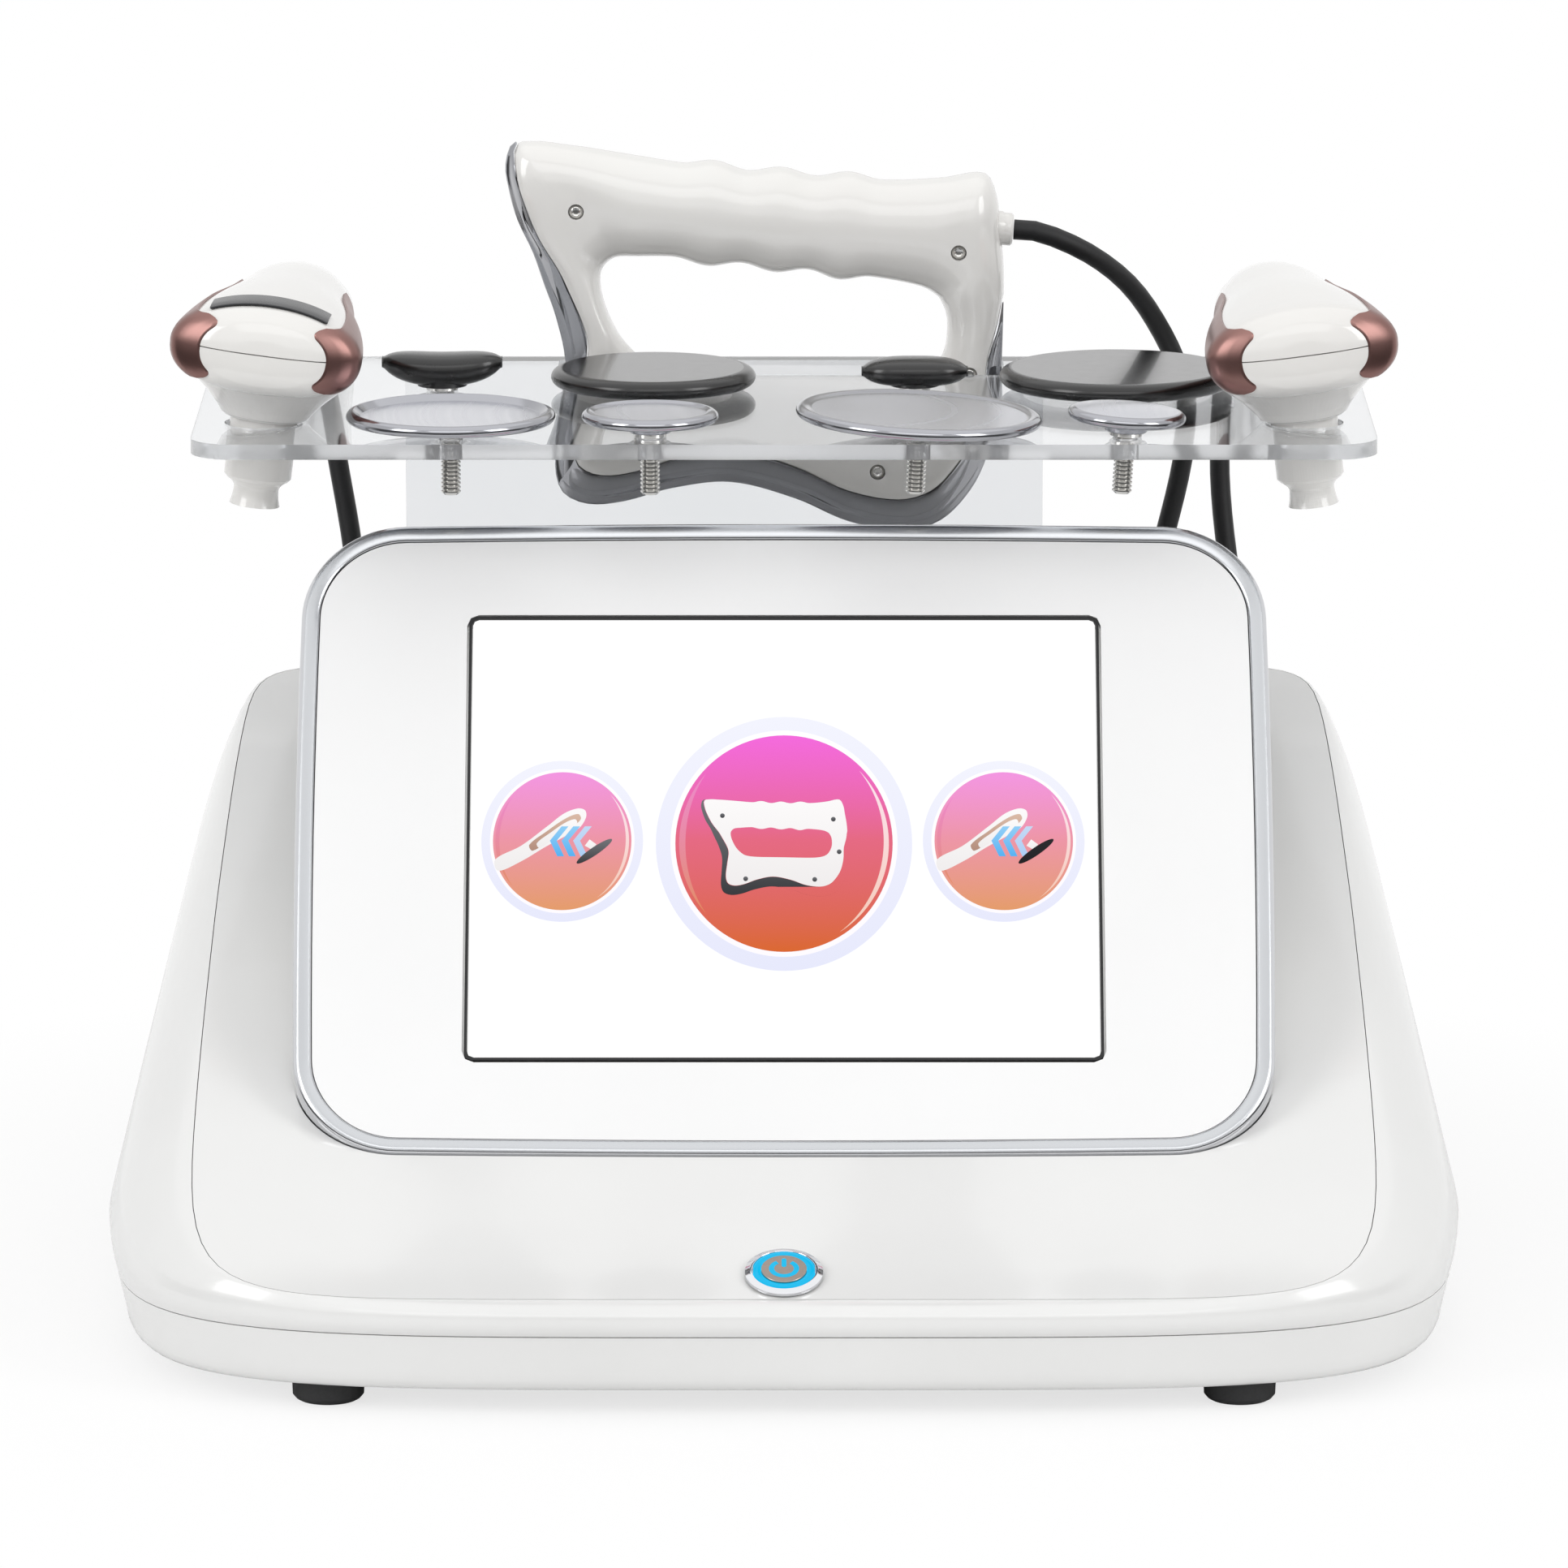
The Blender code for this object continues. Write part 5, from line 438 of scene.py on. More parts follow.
DROP_ROUTES = (
    ((-0.1445, 0.2110, 0.2450), (-0.1400, 0.2080, 0.2150), (-0.1342, 0.2020, 0.1800),
     (-0.1335, 0.1900, 0.1150), (-0.1350, 0.1830, 0.0600)),
    ((0.0840, 0.1330, 0.2918), (0.1010, 0.1420, 0.2805), (0.1150, 0.1570, 0.2610),
     (0.1240, 0.1740, 0.2350), (0.1180, 0.1850, 0.1900), (0.0950, 0.1850, 0.1300), (0.0790, 0.1830, 0.0700)),
    ((0.1390, 0.2110, 0.2450), (0.1360, 0.2080, 0.2150), (0.1400, 0.2000, 0.1700),
     (0.1530, 0.1880, 0.1100), (0.1610, 0.1830, 0.0600)),
)
RISE_ROUTES = (
    ((-0.0700, 0.2585, 0.0150), (-0.0560, 0.2450, 0.0330), (-0.0520, 0.2230, 0.0470)),
    ((0.0180, 0.2580, 0.0170), (0.0095, 0.2440, 0.0340), (0.0080, 0.2230, 0.0470)),
    ((0.0900, 0.2590, 0.0150), (0.0730, 0.2460, 0.0320), (0.0680, 0.2230, 0.0470)),
)
GLAND_SPACING = 0.060
GLAND_CENTRE_X = 0.008
GLAND_Z = 0.050
GLAND_PLATE_HALF_WIDTH = 0.074
GLAND_PLATE_HALF_HEIGHT = 0.013
GLAND_PLATE_THICKNESS = 0.0025
GLAND_PLATE_CORNER = 0.004
GLAND_BASE_RADIUS = 0.0085
GLAND_ROUNDING = 0.0006
GLAND_NUT_LENGTH = 0.009
GLAND_TIP_RADIUS = 0.0046
GLAND_TAIL_LENGTH = 0.016
GLAND_BARREL_RADIUS = 0.0070
GLAND_BARREL_LENGTH = 0.012
INLET_X = -0.108
INLET_Z = 0.050
INLET_FLANGE = 0.0030
INLET_BODY_WIDTH = 0.044
INLET_BODY_HEIGHT = 0.026
INLET_CUP_DEPTH = 0.016
INLET_CUP_X = -0.009
INLET_PIN_WIDTH = 0.0020
INLET_PIN_HEIGHT = 0.0040
INLET_PIN_SPACING = 0.0070
INLET_PIN_DROP = 0.0030
INLET_PIN_RISE = 0.0020
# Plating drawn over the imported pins
PIN_COVER = 0.0001
ROCKER_X = 0.013
ROCKER_THICKNESS = 0.0050
ROCKER_PROUD = 0.0020
ROCKER_ANGLE = math.radians(9.0)
PRINT_HALF = 0.0001
ROCKER_LINE = ((-0.0018, 0.0045), (0.0018, 0.0052))
ROCKER_LINE_CORNER = 0.0002
ROCKER_RING_CENTRE = (0.0, -0.005)
ROCKER_RING_RADII = (0.0021, 0.0015)
BOARD_LENGTH = 0.130
BOARD_WIDTH = 0.100
BOARD_X = 0.070
BOARD_Y = 0.020
BOARD_STANDOFF = 0.006
BOARD_STANDOFF_RADIUS = 0.0035
BOARD_STANDOFF_INSET = 0.007


def put(name, data):
    """A new object in the scene."""
    item = bpy.data.objects.new(name, data)
    bpy.context.scene.collection.objects.link(item)
    return item


# Camera, at the photograph's viewing angle

def make_camera():
    lens = bpy.data.cameras.new("studio_camera")
    lens.sensor_width = 36.0
    lens.lens = 253.42
    lens.clip_end = 50.0
    holder = put("studio_camera", lens)
    holder.location = (0.0, -3.20123, 0.8103)
    holder.rotation_euler = (math.radians(78.3), 0.0, 0.0)
    bpy.context.scene.camera = holder
    bpy.context.scene.view_settings.view_transform = "Standard"


make_camera()


# Materials

# Where the display's discs take their middle tone, from bottom to top
MIDDLE_TONE_AT = 0.52


def linear(hex_colour):
    """An sRGB hex colour as linear red, green, blue and full alpha."""
    channels = [int(hex_colour[at:at + 2], 16) / 255 for at in (1, 3, 5)]
    return (*[c / 12.92 if c <= 0.04045 else ((c + 0.055) / 1.055) ** 2.4 for c in channels], 1.0)


def add(tree, kind, sockets=None, **settings):
    """Add a node with its settings; a socket takes a value or another node's output."""
    item = tree.nodes.new(kind)
    for name, value in settings.items():
        setattr(item, name, value)
    for name, value in (sockets or {}).items():
        if isinstance(value, bpy.types.NodeSocket):
            tree.links.new(value, item.inputs[name])
        else:
            item.inputs[name].default_value = value
    return item


def surface(name, **sockets):
    """A new material and its main shader; socket names use _ for a space."""
    finish = bpy.data.materials.new(name)
    finish.use_nodes = True
    shader = finish.node_tree.nodes["Principled BSDF"]
    for socket, value in sockets.items():
        shader.inputs[socket.replace("_", " ")].default_value = value
    return finish, finish.node_tree, shader


def own_point(tree, scale=1.0):
    """The piece's own coordinates in units of scale metres."""
    here = add(tree, "ShaderNodeTexCoord")
    return add(tree, "ShaderNodeVectorMath", {0: here.outputs["Object"], 1: (1 / scale,) * 3},
               operation="MULTIPLY").outputs["Vector"]


def two_tones(tree, factor, dark, light, low=0.3, high=0.7):
    """Dark where the factor is low, light where it is high, and a run between."""
    ramp = add(tree, "ShaderNodeValToRGB", {"Fac": factor})
    ramp.color_ramp.elements[0].position = low
    ramp.color_ramp.elements[0].color = linear(dark)
    ramp.color_ramp.elements[1].position = high
    ramp.color_ramp.elements[1].color = linear(light)
    return ramp.outputs["Color"]


def spread(tree, factor, low, high, start=0.0, end=1.0):
    """Low where the factor is at its start, high at its end."""
    return add(tree, "ShaderNodeMapRange", {"Value": factor, "From Min": start, "From Max": end,
                                            "To Min": low, "To Max": high}).outputs["Result"]


def maths(tree, operation, first, second):
    return add(tree, "ShaderNodeMath", {0: first, 1: second}, operation=operation).outputs["Value"]


def noise(tree, scale, detail):
    """Noise over the piece, its features about scale metres wide."""
    return add(tree, "ShaderNodeTexNoise", {"Vector": own_point(tree, scale), "Scale": 1.0,
                                            "Detail": detail}).outputs["Fac"]


def relief(tree, shader, height, strength, depth):
    """Fine relief of a skin, from a height between 0 and 1."""
    bump = add(tree, "ShaderNodeBump", {"Height": height, "Strength": strength, "Distance": depth})
    tree.links.new(bump.outputs["Normal"], shader.inputs["Normal"])


def moulded(name, dark, light, roughness, ripple, ripple_depth, coat=0.0):
    """Injection-moulded plastic: faint tone drift over a hand's width, and the slow ripple of its skin."""
    finish, tree, shader = surface(name, IOR=1.53, Coat_Weight=coat, Coat_Roughness=0.06)
    tree.links.new(two_tones(tree, noise(tree, 0.09, 3.0), dark, light), shader.inputs["Base Color"])
    skin = noise(tree, ripple, 2.0)
    tree.links.new(spread(tree, skin, roughness * 0.85, roughness * 1.15), shader.inputs["Roughness"])
    relief(tree, shader, skin, 0.2, ripple_depth)
    return finish


def polished_metal(name, hex_colour, roughness, smear=0.03):
    """Plated or polished metal, with handling smears that only change its gloss."""
    finish, tree, shader = surface(name, Metallic=1.0, Base_Color=linear(hex_colour))
    tree.links.new(spread(tree, noise(tree, 0.012, 4.0), roughness, roughness + smear),
                   shader.inputs["Roughness"])
    return finish


def machined_metal(name, hex_colour, roughness, pitch, strength):
    """Metal faced by a cutter: the fine arcs of its path, pitch metres apart, spread its shine across them."""
    finish, tree, shader = surface(name, Metallic=1.0, Base_Color=linear(hex_colour))
    reach = add(tree, "ShaderNodeVectorMath", {0: own_point(tree)}, operation="LENGTH").outputs["Value"]
    arcs = add(tree, "ShaderNodeTexNoise", {"W": maths(tree, "MULTIPLY", reach, 1 / pitch), "Scale": 1.0,
                                            "Detail": 2.0}, noise_dimensions="1D").outputs["Fac"]
    tree.links.new(spread(tree, arcs, roughness * 0.7, roughness * 1.4), shader.inputs["Roughness"])
    relief(tree, shader, arcs, strength, 0.00005)
    return finish


def grained(name, dark, light, roughness, grain, depth, **sockets):
    """A matt skin with a fine even grain, as on rubber and textured plastic."""
    finish, tree, shader = surface(name, **sockets)
    grains = noise(tree, grain, 3.0)
    tree.links.new(two_tones(tree, grains, dark, light), shader.inputs["Base Color"])
    tree.links.new(spread(tree, grains, roughness * 0.9, roughness * 1.1), shader.inputs["Roughness"])
    relief(tree, shader, grains, 0.3, depth)
    return finish


def cast_acrylic(name, clear, haze):
    """Cast acrylic sheet: a cool trace of grey in its thickness."""
    finish, tree, shader = surface(name, IOR=1.49, Transmission_Weight=clear)
    wash = noise(tree, 0.05, 2.0)
    tree.links.new(two_tones(tree, wash, "#e8eaec", "#ecedef"), shader.inputs["Base Color"])
    tree.links.new(spread(tree, wash, haze, haze + 0.02), shader.inputs["Roughness"])
    return finish


def lit_panel(name, top, bottom, middle=None):
    """A part lit from behind: its colour runs from top to bottom of the drawn shape."""
    finish, tree, shader = surface(name, Roughness=0.12, IOR=1.5, Specular_IOR_Level=0.12,
                                   Emission_Strength=1.0, Base_Color=linear("#08080a"))
    where = add(tree, "ShaderNodeUVMap", uv_map="UVMap")
    parts = add(tree, "ShaderNodeSeparateXYZ", {"Vector": where.outputs["UV"]})
    ramp = add(tree, "ShaderNodeValToRGB", {"Fac": parts.outputs["Y"]})
    ramp.color_ramp.elements[0].color = linear(bottom)
    ramp.color_ramp.elements[1].color = linear(top)
    if middle:
        ramp.color_ramp.elements.new(MIDDLE_TONE_AT).color = linear(middle)
    tree.links.new(ramp.outputs["Color"], shader.inputs["Emission Color"])
    return finish


def laminate():
    """Glass-epoxy board under solder mask; the mortar of a brick pattern makes its lanes."""
    finish, tree, shader = surface("solder_mask", Roughness=0.35, IOR=1.5)
    lanes = add(tree, "ShaderNodeTexBrick", {
        "Vector": own_point(tree, 0.004), "Scale": 1.0, "Mortar Size": 0.03, "Color1": linear("#1d6b3c"),
        "Color2": linear("#20753f"), "Mortar": linear("#124a2a")})
    tree.links.new(lanes.outputs["Color"], shader.inputs["Base Color"])
    return finish


# Glossy injection-moulded ABS of the housing: soft wide highlights over a warm white
GLOSS_ABS = moulded("gloss_abs", "#dfdfde", "#e3e3e2", 0.17, 0.006, 0.00004, coat=0.35)
# Cast polycarbonate fascia round the display: a whiter, flatter skin than the housing
FASCIA_ABS = moulded("fascia_polycarbonate", "#ebebeb", "#eeeeee", 0.34, 0.004, 0.00002)
# Hand-held shells: smooth white polycarbonate that shows long clean highlights
HANDLE_PC = moulded("handle_polycarbonate", "#e2e0dd", "#e6e5e2", 0.13, 0.008, 0.00003, coat=0.4)
# Bright chromium plate on the trim, the button's bezel and the rack screws: hard dark and light bands
CHROME = polished_metal("chromium_plate", "#cfd0d3", 0.035)
# Satin nickel band on the face of the trim: soft and grey beside the bright edge
SATIN_NICKEL = polished_metal("satin_nickel", "#bdbfc2", 0.22, 0.05)
# Machined stainless steel of the threaded studs and the scraper's screws: pale, with a clean soft shine
STAINLESS = polished_metal("machined_stainless", "#d8d7d4", 0.14, 0.06)
# Polished tool steel of the scraper's blade: a deeper grey mirror than the plated parts; the deeper grey is
# painted shade for the dark surroundings that the blade mirrors
DARKENED_TOOL_STEEL = polished_metal("polished_tool_steel", "#9c9da1", 0.05)
# Polished round rims of the bare discs: grey, a little softer than the plated parts; their grey is darker than
# the discs' faces as painted shade for the dark surroundings that they mirror
SHADED_RIM_STEEL = polished_metal("polished_steel_rim_painted_shade", "#a3a4a9", 0.12)
# Satin vacuum-metallised trim let into the handpieces: rose brown with a broad soft sheen
ROSE_TRIM = polished_metal("rose_metallised_trim", "#8a6964", 0.30, 0.06)
# Black insulating enamel on the coated electrodes: satin, with a soft grey sheen
ENAMEL = moulded("insulating_enamel", "#0a0a0b", "#0f0f10", 0.26, 0.003, 0.00002, coat=0.15)
# Silicone rubber of the leads and boots: almost matt, with a very fine grain drawn at half a millimetre
SILICONE = grained("silicone_rubber", "#141415", "#1c1c1e", 0.52, 0.0005, 0.00003, IOR=1.42)
# Foot rubber: matt dark grey, coarser than the leads
FOOT_RUBBER = grained("foot_rubber", "#1a1a1b", "#242425", 0.7, 0.0008, 0.00006, IOR=1.5)
# Spark-eroded black nylon of the gland plate and the mains inlet: an even dull texture
GLAND_NYLON = grained("textured_nylon", "#17171a", "#202024", 0.45, 0.0007, 0.00005, IOR=1.53)
# Die-cast and extruded aluminium of the parts inside: grey with a faint cast grain
ALUMINIUM = grained("cast_aluminium", "#9c9da0", "#aeb0b2", 0.35, 0.001, 0.00004, Metallic=1.0)
# Machined face of the push button: warm grey, its fine tool marks spread the light
BUTTON_FACE = machined_metal("turned_button_face", "#a3978e", 0.32, 0.00025, 0.15)
# Clear cast acrylic of the rack: bright reflections over what stands behind it
ACRYLIC = cast_acrylic("cast_acrylic", 1.0, 0.01)
# Sawn and flamed edges of the sheet: brighter and hazier than its faces
ACRYLIC_EDGE = cast_acrylic("flamed_acrylic_edge", 0.7, 0.12)
# Polyester tape round the transformer: dark olive with a low sheen
TAPE = moulded("polyester_tape", "#1a1a14", "#23231c", 0.3, 0.002, 0.00003)
# Tinted acrylic of the indicator strip: dark grey with a satin sheen
INDICATOR = moulded("tinted_indicator", "#1b1c1f", "#232429", 0.28, 0.004, 0.00001, coat=0.1)
# Green solder mask of the boards inside, over the darker lanes of their tracks
SOLDER_MASK = laminate()
# Lit parts of the display: white page, lavender rings and the magenta to orange discs
PAGE = lit_panel("display_page", "#ffffff", "#ffffff")
HALO = lit_panel("display_halo", "#f2f3fd", "#e6e8fb")
RIM = lit_panel("display_rim", "#ffffff", "#fdfaff")
DISC = lit_panel("display_disc", "#f365dc", "#d96423", middle="#e46580")
PALE_DISC = lit_panel("display_pale_disc", "#f293e0", "#e39a66", middle="#ec93a5")
GLOSS_MARK = lit_panel("display_gloss", "#fbe3ee", "#f4c9b4")
FAINT_MARK = lit_panel("display_faint_gloss", "#ec86c8", "#e08a5a")
ICON_WHITE = lit_panel("display_icon_white", "#fbf9f9", "#efecec")
ICON_BLACK = lit_panel("display_icon_black", "#1c1c20", "#0c0c10")
ICON_GREY = lit_panel("display_icon_grey", "#6f7074", "#2e2f33")
ICON_ROSE = lit_panel("display_icon_rose", "#d9b8a4", "#b08a78")
ICON_BLUE = lit_panel("display_icon_blue", "#8ecdf6", "#4fb0f0")
ICON_PALE_BLUE = lit_panel("display_icon_pale_blue", "#c3d8f4", "#a9cdf3")
# Backlit light guide of the push button: an even clear blue in its ring and symbol
BLUE_LIGHT = lit_panel("blue_light_guide", "#00c4f2", "#00bcee")


# Mesh makers

def bezier(a, b, c, d, t):
    """Point t of a cubic with its end points a and d."""
    rest = 1 - t
    return a * rest ** 3 + 3 * b * t * rest ** 2 + 3 * c * t ** 2 * rest + d * t ** 3


def mesh_from(name, points, faces):
    mesh = bpy.data.meshes.new(name)
    mesh.from_pydata([tuple(point) for point in points], [], faces)
    mesh.validate()
    return mesh


@contextlib.contextmanager
def editing(mesh):
    """Open a mesh for changes, which are written back at the end."""
    work = bmesh.new()
    work.from_mesh(mesh)
    yield work
    work.to_mesh(mesh)
    work.free()


def cleaned(mesh):
    """Merge double points and turn all faces outward."""
    with editing(mesh) as work:
        bmesh.ops.remove_doubles(work, verts=work.verts, dist=MERGE_DISTANCE)
        bmesh.ops.recalc_face_normals(work, faces=work.faces)
    return mesh


def closed_by(mesh, corners):
    """Close a mesh with one face through the numbered corners."""
    with editing(mesh) as work:
        work.verts.ensure_lookup_table()
        work.faces.new([work.verts[corner] for corner in corners])
    return mesh


def loft(name, rings, closed_path=False, caps=True):
    """Skin a list of equal rings; caps close the first and the last one."""
    count = len(rings[0])
    points = [point for ring in rings for point in ring]
    faces = []
    for ring in range(len(rings) if closed_path else len(rings) - 1):
        here = ring * count
        there = ((ring + 1) % len(rings)) * count
        for side in range(count):
            after = (side + 1) % count
            faces.append((here + side, here + after, there + after, there + side))
    if caps and not closed_path:
        faces.append(tuple(reversed(range(count))))
        faces.append(tuple(range(len(points) - count, len(points))))
    return mesh_from(name, points, faces)


def rounded_rectangle(low, high, radii, steps):
    """Corner points in order: low left, low right, high right, high left; one radius for each."""
    corners = ((low[0], low[1], 1, 1, math.pi), (high[0], low[1], -1, 1, 1.5 * math.pi),
               (high[0], high[1], -1, -1, 0.0), (low[0], high[1], 1, -1, 0.5 * math.pi))
    loop = []
    for (x, y, side_x, side_y, start), radius in zip(corners, radii):
        for step in range(steps + 1):
            angle = start + step / steps * math.pi / 2
            loop.append((x + side_x * radius + radius * math.cos(angle),
                         y + side_y * radius + radius * math.sin(angle)))
    return loop


def spline_point(p0, p1, p2, p3, t):
    """Centripetal-style cubic through p1 and p2 with end slopes from their neighbours."""
    span = (p2 - p1).length
    slope_1 = (p2 - p0) * (span / max((p2 - p1).length + (p1 - p0).length, MERGE_DISTANCE))
    slope_2 = (p3 - p1) * (span / max((p3 - p2).length + (p2 - p1).length, MERGE_DISTANCE))
    t2, t3 = t * t, t * t * t
    return (p1 * (2 * t3 - 3 * t2 + 1) + slope_1 * (t3 - 2 * t2 + t)
            + p2 * (3 * t2 - 2 * t3) + slope_2 * (t3 - t2))


def span_keys(keys, index, closed=False):
    """The keys before, at both ends of, and after the span that starts at index."""
    last = len(keys) - 1
    return [keys[(index + shift) % len(keys) if closed else min(max(index + shift, 0), last)]
            for shift in (-1, 0, 1, 2)]


def signed_power(value, power):
    """A power that keeps the sign; it rounds the corners of a section."""
    return math.copysign(abs(value) ** power, value)


def even_points(dense, spacing):
    """Read a dense polyline at steps as near to the spacing as fit its length."""
    lengths = [0.0]
    for before, after in zip(dense, dense[1:]):
        lengths.append(lengths[-1] + (after - before).length)
    steps = max(2, round(lengths[-1] / spacing))
    result = []
    index = 0
    for step in range(steps + 1):
        target = lengths[-1] * step / steps
        while index < len(dense) - 2 and lengths[index + 1] < target:
            index += 1
        span = max(lengths[index + 1] - lengths[index], MERGE_DISTANCE)
        result.append(dense[index].lerp(dense[index + 1], min(1.0, (target - lengths[index]) / span)))
    return result


def circle_loop(centre, radius, steps):
    """Points of a circle."""
    turn = 2 * math.pi / steps
    return [(centre[0] + radius * math.cos(step * turn), centre[1] + radius * math.sin(step * turn))
            for step in range(steps)]


def show(name, mesh, finishes, body, matrix=None, nodes=(), sharp=35.0, smooth=True):
    """Put a mesh in the scene as one piece on a body, in place of the named nodes."""
    if matrix is not None:
        mesh.transform(matrix)
    mesh.transform(FOOTPRINT_SHIFT)
    for finish in (finishes if isinstance(finishes, (list, tuple)) else [finishes]):
        mesh.materials.append(finish)
    if smooth:
        mesh.shade_smooth()
        mesh.set_sharp_from_angle(angle=math.radians(sharp))
    piece = put(name, mesh)
    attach(piece, body)
    if nodes:
        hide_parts(*nodes)
    return piece


def soften(piece, width, segments=2, angle=40.0):
    """Break the piece's hard edges, as a mould or a cutter leaves them."""
    rounding = piece.modifiers.new("edges", "BEVEL")
    rounding.width = width
    rounding.segments = segments
    rounding.limit_method = "ANGLE"
    rounding.angle_limit = math.radians(angle)
    rounding.harden_normals = True
    return piece


def combine(piece, meshes, operation="DIFFERENCE"):
    """Cut meshes out of a piece, or unite them with it."""
    for mesh in meshes:
        mesh.transform(FOOTPRINT_SHIFT)
        tool = put("tool", mesh)
        step = piece.modifiers.new("combine", "BOOLEAN")
        step.operation = operation
        step.solver = "EXACT"
        step.object = tool
        applied(piece)
        bpy.data.objects.remove(tool, do_unlink=True)
    return piece


def wall(piece, thickness):
    """Give a surface its wall, on the inside."""
    shell = piece.modifiers.new("wall", "SOLIDIFY")
    shell.thickness = thickness
    shell.offset = -1.0
    return piece


def applied(piece):
    """Work the piece's modifiers into its mesh."""
    graph = bpy.context.evaluated_depsgraph_get()
    piece.data = bpy.data.meshes.new_from_object(piece.evaluated_get(graph))
    piece.modifiers.clear()
    return piece


def turned(profile, steps=72):
    """A lathe shape from (radius, height) points, from the top of its axis down."""
    rings = []
    points, faces = [], []
    for radius, height in profile:
        if radius < MERGE_DISTANCE:
            rings.append([len(points)])
            points.append((0.0, 0.0, height))
        else:
            rings.append(list(range(len(points), len(points) + steps)))
            for step in range(steps):
                angle = 2 * math.pi * step / steps
                points.append((radius * math.cos(angle), radius * math.sin(angle), height))
    for upper, lower in zip(rings, rings[1:]):
        for step in range(steps):
            after = (step + 1) % steps
            corners = [upper[step % len(upper)], lower[step % len(lower)], lower[after % len(lower)],
                       upper[after % len(upper)]]
            face = list(dict.fromkeys(corners))
            if len(face) > 2:
                faces.append(tuple(face))
    return cleaned(mesh_from("turned", points, faces))


def joined(*meshes):
    """Several meshes as one."""
    result = bpy.data.meshes.new("joined")
    with editing(result) as work:
        for mesh in meshes:
            work.from_mesh(mesh)
    return result


def poly_curve(name, dimensions, lines):
    """A curve through straight pieces; one in 2D is closed."""
    curve = bpy.data.curves.new(name, "CURVE")
    curve.dimensions = dimensions
    for line in lines:
        spline = curve.splines.new("POLY")
        spline.points.add(len(line) - 1)
        for point, at in zip(spline.points, line):
            point.co = (*at, 1.0)
        spline.use_cyclic_u = dimensions == "2D"
    return curve


def slab(loops, low, high):
    """A flat outline with holes, from height low to high."""
    curve = poly_curve("slab", "2D", [[(x, y, 0.0) for x, y in loop] for loop in loops])
    curve.fill_mode = "BOTH"
    curve.extrude = (high - low) / 2
    holder = put("slab", curve)
    bpy.context.view_layer.update()
    mesh = bpy.data.meshes.new_from_object(holder.evaluated_get(bpy.context.evaluated_depsgraph_get()))
    bpy.data.objects.remove(holder, do_unlink=True)
    bpy.data.curves.remove(curve)
    mesh.transform(Matrix.Translation((0.0, 0.0, (low + high) / 2)))
    return cleaned(mesh)


def finish_node(name, finish, rounding):
    """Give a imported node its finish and, where it has hard edges, a small rounding."""
    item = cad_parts[name]
    item.data.materials.clear()
    item.data.materials.append(finish)
    if rounding:
        soften(item, rounding)


# Leads: one unbroken lead each, from its gland through the coil to its handle

def handpiece_stations():
    """The body's sections along its length, smooth between the listed ones."""
    sizes = (HANDPIECE_LENGTH, HANDPIECE_HALF_WIDTH, HANDPIECE_MIDDLE_HEIGHT, HANDPIECE_HALF_HEIGHT)
    keys = [Vector([share * size for share, size in zip(shares, sizes)]) for shares in HANDPIECE_STATION_SHARES]
    rows = []
    for index in range(len(keys) - 1):
        steps = max(4, round((keys[index + 1][0] - keys[index][0]) / BODY_SECTION_STEP))
        rows += [spline_point(*span_keys(keys, index), step / steps) for step in range(steps)]
    rows.append(keys[-1])
    for row in rows:
        rise = math.sin(min(1.0, row[0] / NOSE_ROUNDING) * math.pi / 2)
        row[0] -= HANDPIECE_NOSE
        row[1] *= NOSE_WIDTH_SHARE + (1 - NOSE_WIDTH_SHARE) * rise
        row[3] *= NOSE_HEIGHT_SHARE + (1 - NOSE_HEIGHT_SHARE) * rise
    return rows


def handpiece_matrix(side):
    """Handpiece frame: z along the neck, leaning inward; y from the nose to the tail."""
    return (Matrix.Translation((side * NECK_HOLE_X, NECK_HOLE_Y, SHELF_TOP))
            @ Matrix.Rotation(-side * HANDPIECE_LEAN, 4, "Y") @ Matrix.Rotation(side * HANDPIECE_YAW, 4, "Z"))


def scraper_matrix():
    """Scraper frame: x along the blade, z up out of the slot, y through its thickness to the back."""
    place = (SCRAPER_CENTRE_X, SCRAPER_PLANE_Y, SCRAPER_CENTRE_Z)
    return Matrix.Translation(place) @ Matrix.Rotation(SCRAPER_TILT, 4, "Y")


def eased(value):
    """0 below 0, 1 above 1, and a smooth run between."""
    value = min(max(value, 0.0), 1.0)
    return value * value * (3 - 2 * value)


def guided_path(start, start_way, points, end, end_way, spacing):
    """A smooth route that leaves and arrives straight, read at an even spacing."""
    start, end = Vector(start), Vector(end)
    start_way, end_way = Vector(start_way).normalized(), Vector(end_way).normalized()
    nodes = [start + start_way * LEAD_END_STRAIGHT, *[Vector(point) for point in points],
             end - end_way * LEAD_END_STRAIGHT]
    slopes = [start_way]
    for before, here, after in zip(nodes, nodes[1:], nodes[2:]):
        first, second = (here - before), (after - here)
        slopes.append((first / first.length ** 2 + second / second.length ** 2).normalized())
    slopes.append(end_way)
    dense = []
    for index in range(len(nodes) - 1):
        span = (nodes[index + 1] - nodes[index]).length
        first = nodes[index] + slopes[index] * span / 3
        second = nodes[index + 1] - slopes[index + 1] * span / 3
        dense.extend(bezier(nodes[index], first, second, nodes[index + 1], step / SOLVER_STEPS)
                     for step in range(SOLVER_STEPS))
    dense.append(nodes[-1])
    return [start, *even_points(dense, spacing), end]


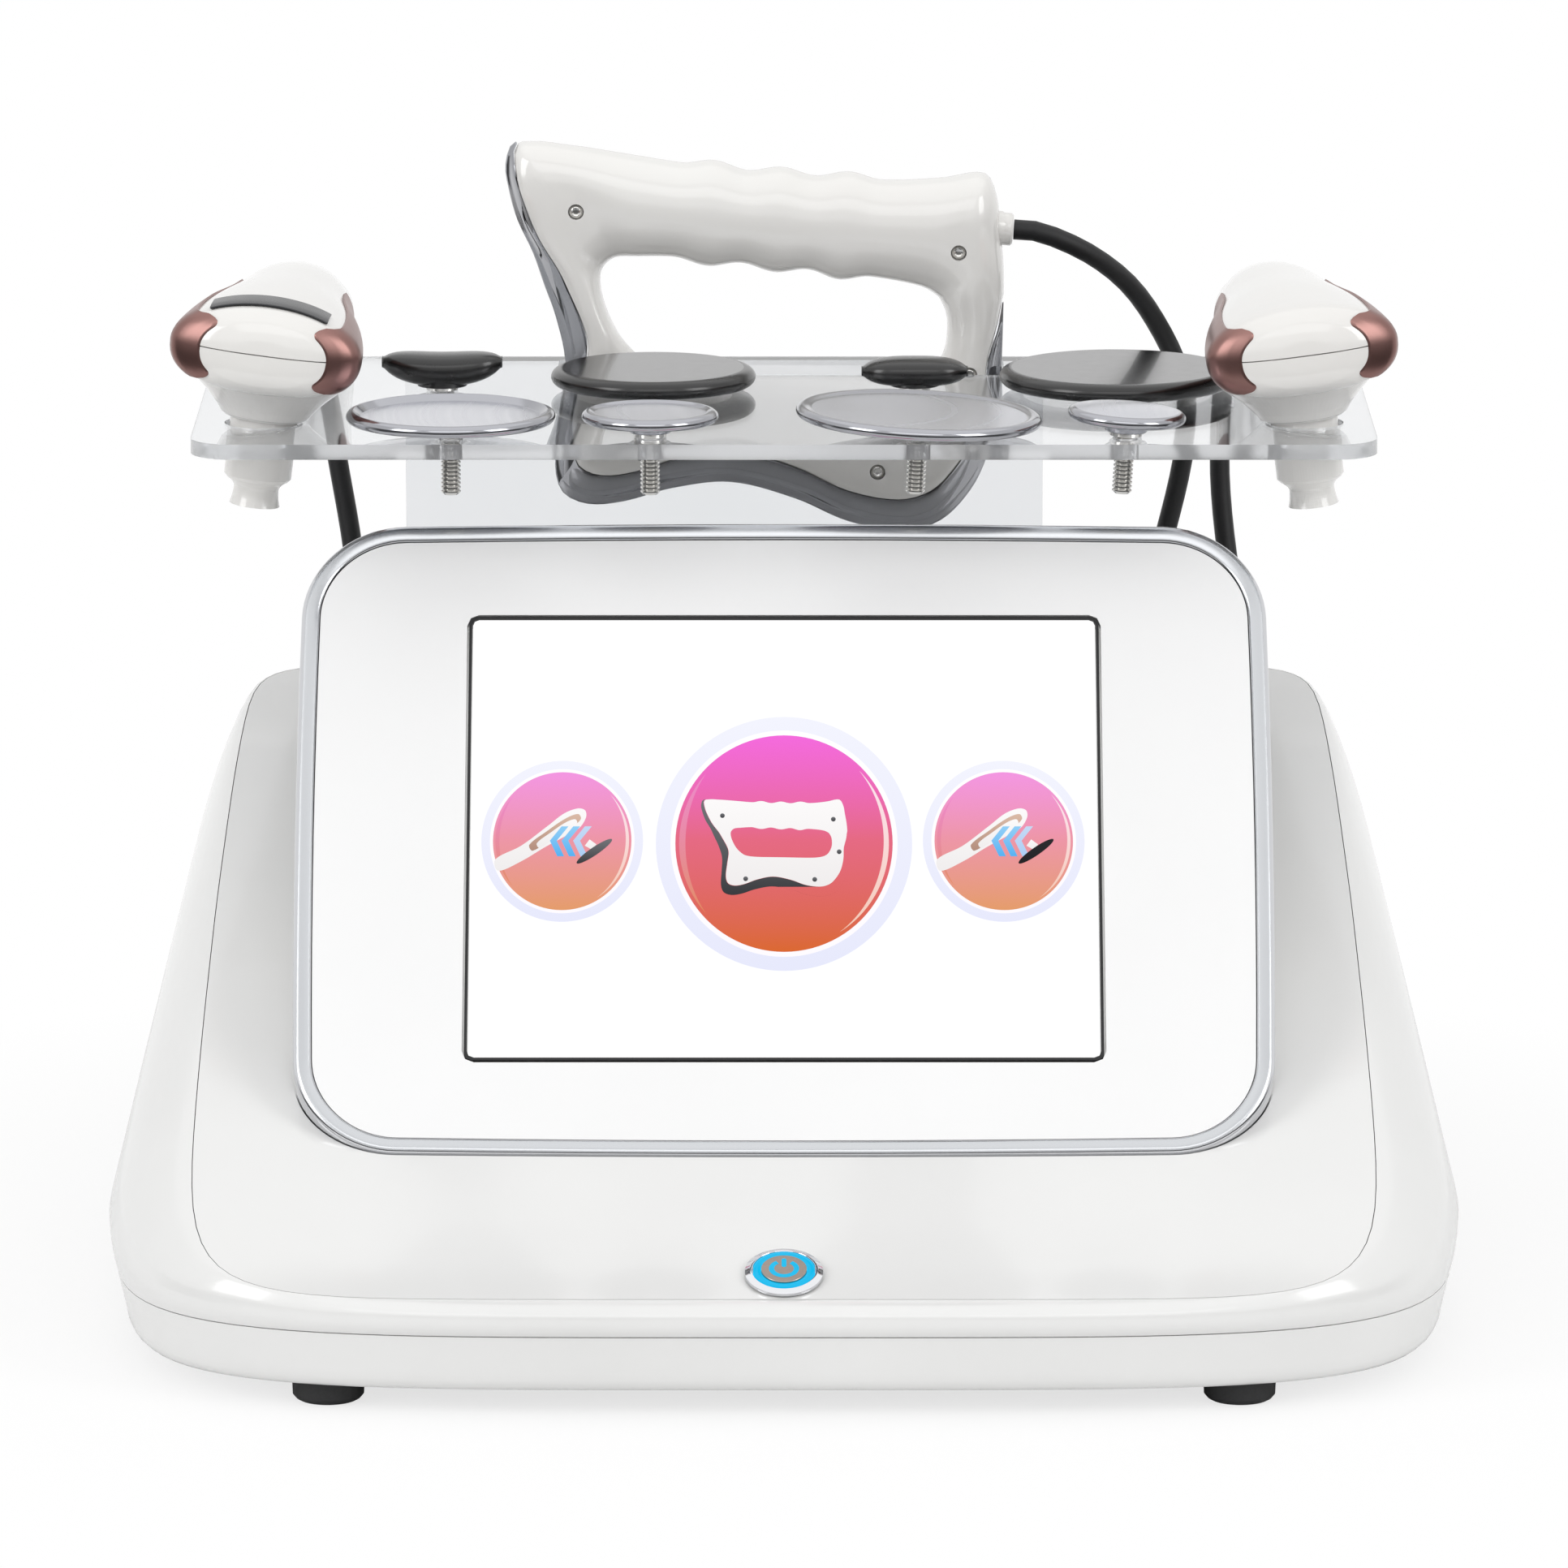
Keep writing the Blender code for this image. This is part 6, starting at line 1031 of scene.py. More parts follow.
def coil_path(centre_x, side):
    """Four and a quarter real loops in two layers; side -1 starts at the coil's left, 1 at its right."""
    floor = LEAD_RADIUS + COIL_FLOOR_GAP
    middle = COIL_TURNS / 2
    path = []
    for step in range(round(COIL_TURNS * COIL_TURN_POINTS) + 1):
        turn = step / COIL_TURN_POINTS
        radius = COIL_OUTER_RADIUS - COIL_PITCH * (middle - abs(turn - middle))
        climb = eased((turn - middle) / COIL_CLIMB_TURNS + COIL_CLIMB_MIDDLE_SHARE)
        angle = 2 * math.pi * turn * side + (math.pi if side < 0 else 0.0)
        path.append(Vector((centre_x + radius * math.cos(angle), COIL_CENTRE_Y + radius * math.sin(angle),
                            floor + COIL_LAYER_RISE * climb)))
    start = path[0] - Vector((0.0, COIL_END_STRAIGHT, 0.0))
    end = path[-1] + Vector((-side * COIL_END_STRAIGHT, 0.0, 0.0))
    return [start, *path, end]


def lead_starts():
    """Start point and direction of each lead's drop, at the back of its handle."""
    starts = []
    tail = handpiece_stations()[-1]
    for side in (-1, 1):
        matrix = handpiece_matrix(side)
        tip = matrix @ Vector((0.0, tail[0] + FIT_GAP + BOOT_LENGTH + FIT_GAP, tail[2]))
        starts.append((tip, matrix.to_3x3() @ Vector((0.0, 1.0, 0.0))))
    matrix = scraper_matrix()
    tip = matrix @ Vector((COLLAR_END + FIT_GAP, 0.0, COLLAR_V))
    starts.insert(1, (tip, matrix.to_3x3() @ Vector((1.0, 0.0, 0.0))))
    return starts


def gland_x(row):
    """x of a lead's gland, row 0 to 2 from the left."""
    return GLAND_CENTRE_X + (row - 1) * GLAND_SPACING


def gland_tip_y():
    return HOUSING_BACK + FIT_GAP + GLAND_PLATE_THICKNESS + GLAND_NUT_LENGTH + GLAND_TAIL_LENGTH


def make_leads():
    names = ("left_handpiece_lead", "scraper_lead", "right_handpiece_lead")
    for row, (name, (tip, way), side) in enumerate(zip(names, lead_starts(), (-1, 1, 1))):
        coil = coil_path(COIL_CENTRES_X[row], side)
        drop = guided_path(tip, way, DROP_ROUTES[row], coil[0], (0.0, 1.0, 0.0), LEAD_POINT_SPACING)
        gland = Vector((gland_x(row), gland_tip_y() + FIT_GAP, GLAND_Z))
        rise = guided_path(coil[-1], (-side, 0.0, 0.0), RISE_ROUTES[row], gland, (0.0, -1.0, 0.0),
                           LEAD_POINT_SPACING)
        path = [FOOTPRINT_SHIFT @ point for point in reversed(drop + coil[1:-1] + rise)]
        curve = poly_curve(name, "3D", [path])
        curve.bevel_depth = LEAD_RADIUS
        curve.bevel_resolution = 4
        curve.use_fill_caps = True
        curve.materials.append(SILICONE)
        lead = put(name, curve)
        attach(lead, "machine")
        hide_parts(name + "_drop", name + "_coil", name + "_rise")
        ties = [make_tie(name, row, count) for count in range(2)]


def make_tie(name, row, count):
    """A hook-and-loop strap round the coil's turns."""
    inner = COIL_OUTER_RADIUS - COIL_PITCH * COIL_TURNS / 2 - LEAD_RADIUS - STRAP_ROOM
    outer = COIL_OUTER_RADIUS + LEAD_RADIUS + STRAP_OUTER_ROOM
    top = 2 * LEAD_RADIUS + COIL_LAYER_RISE + STRAP_ROOM
    loop = rounded_rectangle((inner, STRAP_FLOOR_GAP), (outer, top), (STRAP_CORNER,) * 4, 6)
    hole = rounded_rectangle((inner + STRAP_THICKNESS, STRAP_INNER_FLOOR),
                             (outer - STRAP_THICKNESS, top - STRAP_THICKNESS), (STRAP_INNER_CORNER,) * 4, 6)
    strap = slab([loop, hole], -STRAP_HALF_WIDTH, STRAP_HALF_WIDTH)
    upright = Matrix.Rotation(math.pi / 2, 4, "X")
    around = Matrix.Rotation(math.radians(STRAP_ANGLES[count]), 4, "Z")
    matrix = Matrix.Translation((COIL_CENTRES_X[row], COIL_CENTRE_Y, 0.0)) @ around @ upright
    return show(f"{name}_tie_{count + 1}", strap, STRAP, "machine", matrix)


# Hook-and-loop strap round the coils: matt black with a short pile
STRAP = grained("hook_and_loop_strap", "#131314", "#222224", 0.85, 0.0006, 0.0002)
make_leads()


# Generator housing

def box_mesh(name, size, centre):
    """A box by its size and its centre."""
    mesh = bpy.data.meshes.new(name)
    with editing(mesh) as work:
        bmesh.ops.create_cube(work, size=1.0, matrix=Matrix.Translation(centre) @ Matrix.Diagonal((*size, 1.0)))
    return mesh


def rod_mesh(name, radius, start, end, steps):
    """A cylinder between two points."""
    start, end = Vector(start), Vector(end)
    axis = end - start
    turn = axis.to_track_quat("Z", "Y").to_matrix().to_4x4()
    mesh = bpy.data.meshes.new(name)
    with editing(mesh) as work:
        bmesh.ops.create_cone(work, cap_ends=True, cap_tris=False, segments=steps, radius1=radius,
                              radius2=radius, depth=axis.length,
                              matrix=Matrix.Translation((start + end) / 2) @ turn)
    return mesh


def deck_height(y):
    """Height of the sloping deck at y: one cubic from the front lip to the crest."""
    start = (-DECK_FRONT, DECK_FRONT_HEIGHT)
    end = (DECK_END, DECK_BACK_HEIGHT)
    first = (start[0] + DECK_FRONT_HANDLE, start[1] + DECK_FRONT_RISE)
    second = (end[0] - DECK_BACK_HANDLE, end[1] - DECK_BACK_DROP)
    low, high = 0.0, 1.0
    y = min(max(y, start[0]), end[0])
    for _ in range(SOLVER_STEPS):
        middle = (low + high) / 2
        if bezier(start[0], first[0], second[0], end[0], middle) < y:
            low = middle
        else:
            high = middle
    return bezier(start[1], first[1], second[1], end[1], low)


def deck_slope(y):
    """Slope of the deck at y, as an angle."""
    return math.atan2(deck_height(y + CUT_OVERRUN) - deck_height(y - CUT_OVERRUN), 2 * CUT_OVERRUN)


def plan_outline(half_width, front, back, front_exponent, back_exponent, back_taper=0.0):
    """Rounded plan outline, clockwise from the front centre seen from below, denser at the corners."""
    dense = []
    for step in range(SOLVER_STEPS * HOUSING_POINTS // 2 + 1):
        angle = -math.pi / 2 + 2 * math.pi * step / (SOLVER_STEPS * HOUSING_POINTS // 2)
        reach, power = (front, front_exponent) if math.sin(angle) < 0 else (back, back_exponent)
        x = half_width * signed_power(math.cos(angle), 2 / power)
        y = reach * signed_power(math.sin(angle), 2 / power)
        x *= 1 - back_taper / half_width * ((y + front) / (front + back)) ** 2
        dense.append(Vector((x, y, 0.0)))
    weights = [0.0]
    for index in range(1, len(dense)):
        before, here = dense[index - 1], dense[index]
        after = dense[(index + 1) % (len(dense) - 1)]
        length = (here - before).length
        turn = (here - before).angle(after - here, 0.0) if (after - here).length > 0 else 0.0
        weights.append(weights[-1] + length + CORNER_WEIGHT * turn)
    outline = []
    index = 0
    for step in range(HOUSING_POINTS):
        target = weights[-1] * step / HOUSING_POINTS
        while index < len(dense) - 2 and weights[index + 1] < target:
            index += 1
        span = max(weights[index + 1] - weights[index], MERGE_DISTANCE)
        outline.append(dense[index].lerp(dense[index + 1], (target - weights[index]) / span))
    return outline


def outward_normals(outline):
    normals = []
    for index in range(len(outline)):
        along = outline[(index + 1) % len(outline)] - outline[index - 1]
        normals.append(Vector((along.y, -along.x, 0.0)).normalized())
    return normals


def moved_in(outline, inset):
    """An outline moved inward, square to itself."""
    return [point - away * inset for point, away in zip(outline, outward_normals(outline))]


def outer_outline(inset=0.0):
    return moved_in(plan_outline(HOUSING_HALF_WIDTH, HOUSING_FRONT, HOUSING_BACK, FRONT_EXPONENT,
                                 BACK_EXPONENT), inset)


def deck_outline(inset=0.0):
    return moved_in(plan_outline(DECK_HALF_WIDTH, DECK_FRONT, DECK_BACK, DECK_FRONT_EXPONENT,
                                 DECK_BACK_EXPONENT, DECK_BACK_TAPER), inset)


def on_deck(outline, drop=0.0):
    """Put an outline on the deck, or a distance below it, square to its slope."""
    points = []
    for point in outline:
        slope = deck_slope(point.y)
        points.append(Vector((point.x, point.y + drop * math.sin(slope),
                              deck_height(point.y) - drop * math.cos(slope))))
    return points


def bulge_height(y):
    """Height of the wall's widest line above the parting line."""
    rise = min(BULGE_RISE, BULGE_RISE_SHARE * (deck_height(y) - PARTING_HEIGHT))
    return PARTING_HEIGHT + rise


def drafted(point, rise):
    """A point of the wall, raised along the draft of the sides, which narrows the outline."""
    share = rise * math.tan(SIDE_DRAFT) / HOUSING_HALF_WIDTH
    return Vector((point.x * (1 - share), point.y, point.z + rise))


def shoulder_start(low, top):
    """Where the drafted side wall ends and its rounding to the deck begins."""
    height = top.z - low.z
    return drafted(low, height - min(SHOULDER_DROP, SHOULDER_DROP_SHARE * height))


def pod_matrix():
    """Pod frame: x to the right, y up along the screen, z out of the screen, origin at the bottom edge."""
    turn = Matrix.Rotation(math.pi / 2 - POD_LEAN, 4, "X")
    return Matrix.Translation((0.0, POD_BOTTOM_Y, POD_BOTTOM_Z)) @ turn


def pod_loop(inset=0.0):
    """The pod's outline: round corners joined by slightly bowed sides."""
    half_width = POD_WIDTH / 2 - inset
    low, high = inset, POD_HEIGHT - inset
    radius = max(POD_CORNER - inset, POD_CORNER / 3)
    corners = ((half_width - radius, low + radius, -math.pi / 2), (half_width - radius, high - radius, 0.0),
               (radius - half_width, high - radius, math.pi / 2), (radius - half_width, low + radius, math.pi))
    loop = []
    for x, y, start in corners:
        for step in range(POD_CORNER_STEPS + 1):
            angle = start + step / POD_CORNER_STEPS * math.pi / 2
            loop.append(Vector((x + radius * math.cos(angle), y + radius * math.sin(angle))))
        for step in range(1, POD_BOW_STEPS):
            share = step / POD_BOW_STEPS
            loop.append(side_point((x, y, start), radius, half_width, (low, high), share))
    return [bowed(point, half_width, (low + high) / 2, (high - low) / 2) for point in loop]


def side_point(corner, radius, half_width, limits, share):
    """A point on the straight side that follows a corner."""
    x, y, start = corner
    angle = start + math.pi / 2
    here = Vector((x + radius * math.cos(angle), y + radius * math.sin(angle)))
    run_x = 2 * (half_width - radius)
    run_y = limits[1] - limits[0] - 2 * radius
    along = Vector((-math.sin(angle), math.cos(angle)))
    length = run_x if abs(along.x) > abs(along.y) else run_y
    return here + along * length * share


def bowed(point, half_width, middle, half_height):
    """Draw a point of the pod's outline in, so that its sides bow outward in their middles."""
    across = max(0.0, 1 - (point.x / half_width) ** 2)
    along = max(0.0, 1 - ((point.y - middle) / half_height) ** 2)
    x = point.x - math.copysign(POD_BOW * (1 - along), point.x) * (abs(point.x) / half_width) ** 2
    y = point.y - math.copysign(POD_BOW * (1 - across), point.y - middle) * (
        abs(point.y - middle) / half_height) ** 2
    return Vector((x, y))


def pod_ring(inset, height):
    """The pod's outline at a height above its screen."""
    return [Vector((point.x, point.y, height)) for point in pod_loop(inset)]


def display_rectangle(grow=0.0, corner=DISPLAY_CORNER):
    middle = POD_HEIGHT / 2
    low = (-DISPLAY_WIDTH / 2 - grow, middle - DISPLAY_HEIGHT / 2 - grow)
    high = (DISPLAY_WIDTH / 2 + grow, middle + DISPLAY_HEIGHT / 2 + grow)
    return rounded_rectangle(low, high, (corner + grow,) * 4, 2)


def shell_rings(grow=0.0):
    """The back shell's sections, from its open edge behind the fascia to its flat back."""
    front = -TRIM_DEPTH - FIT_GAP
    shoulder = front - SHELL_SHOULDER
    back = front - SHELL_DEPTH
    return [pod_ring(SHELL_EDGE_INSET - grow, front + grow),
            pod_ring(SHELL_EDGE_INSET - grow, front - SHELL_SHOULDER / 2),
            pod_ring(SHELL_SHOULDER_INSET - grow, shoulder), pod_ring(SHELL_BACK_INSET - grow, back - grow)]


def pod_plane_height(y, depth):
    """Height at y of the plane that lies the given depth behind the screen."""
    return POD_BOTTOM_Z + ((y - POD_BOTTOM_Y) * math.cos(POD_LEAN) - depth) / math.sin(POD_LEAN)


def pedestal_rings(grow=0.0):
    """The foot of the back shell, straight down through the deck; its top lies inside the shell."""
    loop = rounded_rectangle((-PEDESTAL_WIDTH / 2 - grow, PEDESTAL_FRONT_Y - grow),
                             (PEDESTAL_WIDTH / 2 + grow, PEDESTAL_BACK_Y + grow),
                             (PEDESTAL_CORNER + grow,) * 4, 3)
    return [[Vector((x, y, PEDESTAL_BOTTOM_Z)) for x, y in loop],
            [Vector((x, y, pod_plane_height(y, PEDESTAL_SINK))) for x, y in loop]]


def button_matrix():
    """Button frame: origin on the deck, z square to the deck."""
    place = (0.0, BUTTON_Y, deck_height(BUTTON_Y))
    return Matrix.Translation(place) @ Matrix.Rotation(deck_slope(BUTTON_Y), 4, "X")


def make_housing():
    bulge = outer_outline()
    groove = on_deck(deck_outline())
    low = [Vector((p.x, p.y, bulge_height(g.y))) for p, g in zip(bulge, groove)]
    start = [shoulder_start(*pair) for pair in zip(low, groove)]
    rings = []
    for depth, share in PARTING_CURVE:
        rings.append([Vector((p.x, p.y, PARTING_HEIGHT + FIT_GAP + (edge.z - PARTING_HEIGHT) * share))
                      for p, edge in zip(outer_outline(PARTING_INSET * depth), low)])
    rings.append(low)
    rings.append([a.lerp(b, 0.5) for a, b in zip(low, start)])
    rings.append(start)
    for step in range(1, SHOULDER_STEPS):
        ring = []
        for begin, top in zip(start, groove):
            first = drafted(begin, (top.z - begin.z) * SHOULDER_LIFT_SHARE)
            second = top + (Vector((begin.x, begin.y, top.z)) - top) * SHOULDER_REACH_SHARE
            ring.append(bezier(begin, first, second, top, step / SHOULDER_STEPS))
        rings.append(ring)
    rings.append(groove)
    recess = COVER_THICKNESS + COVER_SEAT_GAP
    rings.append(on_deck(deck_outline(), recess))
    rings.append(on_deck(deck_outline(LEDGE_WIDTH), recess))
    shell = show("housing_upper", loft("housing_upper", rings, caps=False), GLOSS_ABS, "machine",
                 nodes=["upper_housing"])
    wall(shell, HOUSING_WALL)
    cuts = [button_hole()]
    cuts += [rear_rod(GLAND_BARREL_RADIUS + FIT_GAP, gland_x(row), GLAND_Z) for row in range(3)]
    cuts += [rear_rod(PLATE_SCREW_RADIUS + FIT_GAP, x, PLATE_SCREW_Z) for x in plate_screws()]
    cuts.append(box_mesh("inlet_hole", (INLET_BODY_WIDTH + 2 * FIT_GAP, 0.05, INLET_BODY_HEIGHT + 2 * FIT_GAP),
                         (INLET_X, HOUSING_BACK, INLET_Z)))
    combine(shell, cuts)
    return soften(shell, 0.0001)


def button_hole():
    """A cutter for the push button's barrel."""
    hole = turned([(0.0, CUT_OVERRUN), (BARREL_RADIUS + FIT_GAP, CUT_OVERRUN),
                   (BARREL_RADIUS + FIT_GAP, -BARREL_LENGTH), (0.0, -BARREL_LENGTH)], 48)
    hole.transform(button_matrix())
    return hole


def plate_screws():
    """x of the left and the right rack screw."""
    return [PLATE_CENTRE_X + side * PLATE_SCREW_X for side in (-1, 1)]


def rear_rod(radius, x, z):
    """A cutter for a round hole in the rear wall."""
    return rod_mesh("rear_rod", radius, (x, HOUSING_BACK - REAR_CUT, z), (x, HOUSING_BACK + REAR_CUT, z), 32)


def make_tray():
    levels = [(TRAY_EDGE_INSET, FOOT_HEIGHT)]
    for share in TRAY_EDGE_SHARES:
        rise = math.sin(share * math.pi / 2)
        levels.append((TRAY_EDGE_INSET + (TRAY_EDGE_SIDE_INSET - TRAY_EDGE_INSET) * rise,
                       FOOT_HEIGHT + TRAY_EDGE_RISE * (1 - math.cos(share * math.pi / 2))))
    levels.append((PARTING_INSET, PARTING_HEIGHT))
    rings = [[Vector((p.x, p.y, height)) for p in outer_outline(inset)] for inset, height in levels]
    floor = [Vector((p.x * TRAY_FLOOR_SHARE, p.y * TRAY_FLOOR_SHARE, FOOT_HEIGHT))
             for p in outer_outline(TRAY_EDGE_INSET)]
    mesh = closed_by(loft("housing_tray", [floor, *rings], caps=False), reversed(range(HOUSING_POINTS)))
    tray = show("housing_tray", mesh, GLOSS_ABS, "machine", nodes=["bottom_tray"])
    wall(tray, HOUSING_WALL)
    floor_height = FOOT_HEIGHT + HOUSING_WALL + FIT_GAP
    posts = [rod_mesh("board_post", BOARD_STANDOFF_RADIUS, (x, y, floor_height - BOSS_OVERLAP),
                      (x, y, floor_height + BOARD_STANDOFF), 20)
             for x in (BOARD_X - BOARD_LENGTH / 2 + BOARD_STANDOFF_INSET,
                       BOARD_X + BOARD_LENGTH / 2 - BOARD_STANDOFF_INSET)
             for y in (BOARD_Y - BOARD_WIDTH / 2 + BOARD_STANDOFF_INSET,
                       BOARD_Y + BOARD_WIDTH / 2 - BOARD_STANDOFF_INSET)]
    combine(tray, posts, "UNION")
    return soften(tray, 0.0001)


def make_cover():
    rings = [on_deck([point * share for point in deck_outline(COVER_GAP)]) for share in COVER_RING_SHARES]
    last = (len(rings) - 1) * HOUSING_POINTS
    mesh = closed_by(loft("top_cover", rings, caps=False), range(last, last + HOUSING_POINTS))
    cover = show("housing_cover", mesh, GLOSS_ABS, "machine", nodes=["top_cover"])
    wall(cover, COVER_THICKNESS)
    pod_room = cleaned(loft("pod_room", [pod_ring(-FIT_GAP, TRIM_PROUD + FIT_GAP),
                                         pod_ring(-FIT_GAP, -TRIM_DEPTH - FIT_GAP), *shell_rings(FIT_GAP)]))
    pod_room.transform(pod_matrix())
    combine(cover, [cleaned(loft("pedestal_room", pedestal_rings(FIT_GAP))), pod_room, button_hole()])
    return soften(cover, 0.0004)


def make_feet():
    top = FOOT_HEIGHT - FIT_GAP
    profile = [(0.0, top), (FOOT_TOP_RADIUS, top), (FOOT_TOP_RADIUS - FOOT_TAPER, FOOT_TAPER_HEIGHT),
               *[(FOOT_RADIUS - inset, height) for inset, height in FOOT_EDGE], (0.0, FOOT_HOLLOW)]
    for end, y in (("front", -FOOT_FRONT_Y), ("rear", FOOT_BACK_Y)):
        for hand, x in (("left", -FOOT_X), ("right", FOOT_X)):
            name = f"{end}_{hand}_foot"
            show(name + "_pad", turned(profile), FOOT_RUBBER, "machine", Matrix.Translation((x, y, 0.0)),
                 nodes=[name])


make_housing()
make_tray()
make_cover()
make_feet()


# Screen pod

POD = pod_matrix()
POD_MIDDLE = POD_HEIGHT / 2


def make_trim():
    rings = [pod_ring(0.0, -TRIM_DEPTH), pod_ring(0.0, TRIM_PROUD - TRIM_ROUND)]
    for step in range(1, TRIM_ROUND_STEPS + 1):
        angle = step / TRIM_ROUND_STEPS * math.pi / 2
        rings.append(pod_ring(TRIM_ROUND * (1 - math.cos(angle)),
                              TRIM_PROUD - TRIM_ROUND * (1 - math.sin(angle))))
    rings += [pod_ring(TRIM_WIDTH - inset, height) for inset, height in TRIM_LIP]
    rings.append(pod_ring(TRIM_WIDTH, -TRIM_DEPTH))
    mesh = cleaned(loft("trim", rings, closed_path=True))
    for face in mesh.polygons:
        face.material_index = int(face.normal.z > FLAT_FACING)
    show("pod_chrome_trim", mesh, [CHROME, SATIN_NICKEL], "machine", POD, ["chrome_trim_ring"])


def make_pod():
    make_trim()
    outer = [(point.x, point.y) for point in pod_loop(TRIM_WIDTH + FIT_GAP)]
    fascia = slab([outer, display_rectangle(GASKET_WIDTH + 2 * FIT_GAP)], -FASCIA_THICKNESS, 0.0)
    soften(show("pod_fascia", fascia, FASCIA_ABS, "machine", POD, ["screen_fascia"]), 0.00035)
    gasket = slab([display_rectangle(GASKET_WIDTH, DISPLAY_CORNER / 2), display_rectangle(FIT_GAP)],
                  GASKET_PROUD - FASCIA_THICKNESS, GASKET_PROUD)
    show("pod_display_gasket", gasket, SILICONE, "machine", POD, ["display_gasket"])
    panel = slab([display_rectangle()], -DISPLAY_THICKNESS, 0.0)
    show("pod_touch_panel", panel, PAGE, "machine", POD, ["touch_display"])
    front = -TRIM_DEPTH - FIT_GAP
    rings = [pod_ring(TRIM_WIDTH + FIT_GAP, -FASCIA_THICKNESS - FIT_GAP), pod_ring(TRIM_WIDTH + FIT_GAP, front),
             pod_ring(SHELL_EDGE_INSET, front), pod_ring(SHELL_EDGE_INSET, front - SHELL_SHOULDER / 2)]
    run = SHELL_DEPTH - SHELL_SHOULDER / 2
    for step in range(1, SHELL_STEPS + 1):
        share = step / SHELL_STEPS
        rings.append(pod_ring(SHELL_EDGE_INSET + (SHELL_BACK_INSET - SHELL_EDGE_INSET) * share ** SHELL_BOW,
                              front - SHELL_SHOULDER / 2 - run * share))
    shell = show("pod_back_shell", cleaned(loft("pod_back_shell", rings)), GLOSS_ABS, "machine", POD,
                 ["screen_back_shell"])
    pocket = box_mesh("display_pocket", (DISPLAY_WIDTH + POCKET_MARGIN, DISPLAY_HEIGHT + POCKET_MARGIN,
                                         POCKET_DEPTH + CUT_OVERRUN),
                      (0.0, POD_MIDDLE, -FASCIA_THICKNESS - (POCKET_DEPTH - CUT_OVERRUN) / 2))
    pocket.transform(POD)
    combine(shell, [cleaned(loft("pedestal", pedestal_rings()))], "UNION")
    combine(shell, [pocket])
    soften(shell, 0.0006)


# Lit page of the display, in thin layers over its glass

LAYER_RISE = 0.00004
LAYER_THICKNESS = 0.00003
CRESCENT_STEPS = 36
# Sizes of a button's white rim and of its gloss marks, as shares of its disc
RIM_SHARE = 1.045
MARK_SHARE = 0.965
# The pictograms are drawn in millimetres
MILLIMETRE = 0.001


def ellipse(centre, half_width, half_height, steps=96):
    return [(centre[0] + half_width * math.cos(2 * math.pi * step / steps),
             centre[1] + half_height * math.sin(2 * math.pi * step / steps)) for step in range(steps)]


def crescent(centre, half_width, half_height, start, end, depth):
    """A gloss mark along the rim of a disc, widest in its middle; its angles are in degrees."""
    outside, inside = [], []
    for step in range(CRESCENT_STEPS + 1):
        angle = math.radians(start + (end - start) * step / CRESCENT_STEPS)
        thin = 1 - depth * math.sin(math.pi * step / CRESCENT_STEPS)
        outside.append((centre[0] + half_width * math.cos(angle), centre[1] + half_height * math.sin(angle)))
        inside.append((centre[0] + half_width * thin * math.cos(angle),
                       centre[1] + half_height * thin * math.sin(angle)))
    return outside + inside[-2:0:-1]


def drawn(name, loops, finish, layer):
    """A flat shape of the page in its own layer, mapped from corner to corner for its colour run."""
    low = layer * LAYER_RISE
    mesh = slab(loops, low, low + LAYER_THICKNESS)
    corners = [vertex.co for vertex in mesh.vertices]
    x0, x1 = min(c.x for c in corners), max(c.x for c in corners)
    y0, y1 = min(c.y for c in corners), max(c.y for c in corners)
    while mesh.uv_layers:
        mesh.uv_layers.remove(mesh.uv_layers[0])
    layout = mesh.uv_layers.new(name="UVMap")
    for corner in mesh.loops:
        at = mesh.vertices[corner.vertex_index].co
        layout.data[corner.index].uv = ((at.x - x0) / (x1 - x0), (at.y - y0) / (y1 - y0))
    return show("display_" + name, mesh, finish, "machine", POD, smooth=False)


def button_art(name, centre, ring, disc, finish):
    """A round soft button: pale ring, white rim, coloured disc and its gloss."""
    drawn(name + "_ring", [ellipse(centre, *ring)], HALO, 0)
    drawn(name + "_rim", [ellipse(centre, disc[0] * RIM_SHARE, disc[1] * RIM_SHARE)], RIM, 1)
    drawn(name + "_disc", [ellipse(centre, *disc)], finish, 2)
    inner = (disc[0] * MARK_SHARE, disc[1] * MARK_SHARE)
    drawn(name + "_gloss", [crescent(centre, *inner, -58, 44, 0.05)], GLOSS_MARK, 3)
    drawn(name + "_shine", [crescent(centre, *inner, 138, 222, 0.06)], FAINT_MARK, 3)


def placed(loop, centre, scale, turn=0.0):
    """A flat loop scaled, turned and moved."""
    co, si = math.cos(turn), math.sin(turn)
    return [(centre[0] + scale * (x * co - y * si), centre[1] + scale * (x * si + y * co)) for x, y in loop]


def scraper_icon(centre, scale):
    """The scraper seen from the front: blade, white body with its opening, and screws."""
    stations = scraper_stations()
    body, tool = [], []
    for outer, inner, blade in stations:
        end = outer + (inner - outer).normalized() * blade
        body.append((end.x, end.y))
        tool.append((outer.x, outer.y))
    opening = [(inner.x, inner.y) for outer, inner, blade in stations]
    drawn("scraper_blade", [placed(tool, centre, scale), placed(body, centre, scale)], ICON_GREY, 4)
    drawn("scraper_body", [placed(body, centre, scale * 0.995), placed(opening, centre, scale)], ICON_WHITE, 5)
    for row, (u, v, _) in enumerate(scraper_screws()):
        spot = (centre[0] + u * scale, centre[1] + v * scale)
        drawn(f"scraper_screw_{row + 1}", [ellipse(spot, 0.0007, 0.00075, 20)], ICON_GREY, 6)


